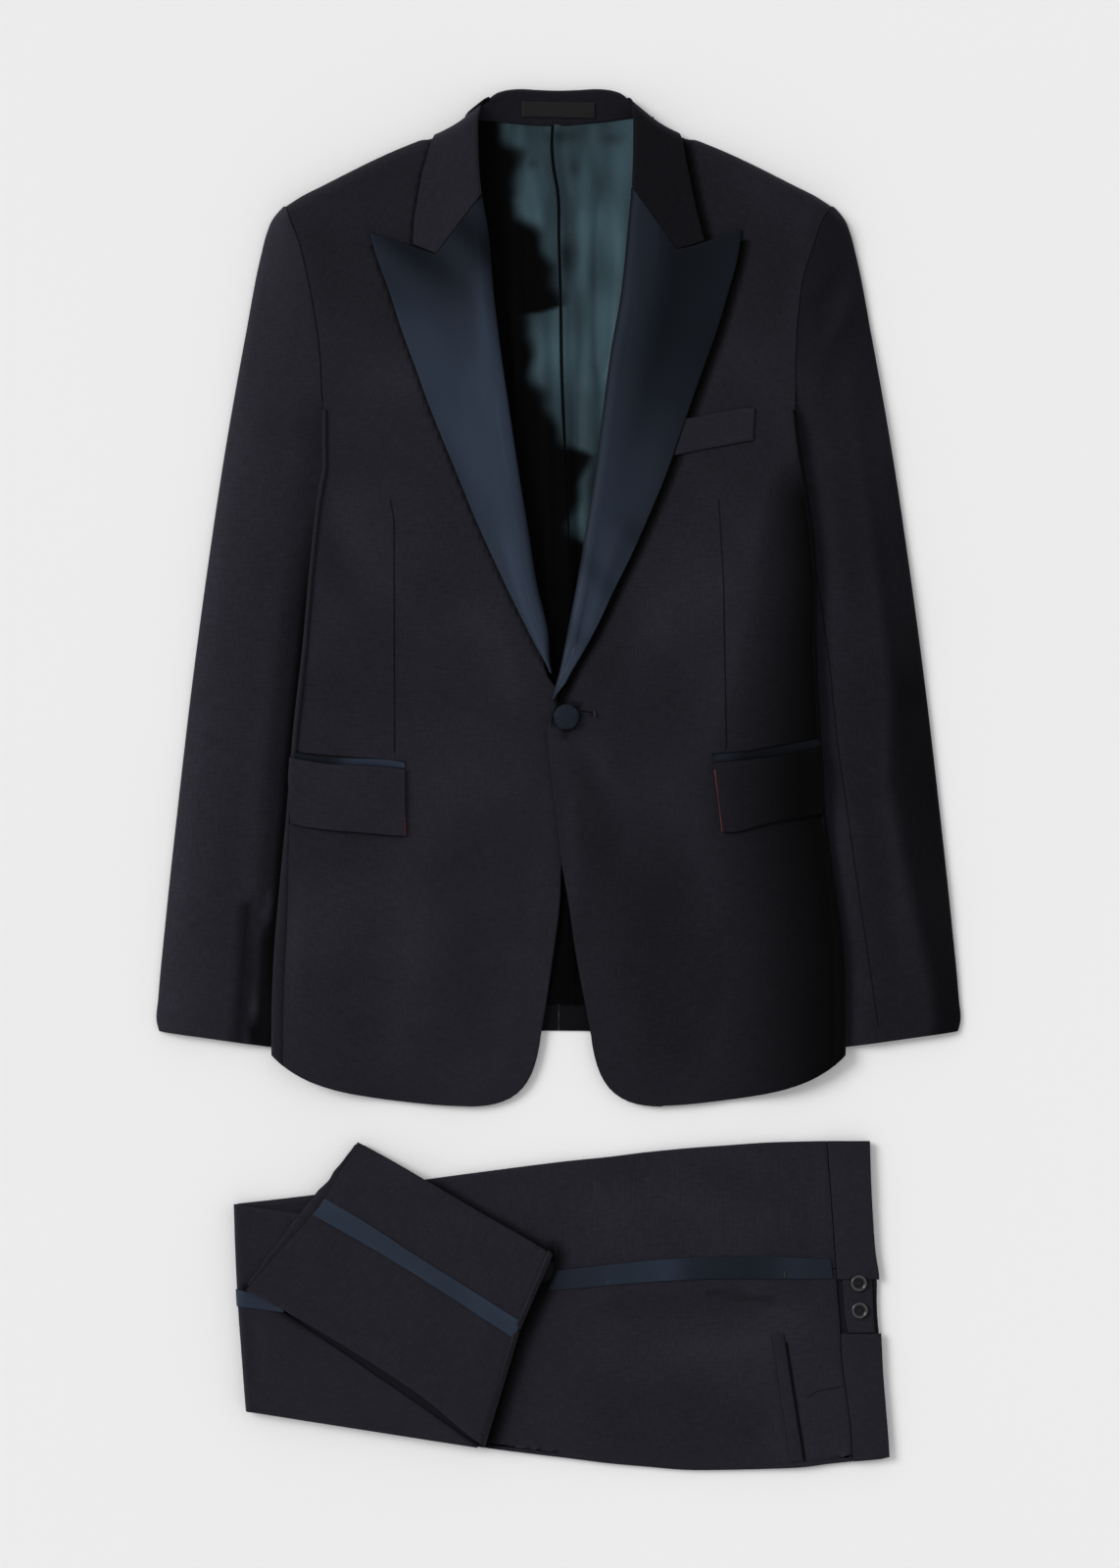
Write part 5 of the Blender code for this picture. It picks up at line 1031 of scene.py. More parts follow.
def hip_pocket(wearer, side):
    """Satin jetting, the flap under it and the flap's lining."""
    tab = POCKET[wearer]
    first, last = tab["across"][0], read(SIDE, wearer, 570.0) - 1.4
    across = first + (last - first) * dense([0, 0.01, 0.2, 0.42, 0.64, 0.84, 0.95, 1.0], 5)

    def strip(name, upper, lower, rows, gap, thick, slot, hollow=None, lean=0.0, peek=0.0,
              belly=0.0):
        """Panel on the front, from an upper to a lower edge."""
        plan = []
        for share in shares(rows):
            down = upper + (lower - upper) * share
            run = across + lean * share * (1 - (across - first) / (last - first))
            run = run - peek * ease(share * 2.2 - 1.1) * (1 - ease((across - first) / 6))
            plan.append(pair(np.minimum(run, read(SIDE, wearer, down) - 0.9), down))
        grid = raised(np.array(plan), skin, wearer)
        grid[..., 2] += belly * np.sin(np.pi * shares(rows))[:, None] * ease((across - first) / 12)
        return on_top(name + "_" + wearer, grid, gap, thick, slot, side,
                      on=["front_%s_cloth" % wearer], hollow=hollow)

    jet_top, jet_bottom = read(tab, "jet_top", across), read(tab, "jet_bottom", across)
    flap_bottom, lean = read(tab, "flap_bottom", across), FLAP_LEAN[wearer]
    # Painted shade along the jetting, darker towards the side.
    depth = {"left": lambda x, d: 0.68 + 0.25 * ease((x - first - 6) / 22),
             "right": lambda x, d: 0.06 + 0.76 * ease((x - first - 34) / 30)}[wearer]
    strip("pocket_jetting", jet_top, jet_bottom - SEAM, 7, SEAM, 0.9, "satin", depth, belly=0.5)
    strip("flap_lining", jet_bottom + 6, flap_bottom - 0.6, 9, 3 * SEAM, 0.5, "flap_lining",
          lean=lean, peek=0.65)
    # Painted shade of the flaps: on the left as dark as the front beside it, on the right a little.
    shaded = {"left": lambda x, d: np.clip(front_hollow(x, d, "left") + 0.05, 0.46, 1),
              "right": 0.26}[wearer]
    strip("pocket_flap", jet_bottom, flap_bottom, 19, 4 * SEAM + 0.5, 1.5, "wool", shaded,
          lean=lean, belly=0.8)


def breast_welt():
    """Welt of the breast pocket on the left front, running under the lapel's edge."""
    rows = []
    for share in shares(13):
        down_at_edge = WELT["top"][0] + (WELT["bottom"][0] - WELT["top"][0]) * share
        first = read(LAPEL_OUTER, "left", down_at_edge) + 0.4
        across = np.linspace(first, WELT["across"][-1] - 1.4 * share, 25)
        top, bottom = read(WELT, "top", across), read(WELT, "bottom", across)
        rows.append(pair(across, top + (bottom - top) * share))
    grid = raised(np.array(rows), front_height, "left")
    return on_top("breast_welt", grid, SEAM, 1.2, "wool", 1, on=["front_left_cloth"])


# ---------------------------------------------------------------- trousers
def creased(distance, depth=2.3, reach=3.0):
    """Drop of a panel at its pressed crease."""
    return depth * (1 - rounded(distance, reach))


def on_line(points, across):
    """Down of a broken line at an across."""
    points = np.array(points, float)
    order = np.argsort(points[:, 0])
    return np.interp(across, points[order, 0], points[order, 1])


def waist_seam(down):
    """Edge of the leg panels at the waistband."""
    return read(WAIST_SEAM, "across", down) - 0.2


def stripe_middle(across):
    """Side seam under the stripe."""
    return (read(WAIST_LEG, "stripe_top", across) + read(WAIST_LEG, "stripe_bottom", across)) / 2


def waist_top(across, down):
    """Top of the leg that runs to the waistband."""
    rise = creases("legs", across, down) * ease((220 - across) / 14) * ease((across - 2) / 20)
    return WAIST_TOP + rise


def middle_top(across, down):
    """Top of the folded right leg."""
    rise = creases("middle", across, down) * ease((across + 258) / 8)
    return MIDDLE_TOP + rise * ease((-196 - across) / 30)


def end_top(across, down):
    """Top of the left leg's folded end."""
    return END_TOP - end_sag(across, down) + creases("end", across, down) * 0.8


def leg_hollow(across, down):
    """Painted shadow beside the edges of the end layer folded back over the legs and along a fold
    by the rear pocket, and painted shade in the folds' troughs.
    """
    rise = creases("legs", across, down) * ease((across - 10) / 30)
    hollow = LEG_PAINTED_SHADE - TROUGH_PAINTED_SHADE * rise
    for line, reach, depth in ((END_FOLD, 21, 1.0), (END_UPPER, 11, 0.7), (END_LOWER, 11, 0.9),
                               (POCKET_FOLD_SHADOW, 9, 0.55)):
        hollow = np.maximum(hollow, depth * near_line(line, across, down, reach))
    return np.clip(hollow, 0, 1)


def leg_panel(name, rows, **facts):
    return wall(name, np.array(rows), TROUSER_CLOTH, "wool", held="folded",
                on=["trousers_hidden_layers"], **facts)


def waist_front():
    """Front panel from the waist, above the side seam; it shows beside the end layer too."""
    run = dense([-262.4, -240, -214, -186, -160, -130, -104, -80, -60, -30, -8, 6, 40, 80, 120, 160,
                 190, 218], 6)
    rows = []
    for x in run:
        top = read(WAIST_LEG, "upper", x)
        beside = on_line(WAIST_LEFT, x) if x < -164 else on_line(END_UPPER, x) + 7
        bottom = stripe_middle(x) - SEAM / 2
        if x < -2:
            bottom = max(min(beside, bottom), top + 7)
        below = np.linspace(top + CREASE_PLACES[-1], bottom, 26)[1:]
        downs = np.concatenate([top + dense(CREASE_PLACES, 3), below])
        ends = x + (waist_seam(downs) - 218) * ease((x - 160) / 58)
        rows.append(raised(pair(ends, downs)[None], waist_top)[0])
        rows[-1][:, 2] -= creased(downs - top)
    return leg_panel("left_leg_front", rows, hollow=leg_hollow)


def waist_back():
    """Back panel from the waist, below the side seam, from under the end layer's fold."""
    rows = []
    places = dense(shares(9), 5)
    starts = along(END_FOLD[1:], places) - (7.0, 0)
    for share, start in zip(places, starts):
        end_down = 963.4 + share * (1122.6 - 963.4)
        xs = start[0] + (waist_seam(end_down) - start[0]) * shares(70)
        top, bottom = stripe_middle(xs) + SEAM / 2, read(WAIST_LEG, "lower", xs)
        plan = pair(xs, top + (bottom - top) * share)
        rows.append(raised(plan[None], waist_top)[0])
    crease = rows.pop()
    for place in dense(CREASE_PLACES, 3)[::-1]:
        row = crease.copy()
        row[:, 1] -= place
        row[:, 2] -= creased(place)
        rows.append(row)
    return leg_panel("left_leg_back", rows, hollow=leg_hollow)


def waist_stripe():
    """Satin stripe over the side seam."""
    xs = dense([-1.5, 8, 40, 72, 104, 136, 168, 200, 222.6], 8)
    top, bottom = read(WAIST_LEG, "stripe_top", xs), read(WAIST_LEG, "stripe_bottom", xs)
    lower_xs = xs - 7.5 * (1 - ease((xs + 1.5) / 20)) + 1.6 * ease((xs - 190) / 30)
    grid = raised(between(pair(xs, top), pair(lower_xs, bottom), 9), waist_top)
    grid[..., 2] += 0.35 * np.sin(np.pi * shares(9))[:, None]
    return on_top("left_leg_stripe", grid, SEAM, STRIPE_CLOTH, "satin",
                  on=["left_leg_front_cloth", "left_leg_back_cloth"],
                  hollow=stripe_hollow)


def stripe_hollow(across, down):
    """Painted sheen that comes and goes along the stripe, and a painted shadow beside the end
    layer's fold.
    """
    return np.maximum(0.5 - 0.2 * np.sin(across / 34.0), near_line(END_FOLD, across, down, 19))


def folded_panel(name, starts, ends, drops):
    """Panel from the left fold to under the end layer; drops lower it at its crease."""
    half, rows = MIDDLE_TOP / 2, []
    for start, end, drop in zip(starts, ends, drops):
        inward = (end - start) / np.linalg.norm(end - start)
        row = []
        for angle in np.radians(np.linspace(-60, 80, 15)):
            place = start + inward * FOLD_REACH * (1 - np.cos(angle))
            row.append((*place, min(half + half * np.sin(angle), MIDDLE_TOP - drop)))
        first = start + inward * 5.6
        for share in shares(30):
            place = first + (end - first) * share
            row.append((*place, middle_top(*place) - drop))
        rows.append(row)
    return leg_panel(name, rows, hollow=leg_hollow)


def middle_leg():
    """Right leg, folded back at the left: what shows beside the end layer."""
    under_hem = np.array(UNDER_HEM)
    downs = dense([910.6, 911.4, 914.0, 930.0, 950.0, 968.0, 985.9], 5)
    starts = pair(read(FOLD_EDGE, "across", downs), downs)
    across = np.interp(downs + 8, under_hem[:, 1], under_hem[:, 0]) + 9
    ends = pair(across, downs + (across + 262) * LEG_SLOPE)
    folded_panel("right_leg_front", starts, ends, dense((2.3, 1.1, 0.1, 0, 0, 0, 0), 5))

    downs = dense([986.0, 1004.0, 1022.0, 1040.0, 1058.0, 1072.0, 1077.2, 1078.6, 1079.4], 5)
    starts = pair(read(FOLD_EDGE, "across", downs), downs)
    across = -236 + (downs - downs[0]) / (downs[-1] - downs[0]) * (236 - 66)
    crease = read(WAIST_LEG, "lower", across)
    covered = np.maximum(downs + (across + 258) * LEG_SLOPE, on_line(END_LOWER, across) - 8)
    ends = pair(across, np.minimum(covered, crease - (downs[-1] - downs) * 0.6))
    ends[-1][1] = crease[-1]
    folded_panel("right_leg_back", starts, ends, dense((0, 0, 0, 0, 0, 0, 0.3, 1.1, 2.3), 5))

    run = dense([-256.2, -246, -236, -224], 8)
    top, bottom = read(MIDDLE_LEG, "stripe_top", run), read(MIDDLE_LEG, "stripe_bottom", run)
    rows = []
    for share in shares(7):
        down = top + (bottom - top) * share
        level = raised(pair(run, down)[None], middle_top)[0]
        level[:, 2] += 0.3 * np.sin(np.pi * share)
        turn = np.radians(np.linspace(-50, 70, 9))
        fold = read(FOLD_EDGE, "across", down[0] - 2)
        half = MIDDLE_TOP / 2
        round_fold = np.stack([fold + FOLD_REACH * (1 - np.cos(turn)), np.full(9, down[0] - 0.6),
                               half + half * np.sin(turn)], -1)
        rows.append(np.concatenate([round_fold, level]))
    return on_top("right_leg_stripe", np.array(rows), SEAM, STRIPE_CLOTH, "satin", held="folded",
                  on=["right_leg_front_cloth", "right_leg_back_cloth"])


def end_sag(across, down, middle=3.8, waist=5.0, early=0.0):
    """How far the end layer sinks past the layers that carry it."""
    past_middle = read(MIDDLE_LEG, "upper", across) - down + early
    past_waist = read(WAIST_LEG, "upper", across) - down + early
    return middle * ease(past_middle / 26) + waist * ease(past_waist / 32)


def end_low(across, down):
    """Underside of the end layer, down to the floor where nothing carries it."""
    return MIDDLE_TOP + 1.2 - end_sag(across, down, 6.4, 6.5, -8.0)


def end_leg():
    """Left leg's end, folded back again: front and back panel, stripe and hem."""
    places = dense(np.concatenate([[0, 0.04], np.linspace(0.11, 0.93, 9), [1.0]]), 6)
    stripe = (along(END_STRIPE["top"], places), along(END_STRIPE["bottom"], places))
    seam = (stripe[0] + stripe[1]) / 2
    beside = []
    for name, edge in (("left_leg_front_end", END_UPPER), ("left_leg_back_end", END_LOWER)):
        grid = []
        for k, start in enumerate(along(edge, places)):
            length = np.linalg.norm(seam[k] - start)
            half_stripe = np.linalg.norm(seam[k] - stripe[0][k])
            inner = np.linspace(CREASE_PLACES[-1], length - half_stripe, 16)
            in_from = np.concatenate([dense(CREASE_PLACES, 3), inner[1:],
                                      dense([inner[-1], length], 3)[1:]])
            plan = start + (seam[k] - start) / length * in_from[:, None]
            height = end_top(plan[:, 0], plan[:, 1]) - creased(in_from)
            grid.append(np.concatenate([plan, height[:, None]], -1))
        grid = np.array(grid)
        beside.append(grid[:-1, -4:])
        leg_panel(name, np.concatenate([grid[:-1], turned_down(grid)]))
    front, back = beside
    grid = np.concatenate([front, back[:, -2::-1]], 1)
    grid[..., 2] += 0.35 * np.sin(np.pi * shares(grid.shape[1]))
    return on_top("left_leg_stripe_end", grid, SEAM + 0.1, STRIPE_CLOTH, "satin", held="folded",
                  on=["left_leg_front_end_cloth", "left_leg_back_end_cloth"])


def turned_down(grid):
    """Rows of the end layer's fold: the grid's last row, turned down to the layer below."""
    last, outward = grid[-1], unit((grid[-1] - grid[-3])[:, :2])
    low = WAIST_TOP + SEAM
    half = (last[:, 2] - low) / 2
    rows = []
    for angle in np.radians(np.linspace(90, -85, 17)):
        row = last.copy()
        row[:, :2] -= outward * FOLD_REACH * (1 - np.cos(angle))
        row[:, 2] = low + half + half * np.sin(angle)
        rows.append(row)
    return np.array(rows)


def moved_in(outline, inset):
    """A closed outline moved inwards."""
    ahead = unit(np.roll(outline, -1, 0) - outline)
    middle = unit(ahead + unit(outline - np.roll(outline, 1, 0)))
    inward = pair(-middle[:, 1], middle[:, 0])
    turn = np.maximum(np.sum(middle * ahead, axis=1, keepdims=True), 0.6)
    return outline + inward * inset / turn


def stack(plan, top, low, plies, deep):
    """Folded plies over a plan grid, rounded at their edges: a closed block's points and faces."""
    count, rim, quads = numbered(plan)
    upper, lower = raised(plan, top).reshape(-1, 3), raised(plan, low).reshape(-1, 3)
    outline = upper[rim, :2]
    rings = []
    for share in shares(6 * plies + 1):
        inset = deep * (1 - np.abs(np.sin(np.pi * plies * share)) ** 0.7) + 0.3 * np.sin(9 * share)
        height = upper[rim, 2] + (lower[rim, 2] - upper[rim, 2]) * share
        rings.append(np.concatenate([moved_in(outline, max(inset, 0.0)), height[:, None]], -1))
    upper[rim], lower[rim] = rings[0], rings[-1]
    around = len(rim)
    points = np.concatenate([upper, lower, *rings[1:-1]])
    inner_loops = [2 * count + k * around + np.arange(around) for k in range(len(rings) - 2)]
    loops = [rim, *inner_loops, count + rim]
    sides = [ring_faces(above, below) for above, below in zip(loops, loops[1:])]
    return points, np.concatenate([quads, quads[:, ::-1] + count, *sides])


def hidden_layers():
    """Plies folded away inside the trousers, layered at their edges: three stacked blocks."""
    places = dense([0, 0.07, 0.3, 0.5, 0.7, 0.93, 1.0], 4)
    columns = dense(shares(15), 4)
    x = -261.6 + columns * (253.0 + 261.6)
    upper = pair(x, read(WAIST_LEG, "upper", x) + 0.9)
    x = -252.6 + columns * (262.6 + 252.6)
    lower = pair(x, read(WAIST_LEG, "lower", x) - 1.2)
    lower[-1][1] = 1117.4
    downs = 911.0 + places * (1078.0 - 911.0)
    fold = pair(read(FOLD_EDGE, "across", downs) + 3.6, downs)
    downs = 859.6 + places * (1117.4 - 859.6)
    waist = pair(read(WAIST_EDGE, "across", downs) - 1.6, downs)
    blocks = [stack(patch(upper, lower, fold, waist), WAIST_TOP - 1.8, 0.0, 3, PLY_BULGE)]

    x = -261.6 + columns * (261.6 - 17.0)
    upper = pair(x, read(MIDDLE_LEG, "upper", x) + 2.0)
    x = -252.6 + columns * (252.6 - 67.5)
    lower = pair(x, read(WAIST_LEG, "lower", x) - 3.2)
    end_side = along(END_FOLD, 0.02 + places * 0.95) - (8.2, 0)
    plan = patch(upper, lower, fold, end_side)
    blocks.append(stack(plan, MIDDLE_TOP - 1.8, WAIST_TOP - 2.0, 2, PLY_BULGE))

    columns, places = np.linspace(0.012, 0.955, 41), shares(31)
    upper = along(END_UPPER, columns) + (0.5, 2.4)
    lower = along(END_LOWER, columns) + (0.8, -2.8)
    hem = along(END_HEM, 0.015 + places * 0.97) + (2.4, 1.2)
    end_side = along(END_FOLD, 0.02 + places * 0.95) - (8.2, 0)
    blocks.append(stack(patch(upper, lower, hem, end_side),
                        lambda x, d: END_TOP - 1.9 - end_sag(x, d, early=10.0), end_low, 2, 0.9))
    points, faces, count = [], [], 0
    for block_points, block_faces in blocks:
        points.append(placed(block_points))
        faces.append(block_faces + count)
        count += len(block_points)
    # Painted shade on the inner plies.
    hollow = np.full(count, 0.5)
    thing = mesh_piece("inner_plies", np.concatenate(points), np.concatenate(faces), "wool",
                       hollow=hollow)
    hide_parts("trousers_hidden_layers")
    return thing


def hem_ply():
    """Right leg's hem, showing under the end layer's hem."""
    places = np.linspace(0.0, 0.97, 90)
    outer, inner = along(UNDER_HEM, places), along(END_HEM, places) + (6.4, 3.6)
    wave = 0.5 * np.sin(places * 31) + 0.4 * np.sin(places * 53 + 1)
    plan = between(outer, inner, 11)
    plan[0, :, 0] += wave * ease(places / 0.1)
    top = END_TOP - 2.6 - end_sag(plan[..., 0], plan[..., 1], early=5.0)
    top[:, (0, -1)] -= 1.6
    top[0] -= 0.8
    low = np.minimum(end_low(plan[..., 0], plan[..., 1]), top - 1.0)
    return sheet("right_leg_hem", raised(plan, top), raised(plan, low), 2.6, "wool", held="folded",
                 on=["inner_plies"])


def waistbands():
    """Front and back waistband and the side tab between them."""
    for name, top, bottom in (("front", 858.8, BAND_FRONT_END), ("back", BAND_BACK_TOP, 1118.6)):
        downs = np.linspace(top, bottom, 60)
        seam = pair(read(WAIST_SEAM, "across", downs), downs)
        edge = pair(read(WAIST_EDGE, "across", downs), downs)
        if name == "back":
            edge[-1] = BAND_CORNER
            seam[-1][1] = 1120.6
        plan = seam[:, None] + (edge - seam)[:, None] * shares(13)[:, None]
        level = BAND_TOP + 0.4 * np.sin(np.pi * shares(13))
        level = level + creases("legs", plan[..., 0], plan[..., 1]) * 0.4
        wall("waistband_" + name, raised(plan, level), TROUSER_CLOTH + 0.4, "wool",
             on=["inner_plies"])
    left = ((231.6, BAND_FRONT_END - 3.0), (233.6, 1000.0), (236.4, BAND_BACK_TOP - 0.6))
    right = ((256.0, BAND_FRONT_END - 3.0), (257.4, 1000.0), (258.6, BAND_BACK_TOP - 0.6))
    left, right = dense(left, 12), dense(right, 12)
    plan = left[:, None] + (right - left)[:, None] * shares(13)[:, None]
    under_band = 1.6 * (1 - ease(shares(25) / 0.16))[:, None]
    level = BAND_TOP - under_band + 0.3 * np.sin(np.pi * shares(13))
    wall("adjuster_tab", raised(plan, level), TROUSER_CLOTH, "wool", on=["inner_plies"])


def rear_pocket():
    """Welt of the rear pocket on the back panel."""
    top, bottom = (np.array(REAR_POCKET[key]) for key in ("top", "bottom"))
    plan = dense([dense(top, 8), dense(bottom, 8)], 40)
    grid = raised(plan, waist_top)
    grid[..., 2] += 0.4 * np.sin(np.pi * shares(9))
    return on_top("rear_pocket_welt", grid, SEAM, 0.9, "wool", on=["left_leg_back_cloth"])


# ---------------------------------------------------------------- materials
# Lines that are sewn or cut into a panel: from and to (across with its side's sign, down), in
# millimetres, with the line's width and how much of its surface colour it takes away. Darts and
# seams are dark joints; the lines along the pocket mouths, in the buttonhole's slit and beside the
# rear pocket's welt are painted shade.
SEAM_AND_SLIT_SHADE_LINES = {
    "wool": (),
    "wool_left_front": (
        ((130.9, 336), (134.6, 400), 0.9, 0.85), ((134.6, 400), (137.2, 538), 1.1, 0.9),
        ((126.6, 543.6), (157.6, 540.6), 1.6, 1), ((157.6, 540.6), (206, 531.8), 1.6, 1),
        ((206, 531.8), (226, 528), 1.6, 1), ((16, 507), (29.6, 509.6), 0.9, 0.9)),
    "wool_right_front": (
        ((-137, 336), (-133.9, 352), 1, 0.85), ((-133.9, 352), (-133.6, 541), 1.1, 0.9),
        ((-124.8, 549.8), (-163.2, 546.4), 1.6, 1), ((-163.2, 546.4), (-209, 542.6), 1.6, 1),
        ((-209, 542.6), (-222, 538.4), 1.6, 1)),
    "wool_left_sleeve": (
        ((211, 396), (221.5, 470), 0.8, 0.8), ((221.5, 470), (228, 535), 0.8, 0.85),
        ((228, 535), (243, 641), 0.8, 0.85), ((243, 641), (261.4, 766), 0.8, 0.85)),
    "wool_trousers": (
        ((40, 974.6), (184.8, 967.4), 1.6, 0.8), ((232.4, 1059.2), (212, 1063.2), 1.2, 0.6),
        ((212, 1063.2), (203.2, 1068.8), 1.2, 0.5), ((186.4, 1024), (201.2, 1119), 2.2, 1),
        ((253.6, 982), (258.4, 1012), 1, 0.5)),
}
LOOK_OF = {"front_left_cloth": "wool_left_front", "front_right_cloth": "wool_right_front",
           "sleeve_top_left_cloth": "wool_left_sleeve", "left_leg_front_cloth": "wool_trousers",
           "left_leg_back_cloth": "wool_trousers"}

# Small woven parts: dark and light shade, width of a rib in metres, strength and depth of the
# relief, roughness, sheen and specular level.
SMALL_CLOTHS = {
    "flap_lining": (
        (0.10, 0.010, 0.008), (0.20, 0.020, 0.014), 0.0006, (0.1, 0.05), 0.5, 0.05, 0.4),
    "label": ((0.004, 0.004, 0.005), (0.011, 0.011, 0.012), 0.0009, (0.5, 0.1), 0.6, 0.0, 0.3),
    "thread": ((0.004, 0.005, 0.008), (0.014, 0.016, 0.022), 0.0005, (0.6, 0.1), 0.6, 0.1, 0.35),
}
SEAM_AND_SLIT_SHADE_COLOUR = (0.0012, 0.0012, 0.0016)       # what is left of the colour along a seam, and the painted shade along a slit
PAINTED_SHADE_COLOUR = (0.0004, 0.0004, 0.0005)     # and where the painted shade is darkest
PAINTED_SHADE_ROUGHNESS = 0.9
SEWN_DEPTH = 6.0                             # how far a sewn line sinks, in heights of the weave
SHEEN_ROUGHNESS = 0.45
SHEEN_TINT = (0.75, 0.8, 1.0, 1.0)
RESIN = dict(dark=(0.003, 0.003, 0.004), light=(0.014, 0.014, 0.016), rim=(0.11, 0.11, 0.115))
RIM_METAL = 0.7                              # how much the worn rim of a button mirrors


def group_tree(name, inputs, outputs):
    """New node group with its sockets, each (name, type), and its two end nodes."""
    tree = bpy.data.node_groups.new(name, "ShaderNodeTree")
    for label, kind in inputs:
        tree.interface.new_socket(label, in_out="INPUT", socket_type="NodeSocket" + kind)
    for label, kind in outputs:
        tree.interface.new_socket(label, in_out="OUTPUT", socket_type="NodeSocket" + kind)
    return tree, tree.nodes.new("NodeGroupInput"), tree.nodes.new("NodeGroupOutput")


def node(tree, kind, links=(), **settings):
    """New node: settings are its properties, links fill its inputs with sockets or plain values."""
    made = tree.nodes.new("ShaderNode" + kind)
    for key, value in settings.items():
        setattr(made, key, value)
    for place, source in dict(links).items():
        if isinstance(source, bpy.types.NodeSocket):
            tree.links.new(source, made.inputs[place])
        else:
            made.inputs[place].default_value = source
    return made


def maths(tree, operation, *values, clamp=False):
    made = node(tree, "Math", dict(enumerate(values)), operation=operation, use_clamp=clamp)
    return made.outputs[0]


def weighted(tree, first, share, second, other, clamp=False):
    """Socket with the sum of two sockets, each with its share."""
    return maths(tree, "ADD", maths(tree, "MULTIPLY", first, share),
                 maths(tree, "MULTIPLY", second, other), clamp=clamp)


def scaled(tree, vector, factor):
    links = {0: vector, "Scale": factor}
    return node(tree, "VectorMath", links, operation="SCALE").outputs[0]


def blend(tree, share, first, last):
    """Socket with the colour between two colours or sockets."""
    first, last = ((*end, 1) if isinstance(end, tuple) else end for end in (first, last))
    return node(tree, "Mix", {0: share, 6: first, 7: last}, data_type="RGBA").outputs[2]


def noise(tree, place, scale, detail, **inputs):
    links = {"Vector": place, "Scale": scale, "Detail": detail, **inputs}
    return node(tree, "TexNoise", links).outputs["Fac"]


def ramp(tree, value, low, high, start=0.0, end=1.0, smooth=False):
    """Socket that runs from low to high where the value runs from start to end."""
    links = {"Value": value, "From Min": start, "From Max": end, "To Min": low, "To Max": high}
    kind = "SMOOTHSTEP" if smooth else "LINEAR"
    return node(tree, "MapRange", links, interpolation_type=kind).outputs[0]


def new_material(name):
    """New material, its node tree and its surface."""
    made = bpy.data.materials.new(name)
    made.use_nodes = True
    return made, made.node_tree, made.node_tree.nodes["Principled BSDF"]


def weave_group():
    """Twill of a worsted cloth: diagonal ribs with slight slubs, along the cloth's own grain."""
    found = bpy.data.node_groups.get("twill weave")
    if found:
        return found
    tree, start, end = group_tree("twill weave", (("Vector", "Vector"), ("Rib", "Float")),
                                  (("Shade", "Float"), ("Height", "Float")))
    per_metre = maths(tree, "DIVIDE", 1.0, start.outputs["Rib"])
    place = scaled(tree, start.outputs["Vector"], per_metre)
    links = {"Vector": place, "Scale": 0.32, "Distortion": 0.6, "Detail": 1.0}
    ribs = node(tree, "TexWave", links, bands_direction="DIAGONAL").outputs["Fac"]
    threads = []
    for stretch in ((0.07, 0.42, 1.0), (0.5, 0.1, 1.0)):
        drawn = node(tree, "Mapping", {"Vector": place, "Scale": stretch}).outputs[0]
        threads.append(noise(tree, drawn, 1.0, 3.0))
    slubs = maths(tree, "MULTIPLY", maths(tree, "ADD", *threads), 0.5)
    clouds = noise(tree, start.outputs["Vector"], 26.0, 2.0)
    shade = ramp(tree, weighted(tree, ribs, 0.15, slubs, 0.85), 0.0, 1.0, 0.3, 0.7)
    shade = weighted(tree, shade, 0.75, clouds, 0.25, clamp=True)
    tree.links.new(shade, end.inputs["Shade"])
    tree.links.new(maths(tree, "ADD", ribs, slubs), end.inputs["Height"])
    return tree


def seam_group():
    """Share of a dark line at a point, a seam or a slit's painted shade: 1 on the line between two
    places, 0 from its width on.
    """
    found = bpy.data.node_groups.get("seam and slit shade line")
    if found:
        return found
    inputs = (("From", "Vector"), ("To", "Vector"), ("Width", "Float"))
    tree, start, end = group_tree("seam and slit shade line", inputs, (("Mask", "Float"),))
    place = node(tree, "TexCoord").outputs["Object"]
    flat = node(tree, "VectorMath", {0: place, 1: (1, 1, 0)}, operation="MULTIPLY").outputs[0]

    def vector(operation, first, second):
        made = node(tree, "VectorMath", {0: first, 1: second}, operation=operation)
        return made.outputs["Value" if operation == "DOT_PRODUCT" else 0]

    out = vector("SUBTRACT", flat, start.outputs["From"])
    run = vector("SUBTRACT", start.outputs["To"], start.outputs["From"])
    share = maths(tree, "DIVIDE", vector("DOT_PRODUCT", out, run), vector("DOT_PRODUCT", run, run),
                  clamp=True)
    away = vector("SUBTRACT", out, scaled(tree, run, share))
    distance = node(tree, "VectorMath", {0: away}, operation="LENGTH").outputs["Value"]
    mask = ramp(tree, distance, 1.0, 0.0, 0.0, start.outputs["Width"], smooth=True)
    tree.links.new(mask, end.inputs["Mask"])
    return tree


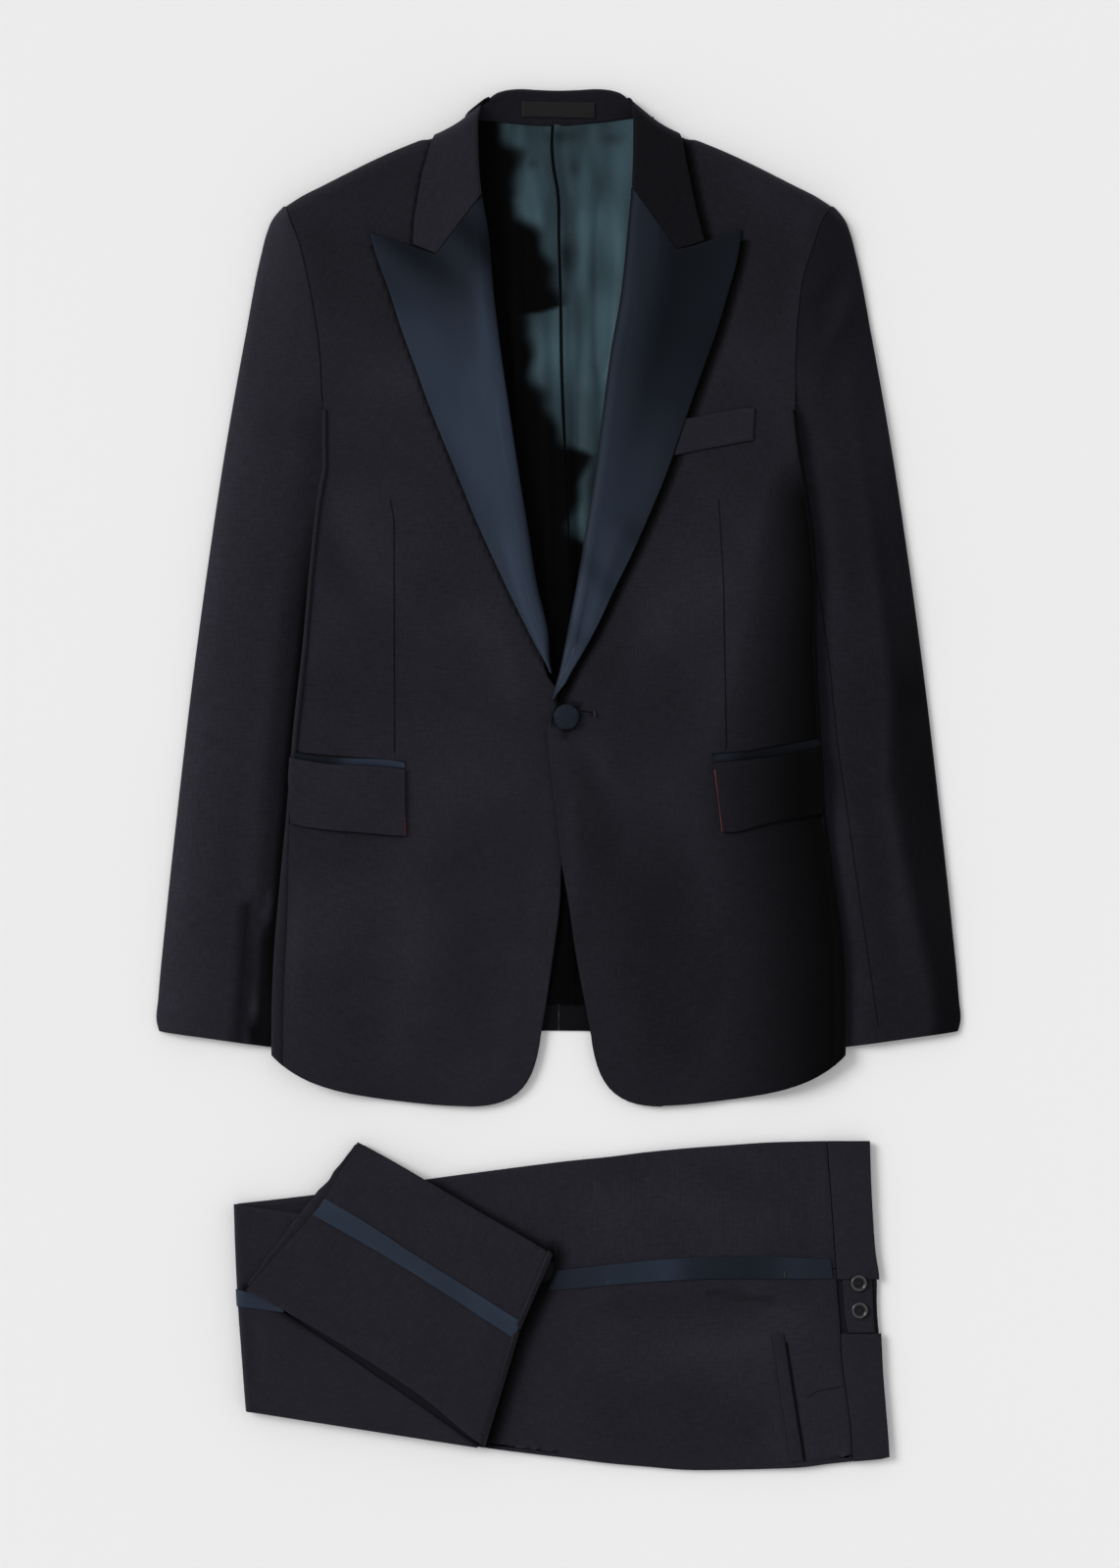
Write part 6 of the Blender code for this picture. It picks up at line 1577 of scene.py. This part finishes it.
def cloth_material(name, dark, light, rib, bump, roughness, sheen, specular, lines=(), stretch=None,
                   vary=None):
    """Woven cloth: its shade runs from dark to light by the weave and, stretched, by soft bands of
    painted sheen.
    """
    found = bpy.data.materials.get("woven_" + name)
    if found:
        return found
    made, tree, surface = new_material("woven_" + name)
    own = node(tree, "UVMap", uv_map="cloth").outputs[0]
    weave = node(tree, "Group", {}, node_tree=weave_group())
    tree.links.new(own, weave.inputs["Vector"])
    weave.inputs["Rib"].default_value = rib
    shade, height = weave.outputs["Shade"], weave.outputs["Height"]
    if stretch:
        # Painted sheen in soft stretched bands, on satin and lining.
        links = {"Vector": own, "Scale": (*stretch, 1.0), "Rotation": (0, 0, 0.5)}
        sheen_bands = noise(tree, node(tree, "Mapping", links).outputs[0], 1.0, 2.0, Roughness=0.45)
        sheen_bands = ramp(tree, sheen_bands, 0.0, 1.0, *vary, smooth=True)
        shade = weighted(tree, shade, 0.3, sheen_bands, 0.75, clamp=True)
    colour = blend(tree, shade, dark, light)
    for first, last, width, strength in lines:
        seam = node(tree, "Group", {}, node_tree=seam_group())
        for label, (across, down) in (("From", first), ("To", last)):
            seam.inputs[label].default_value = (across * MM, (COLLAR_TOP_Y - down) * MM, 0)
        seam.inputs["Width"].default_value = width * MM
        mask = maths(tree, "MULTIPLY", seam.outputs["Mask"], strength)
        colour = blend(tree, mask, colour, SEAM_AND_SLIT_SHADE_COLOUR)
        height = maths(tree, "SUBTRACT", height, maths(tree, "MULTIPLY", mask, SEWN_DEPTH))
    # Painted shade darkens the colour towards near black and roughens the cloth.
    hollow = node(tree, "Attribute", attribute_name="hollow").outputs["Fac"]
    tree.links.new(blend(tree, hollow, colour, PAINTED_SHADE_COLOUR), surface.inputs["Base Color"])
    tree.links.new(ramp(tree, hollow, roughness, PAINTED_SHADE_ROUGHNESS), surface.inputs["Roughness"])
    relief = node(tree, "Bump", {"Height": height, "Strength": bump[0], "Distance": bump[1] * MM})
    tree.links.new(relief.outputs[0], surface.inputs["Normal"])
    surface.inputs["Specular IOR Level"].default_value = specular
    surface.inputs["Sheen Weight"].default_value = sheen
    surface.inputs["Sheen Roughness"].default_value = SHEEN_ROUGHNESS
    surface.inputs["Sheen Tint"].default_value = SHEEN_TINT
    return made


def tinted(colour, factor):
    return tuple(channel * factor for channel in colour[:3])


def wool(name):
    look = bpy.context.scene.tuxedo
    return cloth_material(name, tinted(look.wool, 1.0), tinted(look.wool, 2.4), look.weave,
                          (0.5, 0.15), 0.8, 0.04, 0.05, SEAM_AND_SLIT_SHADE_LINES[name])


def satin():
    look = bpy.context.scene.tuxedo
    return cloth_material("satin", tinted(look.satin, 0.9), tinted(look.satin, 1.9),
                          look.weave * 0.6, (0.12, 0.05), 0.42, 0.0, 0.07, stretch=(14.0, 4.0),
                          vary=(0.32, 0.72))


def lining():
    look = bpy.context.scene.tuxedo
    return cloth_material("lining", tinted(look.lining, 0.35), tinted(look.lining, 1.5),
                          look.weave * 0.5, (0.08, 0.05), 0.4, 0.0, 0.05, stretch=(22.0, 7.0),
                          vary=(0.36, 0.62))


def button():
    """Polished black with the faint clouding of cast resin."""
    found = bpy.data.materials.get("cast_resin")
    if found:
        return found
    made, tree, surface = new_material("cast_resin")
    clouds = noise(tree, node(tree, "TexCoord").outputs["Object"], 300.0, 3.0)
    resin = blend(tree, clouds, RESIN["dark"], RESIN["light"])
    # Here the attribute marks the button's dish, not painted shade: the rim round the dish mirrors.
    dished = node(tree, "Attribute", attribute_name="hollow").outputs["Fac"]
    rim = ramp(tree, dished, RIM_METAL, 0.0)
    tree.links.new(blend(tree, rim, resin, RESIN["rim"]), surface.inputs["Base Color"])
    tree.links.new(rim, surface.inputs["Metallic"])
    tree.links.new(ramp(tree, clouds, 0.1, 0.24), surface.inputs["Roughness"])
    surface.inputs["Specular IOR Level"].default_value = 0.08
    return made


def material(look):
    """The material of a look, made the first time that it is asked for."""
    if look in SEAM_AND_SLIT_SHADE_LINES:
        return wool(look)
    if look in SMALL_CLOTHS:
        return cloth_material(look, *SMALL_CLOTHS[look])
    return {"satin": satin, "lining": lining, "button": button}[look]()


# ---------------------------------------------------------------- small things
def as_piece(name, look, slot, *nodes, hollow=0.0):
    """Makes the active object a piece of the set, which stands for the solids of its nodes."""
    thing = bpy.context.object
    # Painted shade, the same all over the piece; on the adjuster buttons this attribute later marks
    # the dish.
    depth = thing.data.attributes.new("hollow", "FLOAT", "POINT")
    depth.data.foreach_set("value", np.full(len(thing.data.vertices), hollow))
    thing.name = thing.data.name = name
    bpy.ops.object.transform_apply(location=True, rotation=True, scale=True)
    thing.data.materials.clear()
    thing.data.materials.append(material(look))
    if "cloth" not in thing.data.uv_layers:
        if thing.data.uv_layers:
            thing.data.uv_layers[0].name = "cloth"
        else:
            thing.data.uv_layers.new(name="cloth")
    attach(thing, "root")
    if nodes:
        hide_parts(*nodes)
    return thing


def turned(centre, profile, segments=64):
    """Turned form from a disc, whose face is extruded to each (radius, height) of the profile."""
    bpy.ops.object.select_all(action="DESELECT")
    radius = profile[0][0] * MM
    place = placed(centre)
    bpy.ops.mesh.primitive_circle_add(vertices=segments, radius=radius, fill_type="NGON",
                                      location=place)
    bpy.ops.object.mode_set(mode="EDIT")
    bpy.ops.mesh.select_all(action="SELECT")
    bpy.ops.mesh.extrude_region_move()
    height = 0.0
    for next_radius, next_height in profile[1:]:
        bpy.ops.transform.translate(value=(0, 0, (next_height - height) * MM))
        factor = next_radius * MM / radius
        bpy.ops.transform.resize(value=(factor, factor, 1), center_override=tuple(place))
        radius, height = next_radius * MM, next_height
        if (next_radius, next_height) != profile[-1]:
            bpy.ops.mesh.extrude_region_move()
    bpy.ops.mesh.inset(thickness=radius * 0.5)
    bpy.ops.mesh.select_all(action="SELECT")
    bpy.ops.mesh.normals_make_consistent(inside=False)
    bpy.ops.object.mode_set(mode="OBJECT")
    bpy.ops.object.shade_smooth_by_angle(angle=math.radians(50))
    return bpy.context.object


def thread_rod(spot, radius, length, rotation, sides, bevel, steps=3, cuts=0):
    """Rod of thread with rounded ends about a spot (across, down, height), as the active object."""
    bpy.ops.object.select_all(action="DESELECT")
    bpy.ops.mesh.primitive_cylinder_add(vertices=sides, radius=radius * MM, depth=length * MM,
                                        location=placed(spot), rotation=rotation)
    bpy.ops.object.mode_set(mode="EDIT")
    bpy.ops.mesh.select_all(action="SELECT")
    bpy.ops.mesh.bevel(offset=bevel * MM, segments=steps)
    if cuts:
        bpy.ops.mesh.subdivide(number_cuts=cuts)
    bpy.ops.object.mode_set(mode="OBJECT")
    return bpy.context.object


def front_button():
    """Cloth-covered domed button on the left front."""
    spot, r, h = BUTTON, BUTTON["radius"], BUTTON["height"]
    ground = float(front_height(spot["across"], spot["down"], "left")) + SEAM + 0.6
    profile = [(radius * r, height * h) for radius, height in spot["profile"]]
    turned((spot["across"], spot["down"], ground), profile)
    # Painted shade on the button's satin.
    return as_piece("front_button_covered", "satin", "satin", "front_button", hollow=0.62)


def buttonhole():
    """Worked buttonhole beside the button: a ring of thread with a bar across its outer end."""
    across, down, length = (BUTTONHOLE[key] for key in ("across", "down", "length"))
    ground = float(front_height(across, down, "left"))
    bpy.ops.object.select_all(action="DESELECT")
    place = placed((across, down, ground + 0.35))
    bpy.ops.mesh.primitive_torus_add(location=place, major_radius=length / 2 * MM,
                                     minor_radius=0.75 * MM, major_segments=96, minor_segments=8)
    bpy.ops.object.mode_set(mode="EDIT")
    bpy.ops.mesh.select_all(action="SELECT")
    bpy.ops.transform.resize(value=(1, 0.16, 1), center_override=tuple(place))
    bpy.ops.transform.rotate(value=math.radians(10), orient_axis="Z", center_override=tuple(place))
    bpy.ops.object.mode_set(mode="OBJECT")
    ring = bpy.context.object
    tip = (across + length / 2 - 1.0, down + 1.4, ground + 0.5)
    thread_rod(tip, 0.8, 5.4, (math.pi / 2, 0, 0.17), 12, 0.4)
    ring.select_set(True)
    bpy.context.view_layer.objects.active = ring
    bpy.ops.object.join()
    bpy.ops.object.shade_smooth()
    # Painted shade on the buttonhole's thread.
    return as_piece("buttonhole_thread", "thread", "satin", hollow=0.5)


def bar_tack(name, across, down, turn):
    """Bar of close stitches that ends an opening: strands laid side by side and wrapped."""
    thread_rod((across, down, WAIST_TOP + 0.5), 0.75, BAR_TACK_LENGTH, (math.pi / 2, 0, turn), 16,
               0.35, cuts=2)
    bpy.ops.object.shade_smooth()
    return as_piece("bar_tack_" + name, "thread", "wool")


def adjuster_button(name, across, down):
    """Dished button with four holes and two crossed threads."""
    r, h = ADJUSTER_BUTTON["radius"], ADJUSTER_BUTTON["height"]
    profile = [(radius * r, height * h) for radius, height in ADJUSTER_BUTTON["profile"]]
    ground = BAND_TOP + SEAM + 0.3
    disc = turned((across, down, ground), profile, 48)
    for angle in (45, 135, 225, 315):
        x = across + 0.24 * r * math.cos(math.radians(angle))
        d = down + 0.24 * r * math.sin(math.radians(angle))
        bpy.ops.object.select_all(action="DESELECT")
        bpy.ops.mesh.primitive_cylinder_add(vertices=16, radius=0.1 * r * MM, depth=3 * h * MM,
                                            location=placed((x, d, ground)))
        drill = bpy.context.object
        bpy.context.view_layer.objects.active = disc
        cut = disc.modifiers.new("hole", "BOOLEAN")
        cut.operation, cut.object, cut.solver = "DIFFERENCE", drill, "EXACT"
        bpy.ops.object.modifier_apply(modifier=cut.name)
        bpy.data.objects.remove(drill, do_unlink=True)
    disc.select_set(True)
    bpy.ops.object.shade_smooth_by_angle(angle=math.radians(40))
    node_name = "adjuster_button_" + name
    piece = as_piece(node_name + "_dished", "button", "button", node_name)
    spots = np.empty(3 * len(piece.data.vertices))
    piece.data.vertices.foreach_get("co", spots)
    centre = placed((across, down, ground))
    from_middle = np.hypot(spots[0::3] - centre[0], spots[1::3] - centre[1]) / (r * MM)
    piece.data.attributes["hollow"].data.foreach_set("value", 1 - ease((from_middle - 0.62) / 0.26))
    for index, angle in enumerate((45, 135)):
        thread_rod((across, down, ground + 0.62 * h + 0.12 * index), 0.055 * r, 0.6 * r,
                   (math.pi / 2, 0, math.radians(angle)), 10, 0.02 * r, 2)
        bpy.ops.object.shade_smooth()
        as_piece("adjuster_thread_%s_%d" % (name, index), "thread", "button")
    return piece


def label_stitches():
    """Tack stitches at the label's two short ends."""
    for name, across in (("right", LABEL["left"] + 0.8), ("left", LABEL["right"] - 0.8)):
        parts = []
        for share in shares(8):
            down = LABEL["top"] + 1.2 + (LABEL["bottom"] - LABEL["top"] - 2.4) * share
            ground = float(stand_height(across, down)) + SEAM + 0.3 + LABEL["thick"]
            parts.append(thread_rod((across, down, ground), 0.18, 1.7, (0, math.pi / 2, 0.35), 8,
                                    0.08, 2))
        for part in parts:
            part.select_set(True)
        bpy.context.view_layer.objects.active = parts[0]
        bpy.ops.object.join()
        as_piece("label_stitches_" + name, "thread", "label")


# ---------------------------------------------------------------- stage
FLOOR_TONES = (0.77, 0.785)
SKY = (1.5, 0.45)                    # ambient light level with the floor, and from above
FILL = ((0.5, 0.2, 1.4), 0.2, 90)    # weak light: where it stands, energy, angle across it
SENSOR = 36.0
CAMERA_OVER = (0.0012, -0.00297)     # the point below the camera
CLOTH_MIDDLE = 0.008                 # the height at which the view has its stated length


def stage():
    """Pale floor, soft light from the upper left and the camera straight above."""
    look = bpy.context.scene.tuxedo
    bpy.ops.object.select_all(action="DESELECT")
    bpy.ops.mesh.primitive_grid_add(x_subdivisions=8, y_subdivisions=8, size=14)
    floor = bpy.context.object
    floor.name = "floor"
    made, tree, surface = new_material("floor")
    clouds = noise(tree, node(tree, "TexCoord").outputs["Object"], 1.3, 2.0)
    tone = blend(tree, clouds, *((tone, tone, tone) for tone in FLOOR_TONES))
    tree.links.new(tone, surface.inputs["Base Color"])
    surface.inputs["Roughness"].default_value = 0.95
    surface.inputs["Specular IOR Level"].default_value = 0.1
    floor.data.materials.append(made)

    world = bpy.data.worlds.new("studio")
    bpy.context.scene.world = world
    world.use_nodes = True
    tree = world.node_tree
    direction = node(tree, "TexCoord").outputs["Generated"]
    upward = node(tree, "SeparateXYZ", {0: direction}).outputs["Z"]
    level, above = (share * look.ambient for share in SKY)
    tree.links.new(ramp(tree, upward, level, above), tree.nodes["Background"].inputs["Strength"])
    tree.nodes["Background"].inputs["Color"].default_value = (1.0, 1.0, 1.0, 1.0)
    bpy.context.scene.view_settings.view_transform = "Standard"
    for name, direction, energy, angle in (("key", look.key_from, look.key, 30), ("fill", *FILL)):
        light = bpy.data.lights.new(name, "SUN")
        light.energy, light.angle = energy, math.radians(angle)
        lamp = bpy.data.objects.new(name, light)
        bpy.context.scene.collection.objects.link(lamp)
        lamp.rotation_euler = Vector(direction).to_track_quat("Z", "Y").to_euler()

    data = bpy.data.cameras.new("camera")
    camera = bpy.data.objects.new("camera", data)
    bpy.context.scene.collection.objects.link(camera)
    data.sensor_width, data.lens = SENSOR, look.lens
    distance = look.frame_length * look.lens / SENSOR
    camera.location = (*CAMERA_OVER, distance + CLOTH_MIDDLE)
    data.clip_end = 4 * distance
    bpy.context.scene.camera = camera


# ---------------------------------------------------------------- settings and operators
def number(name, description, default, **limits):
    return bpy.props.FloatProperty(name=name, description=description, default=default, **limits)


def triple(name, description, default, **kind):
    return bpy.props.FloatVectorProperty(name=name, description=description, default=default,
                                         size=3, **kind)


class TuxedoSettings(bpy.types.PropertyGroup):
    """Sizes, colours and light of the set."""
    wool: triple("Wool", "Colour of the wool", (0.0108, 0.0103, 0.0142), subtype="COLOR")
    satin: triple("Satin", "Colour of the satin", (0.0154, 0.0217, 0.0348), subtype="COLOR")
    lining: triple("Lining", "Colour of the lining", (0.033, 0.058, 0.072), subtype="COLOR")
    weave: number("Twill rib", "Width of one twill rib", 0.0007, unit="LENGTH", min=0.0001)
    fold_height: number("Fold height", "How strongly the soft folds show", 1.6, min=0.0, max=2.0)
    ambient: number("Ambient", "Light from all round", 0.75)
    key: number("Key", "Light from the upper left", 2.2)
    key_from: triple("Key from", "Where the key light stands", (-0.9, 0.45, 0.75))
    lens: number("Lens", "Camera lens in millimetres", 85.0)
    frame_length: number("Frame length", "Length of floor in the view", 1.28, unit="LENGTH")


def both_sides(make):
    for wearer, side in (("left", 1), ("right", -1)):
        make(wearer, side)


class TUXEDO_OT_stage(bpy.types.Operator):
    """Pale floor, soft studio light and the camera above"""
    bl_idname, bl_label = "tuxedo.stage", "Stage"

    def execute(self, context):
        stage()
        return {"FINISHED"}


class TUXEDO_OT_backs(bpy.types.Operator):
    """Back halves that the jacket lies on"""
    bl_idname, bl_label = "tuxedo.backs", "Backs"

    def execute(self, context):
        both_sides(back_panel)
        return {"FINISHED"}


class TUXEDO_OT_lining(bpy.types.Operator):
    """Back lining with its centre pleat and turned hem"""
    bl_idname, bl_label = "tuxedo.lining", "Lining"

    def execute(self, context):
        both_sides(lining_half)
        return {"FINISHED"}


class TUXEDO_OT_side_panels(bpy.types.Operator):
    """Side panels rolled round the body's sides"""
    bl_idname, bl_label = "tuxedo.side_panels", "Side panels"

    def execute(self, context):
        both_sides(side_panel)
        return {"FINISHED"}


class TUXEDO_OT_fronts(bpy.types.Operator):
    """Fronts with darts and rounded lower corners"""
    bl_idname, bl_label = "tuxedo.fronts", "Fronts"

    def execute(self, context):
        both_sides(front_panel)
        return {"FINISHED"}


class TUXEDO_OT_sleeves(bpy.types.Operator):
    """Two-piece sleeves"""
    bl_idname, bl_label = "tuxedo.sleeves", "Sleeves"

    def execute(self, context):
        both_sides(sleeve)
        return {"FINISHED"}


class TUXEDO_OT_lapels(bpy.types.Operator):
    """Satin peak lapels"""
    bl_idname, bl_label = "tuxedo.lapels", "Lapels"

    def execute(self, context):
        both_sides(lapel)
        return {"FINISHED"}


class TUXEDO_OT_collar(bpy.types.Operator):
    """Collar leaves, the collar's back and the label on its stand"""
    bl_idname, bl_label = "tuxedo.collar", "Collar"

    def execute(self, context):
        both_sides(collar_leaf)
        collar_back()
        neck_label()
        label_stitches()
        return {"FINISHED"}


class TUXEDO_OT_pockets(bpy.types.Operator):
    """Hip pockets with jetting, flaps and flap lining, and the breast welt"""
    bl_idname, bl_label = "tuxedo.pockets", "Pockets"

    def execute(self, context):
        both_sides(hip_pocket)
        breast_welt()
        return {"FINISHED"}


class TUXEDO_OT_closure(bpy.types.Operator):
    """Covered button and its worked buttonhole"""
    bl_idname, bl_label = "tuxedo.closure", "Button and buttonhole"

    def execute(self, context):
        front_button()
        buttonhole()
        return {"FINISHED"}


class TUXEDO_OT_inner_plies(bpy.types.Operator):
    """Plies folded away inside the trousers"""
    bl_idname, bl_label = "tuxedo.inner_plies", "Inner plies"

    def execute(self, context):
        hidden_layers()
        return {"FINISHED"}


class TUXEDO_OT_legs(bpy.types.Operator):
    """Trouser legs with their satin stripes, folded in three"""
    bl_idname, bl_label = "tuxedo.legs", "Legs"

    def execute(self, context):
        waist_front()
        waist_back()
        waist_stripe()
        middle_leg()
        end_leg()
        hem_ply()
        return {"FINISHED"}


class TUXEDO_OT_waist(bpy.types.Operator):
    """Waistband, side tab with two buttons, pocket openings and bar tacks"""
    bl_idname, bl_label = "tuxedo.waist", "Waist"

    def execute(self, context):
        waistbands()
        rear_pocket()
        for name, place in zip(("front", "back"), ADJUSTER_BUTTON["places"]):
            adjuster_button(name, *place)
        for name, place in BAR_TACKS.items():
            bar_tack(name, *place)
        return {"FINISHED"}


OPERATORS = (
    TUXEDO_OT_stage, TUXEDO_OT_backs, TUXEDO_OT_lining, TUXEDO_OT_side_panels, TUXEDO_OT_fronts,
    TUXEDO_OT_sleeves, TUXEDO_OT_lapels, TUXEDO_OT_collar, TUXEDO_OT_pockets, TUXEDO_OT_closure,
    TUXEDO_OT_inner_plies, TUXEDO_OT_legs, TUXEDO_OT_waist)


class TUXEDO_PT_panel(bpy.types.Panel):
    """Pieces of the tuxedo in the sidebar of the 3D view"""
    bl_idname, bl_label = "TUXEDO_PT_panel", "Tuxedo"
    bl_space_type, bl_region_type, bl_category = "VIEW_3D", "UI", "Tuxedo"

    def draw(self, context):
        for name in TuxedoSettings.__annotations__:
            self.layout.prop(context.scene.tuxedo, name)
        for operator in OPERATORS:
            self.layout.operator(operator.bl_idname)


CLASSES = (TuxedoSettings, *OPERATORS, TUXEDO_PT_panel)


def register():
    for cls in CLASSES:
        bpy.utils.register_class(cls)
    bpy.types.Scene.tuxedo = bpy.props.PointerProperty(type=TuxedoSettings)


def unregister():
    del bpy.types.Scene.tuxedo
    for cls in reversed(CLASSES):
        bpy.utils.unregister_class(cls)


def main():
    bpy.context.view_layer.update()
    register()
    for operator in OPERATORS:
        group, name = operator.bl_idname.split(".")
        if getattr(getattr(bpy.ops, group), name)() != {"FINISHED"}:
            raise RuntimeError(operator.bl_label + " was not made")


if __name__ == "__main__":
    main()
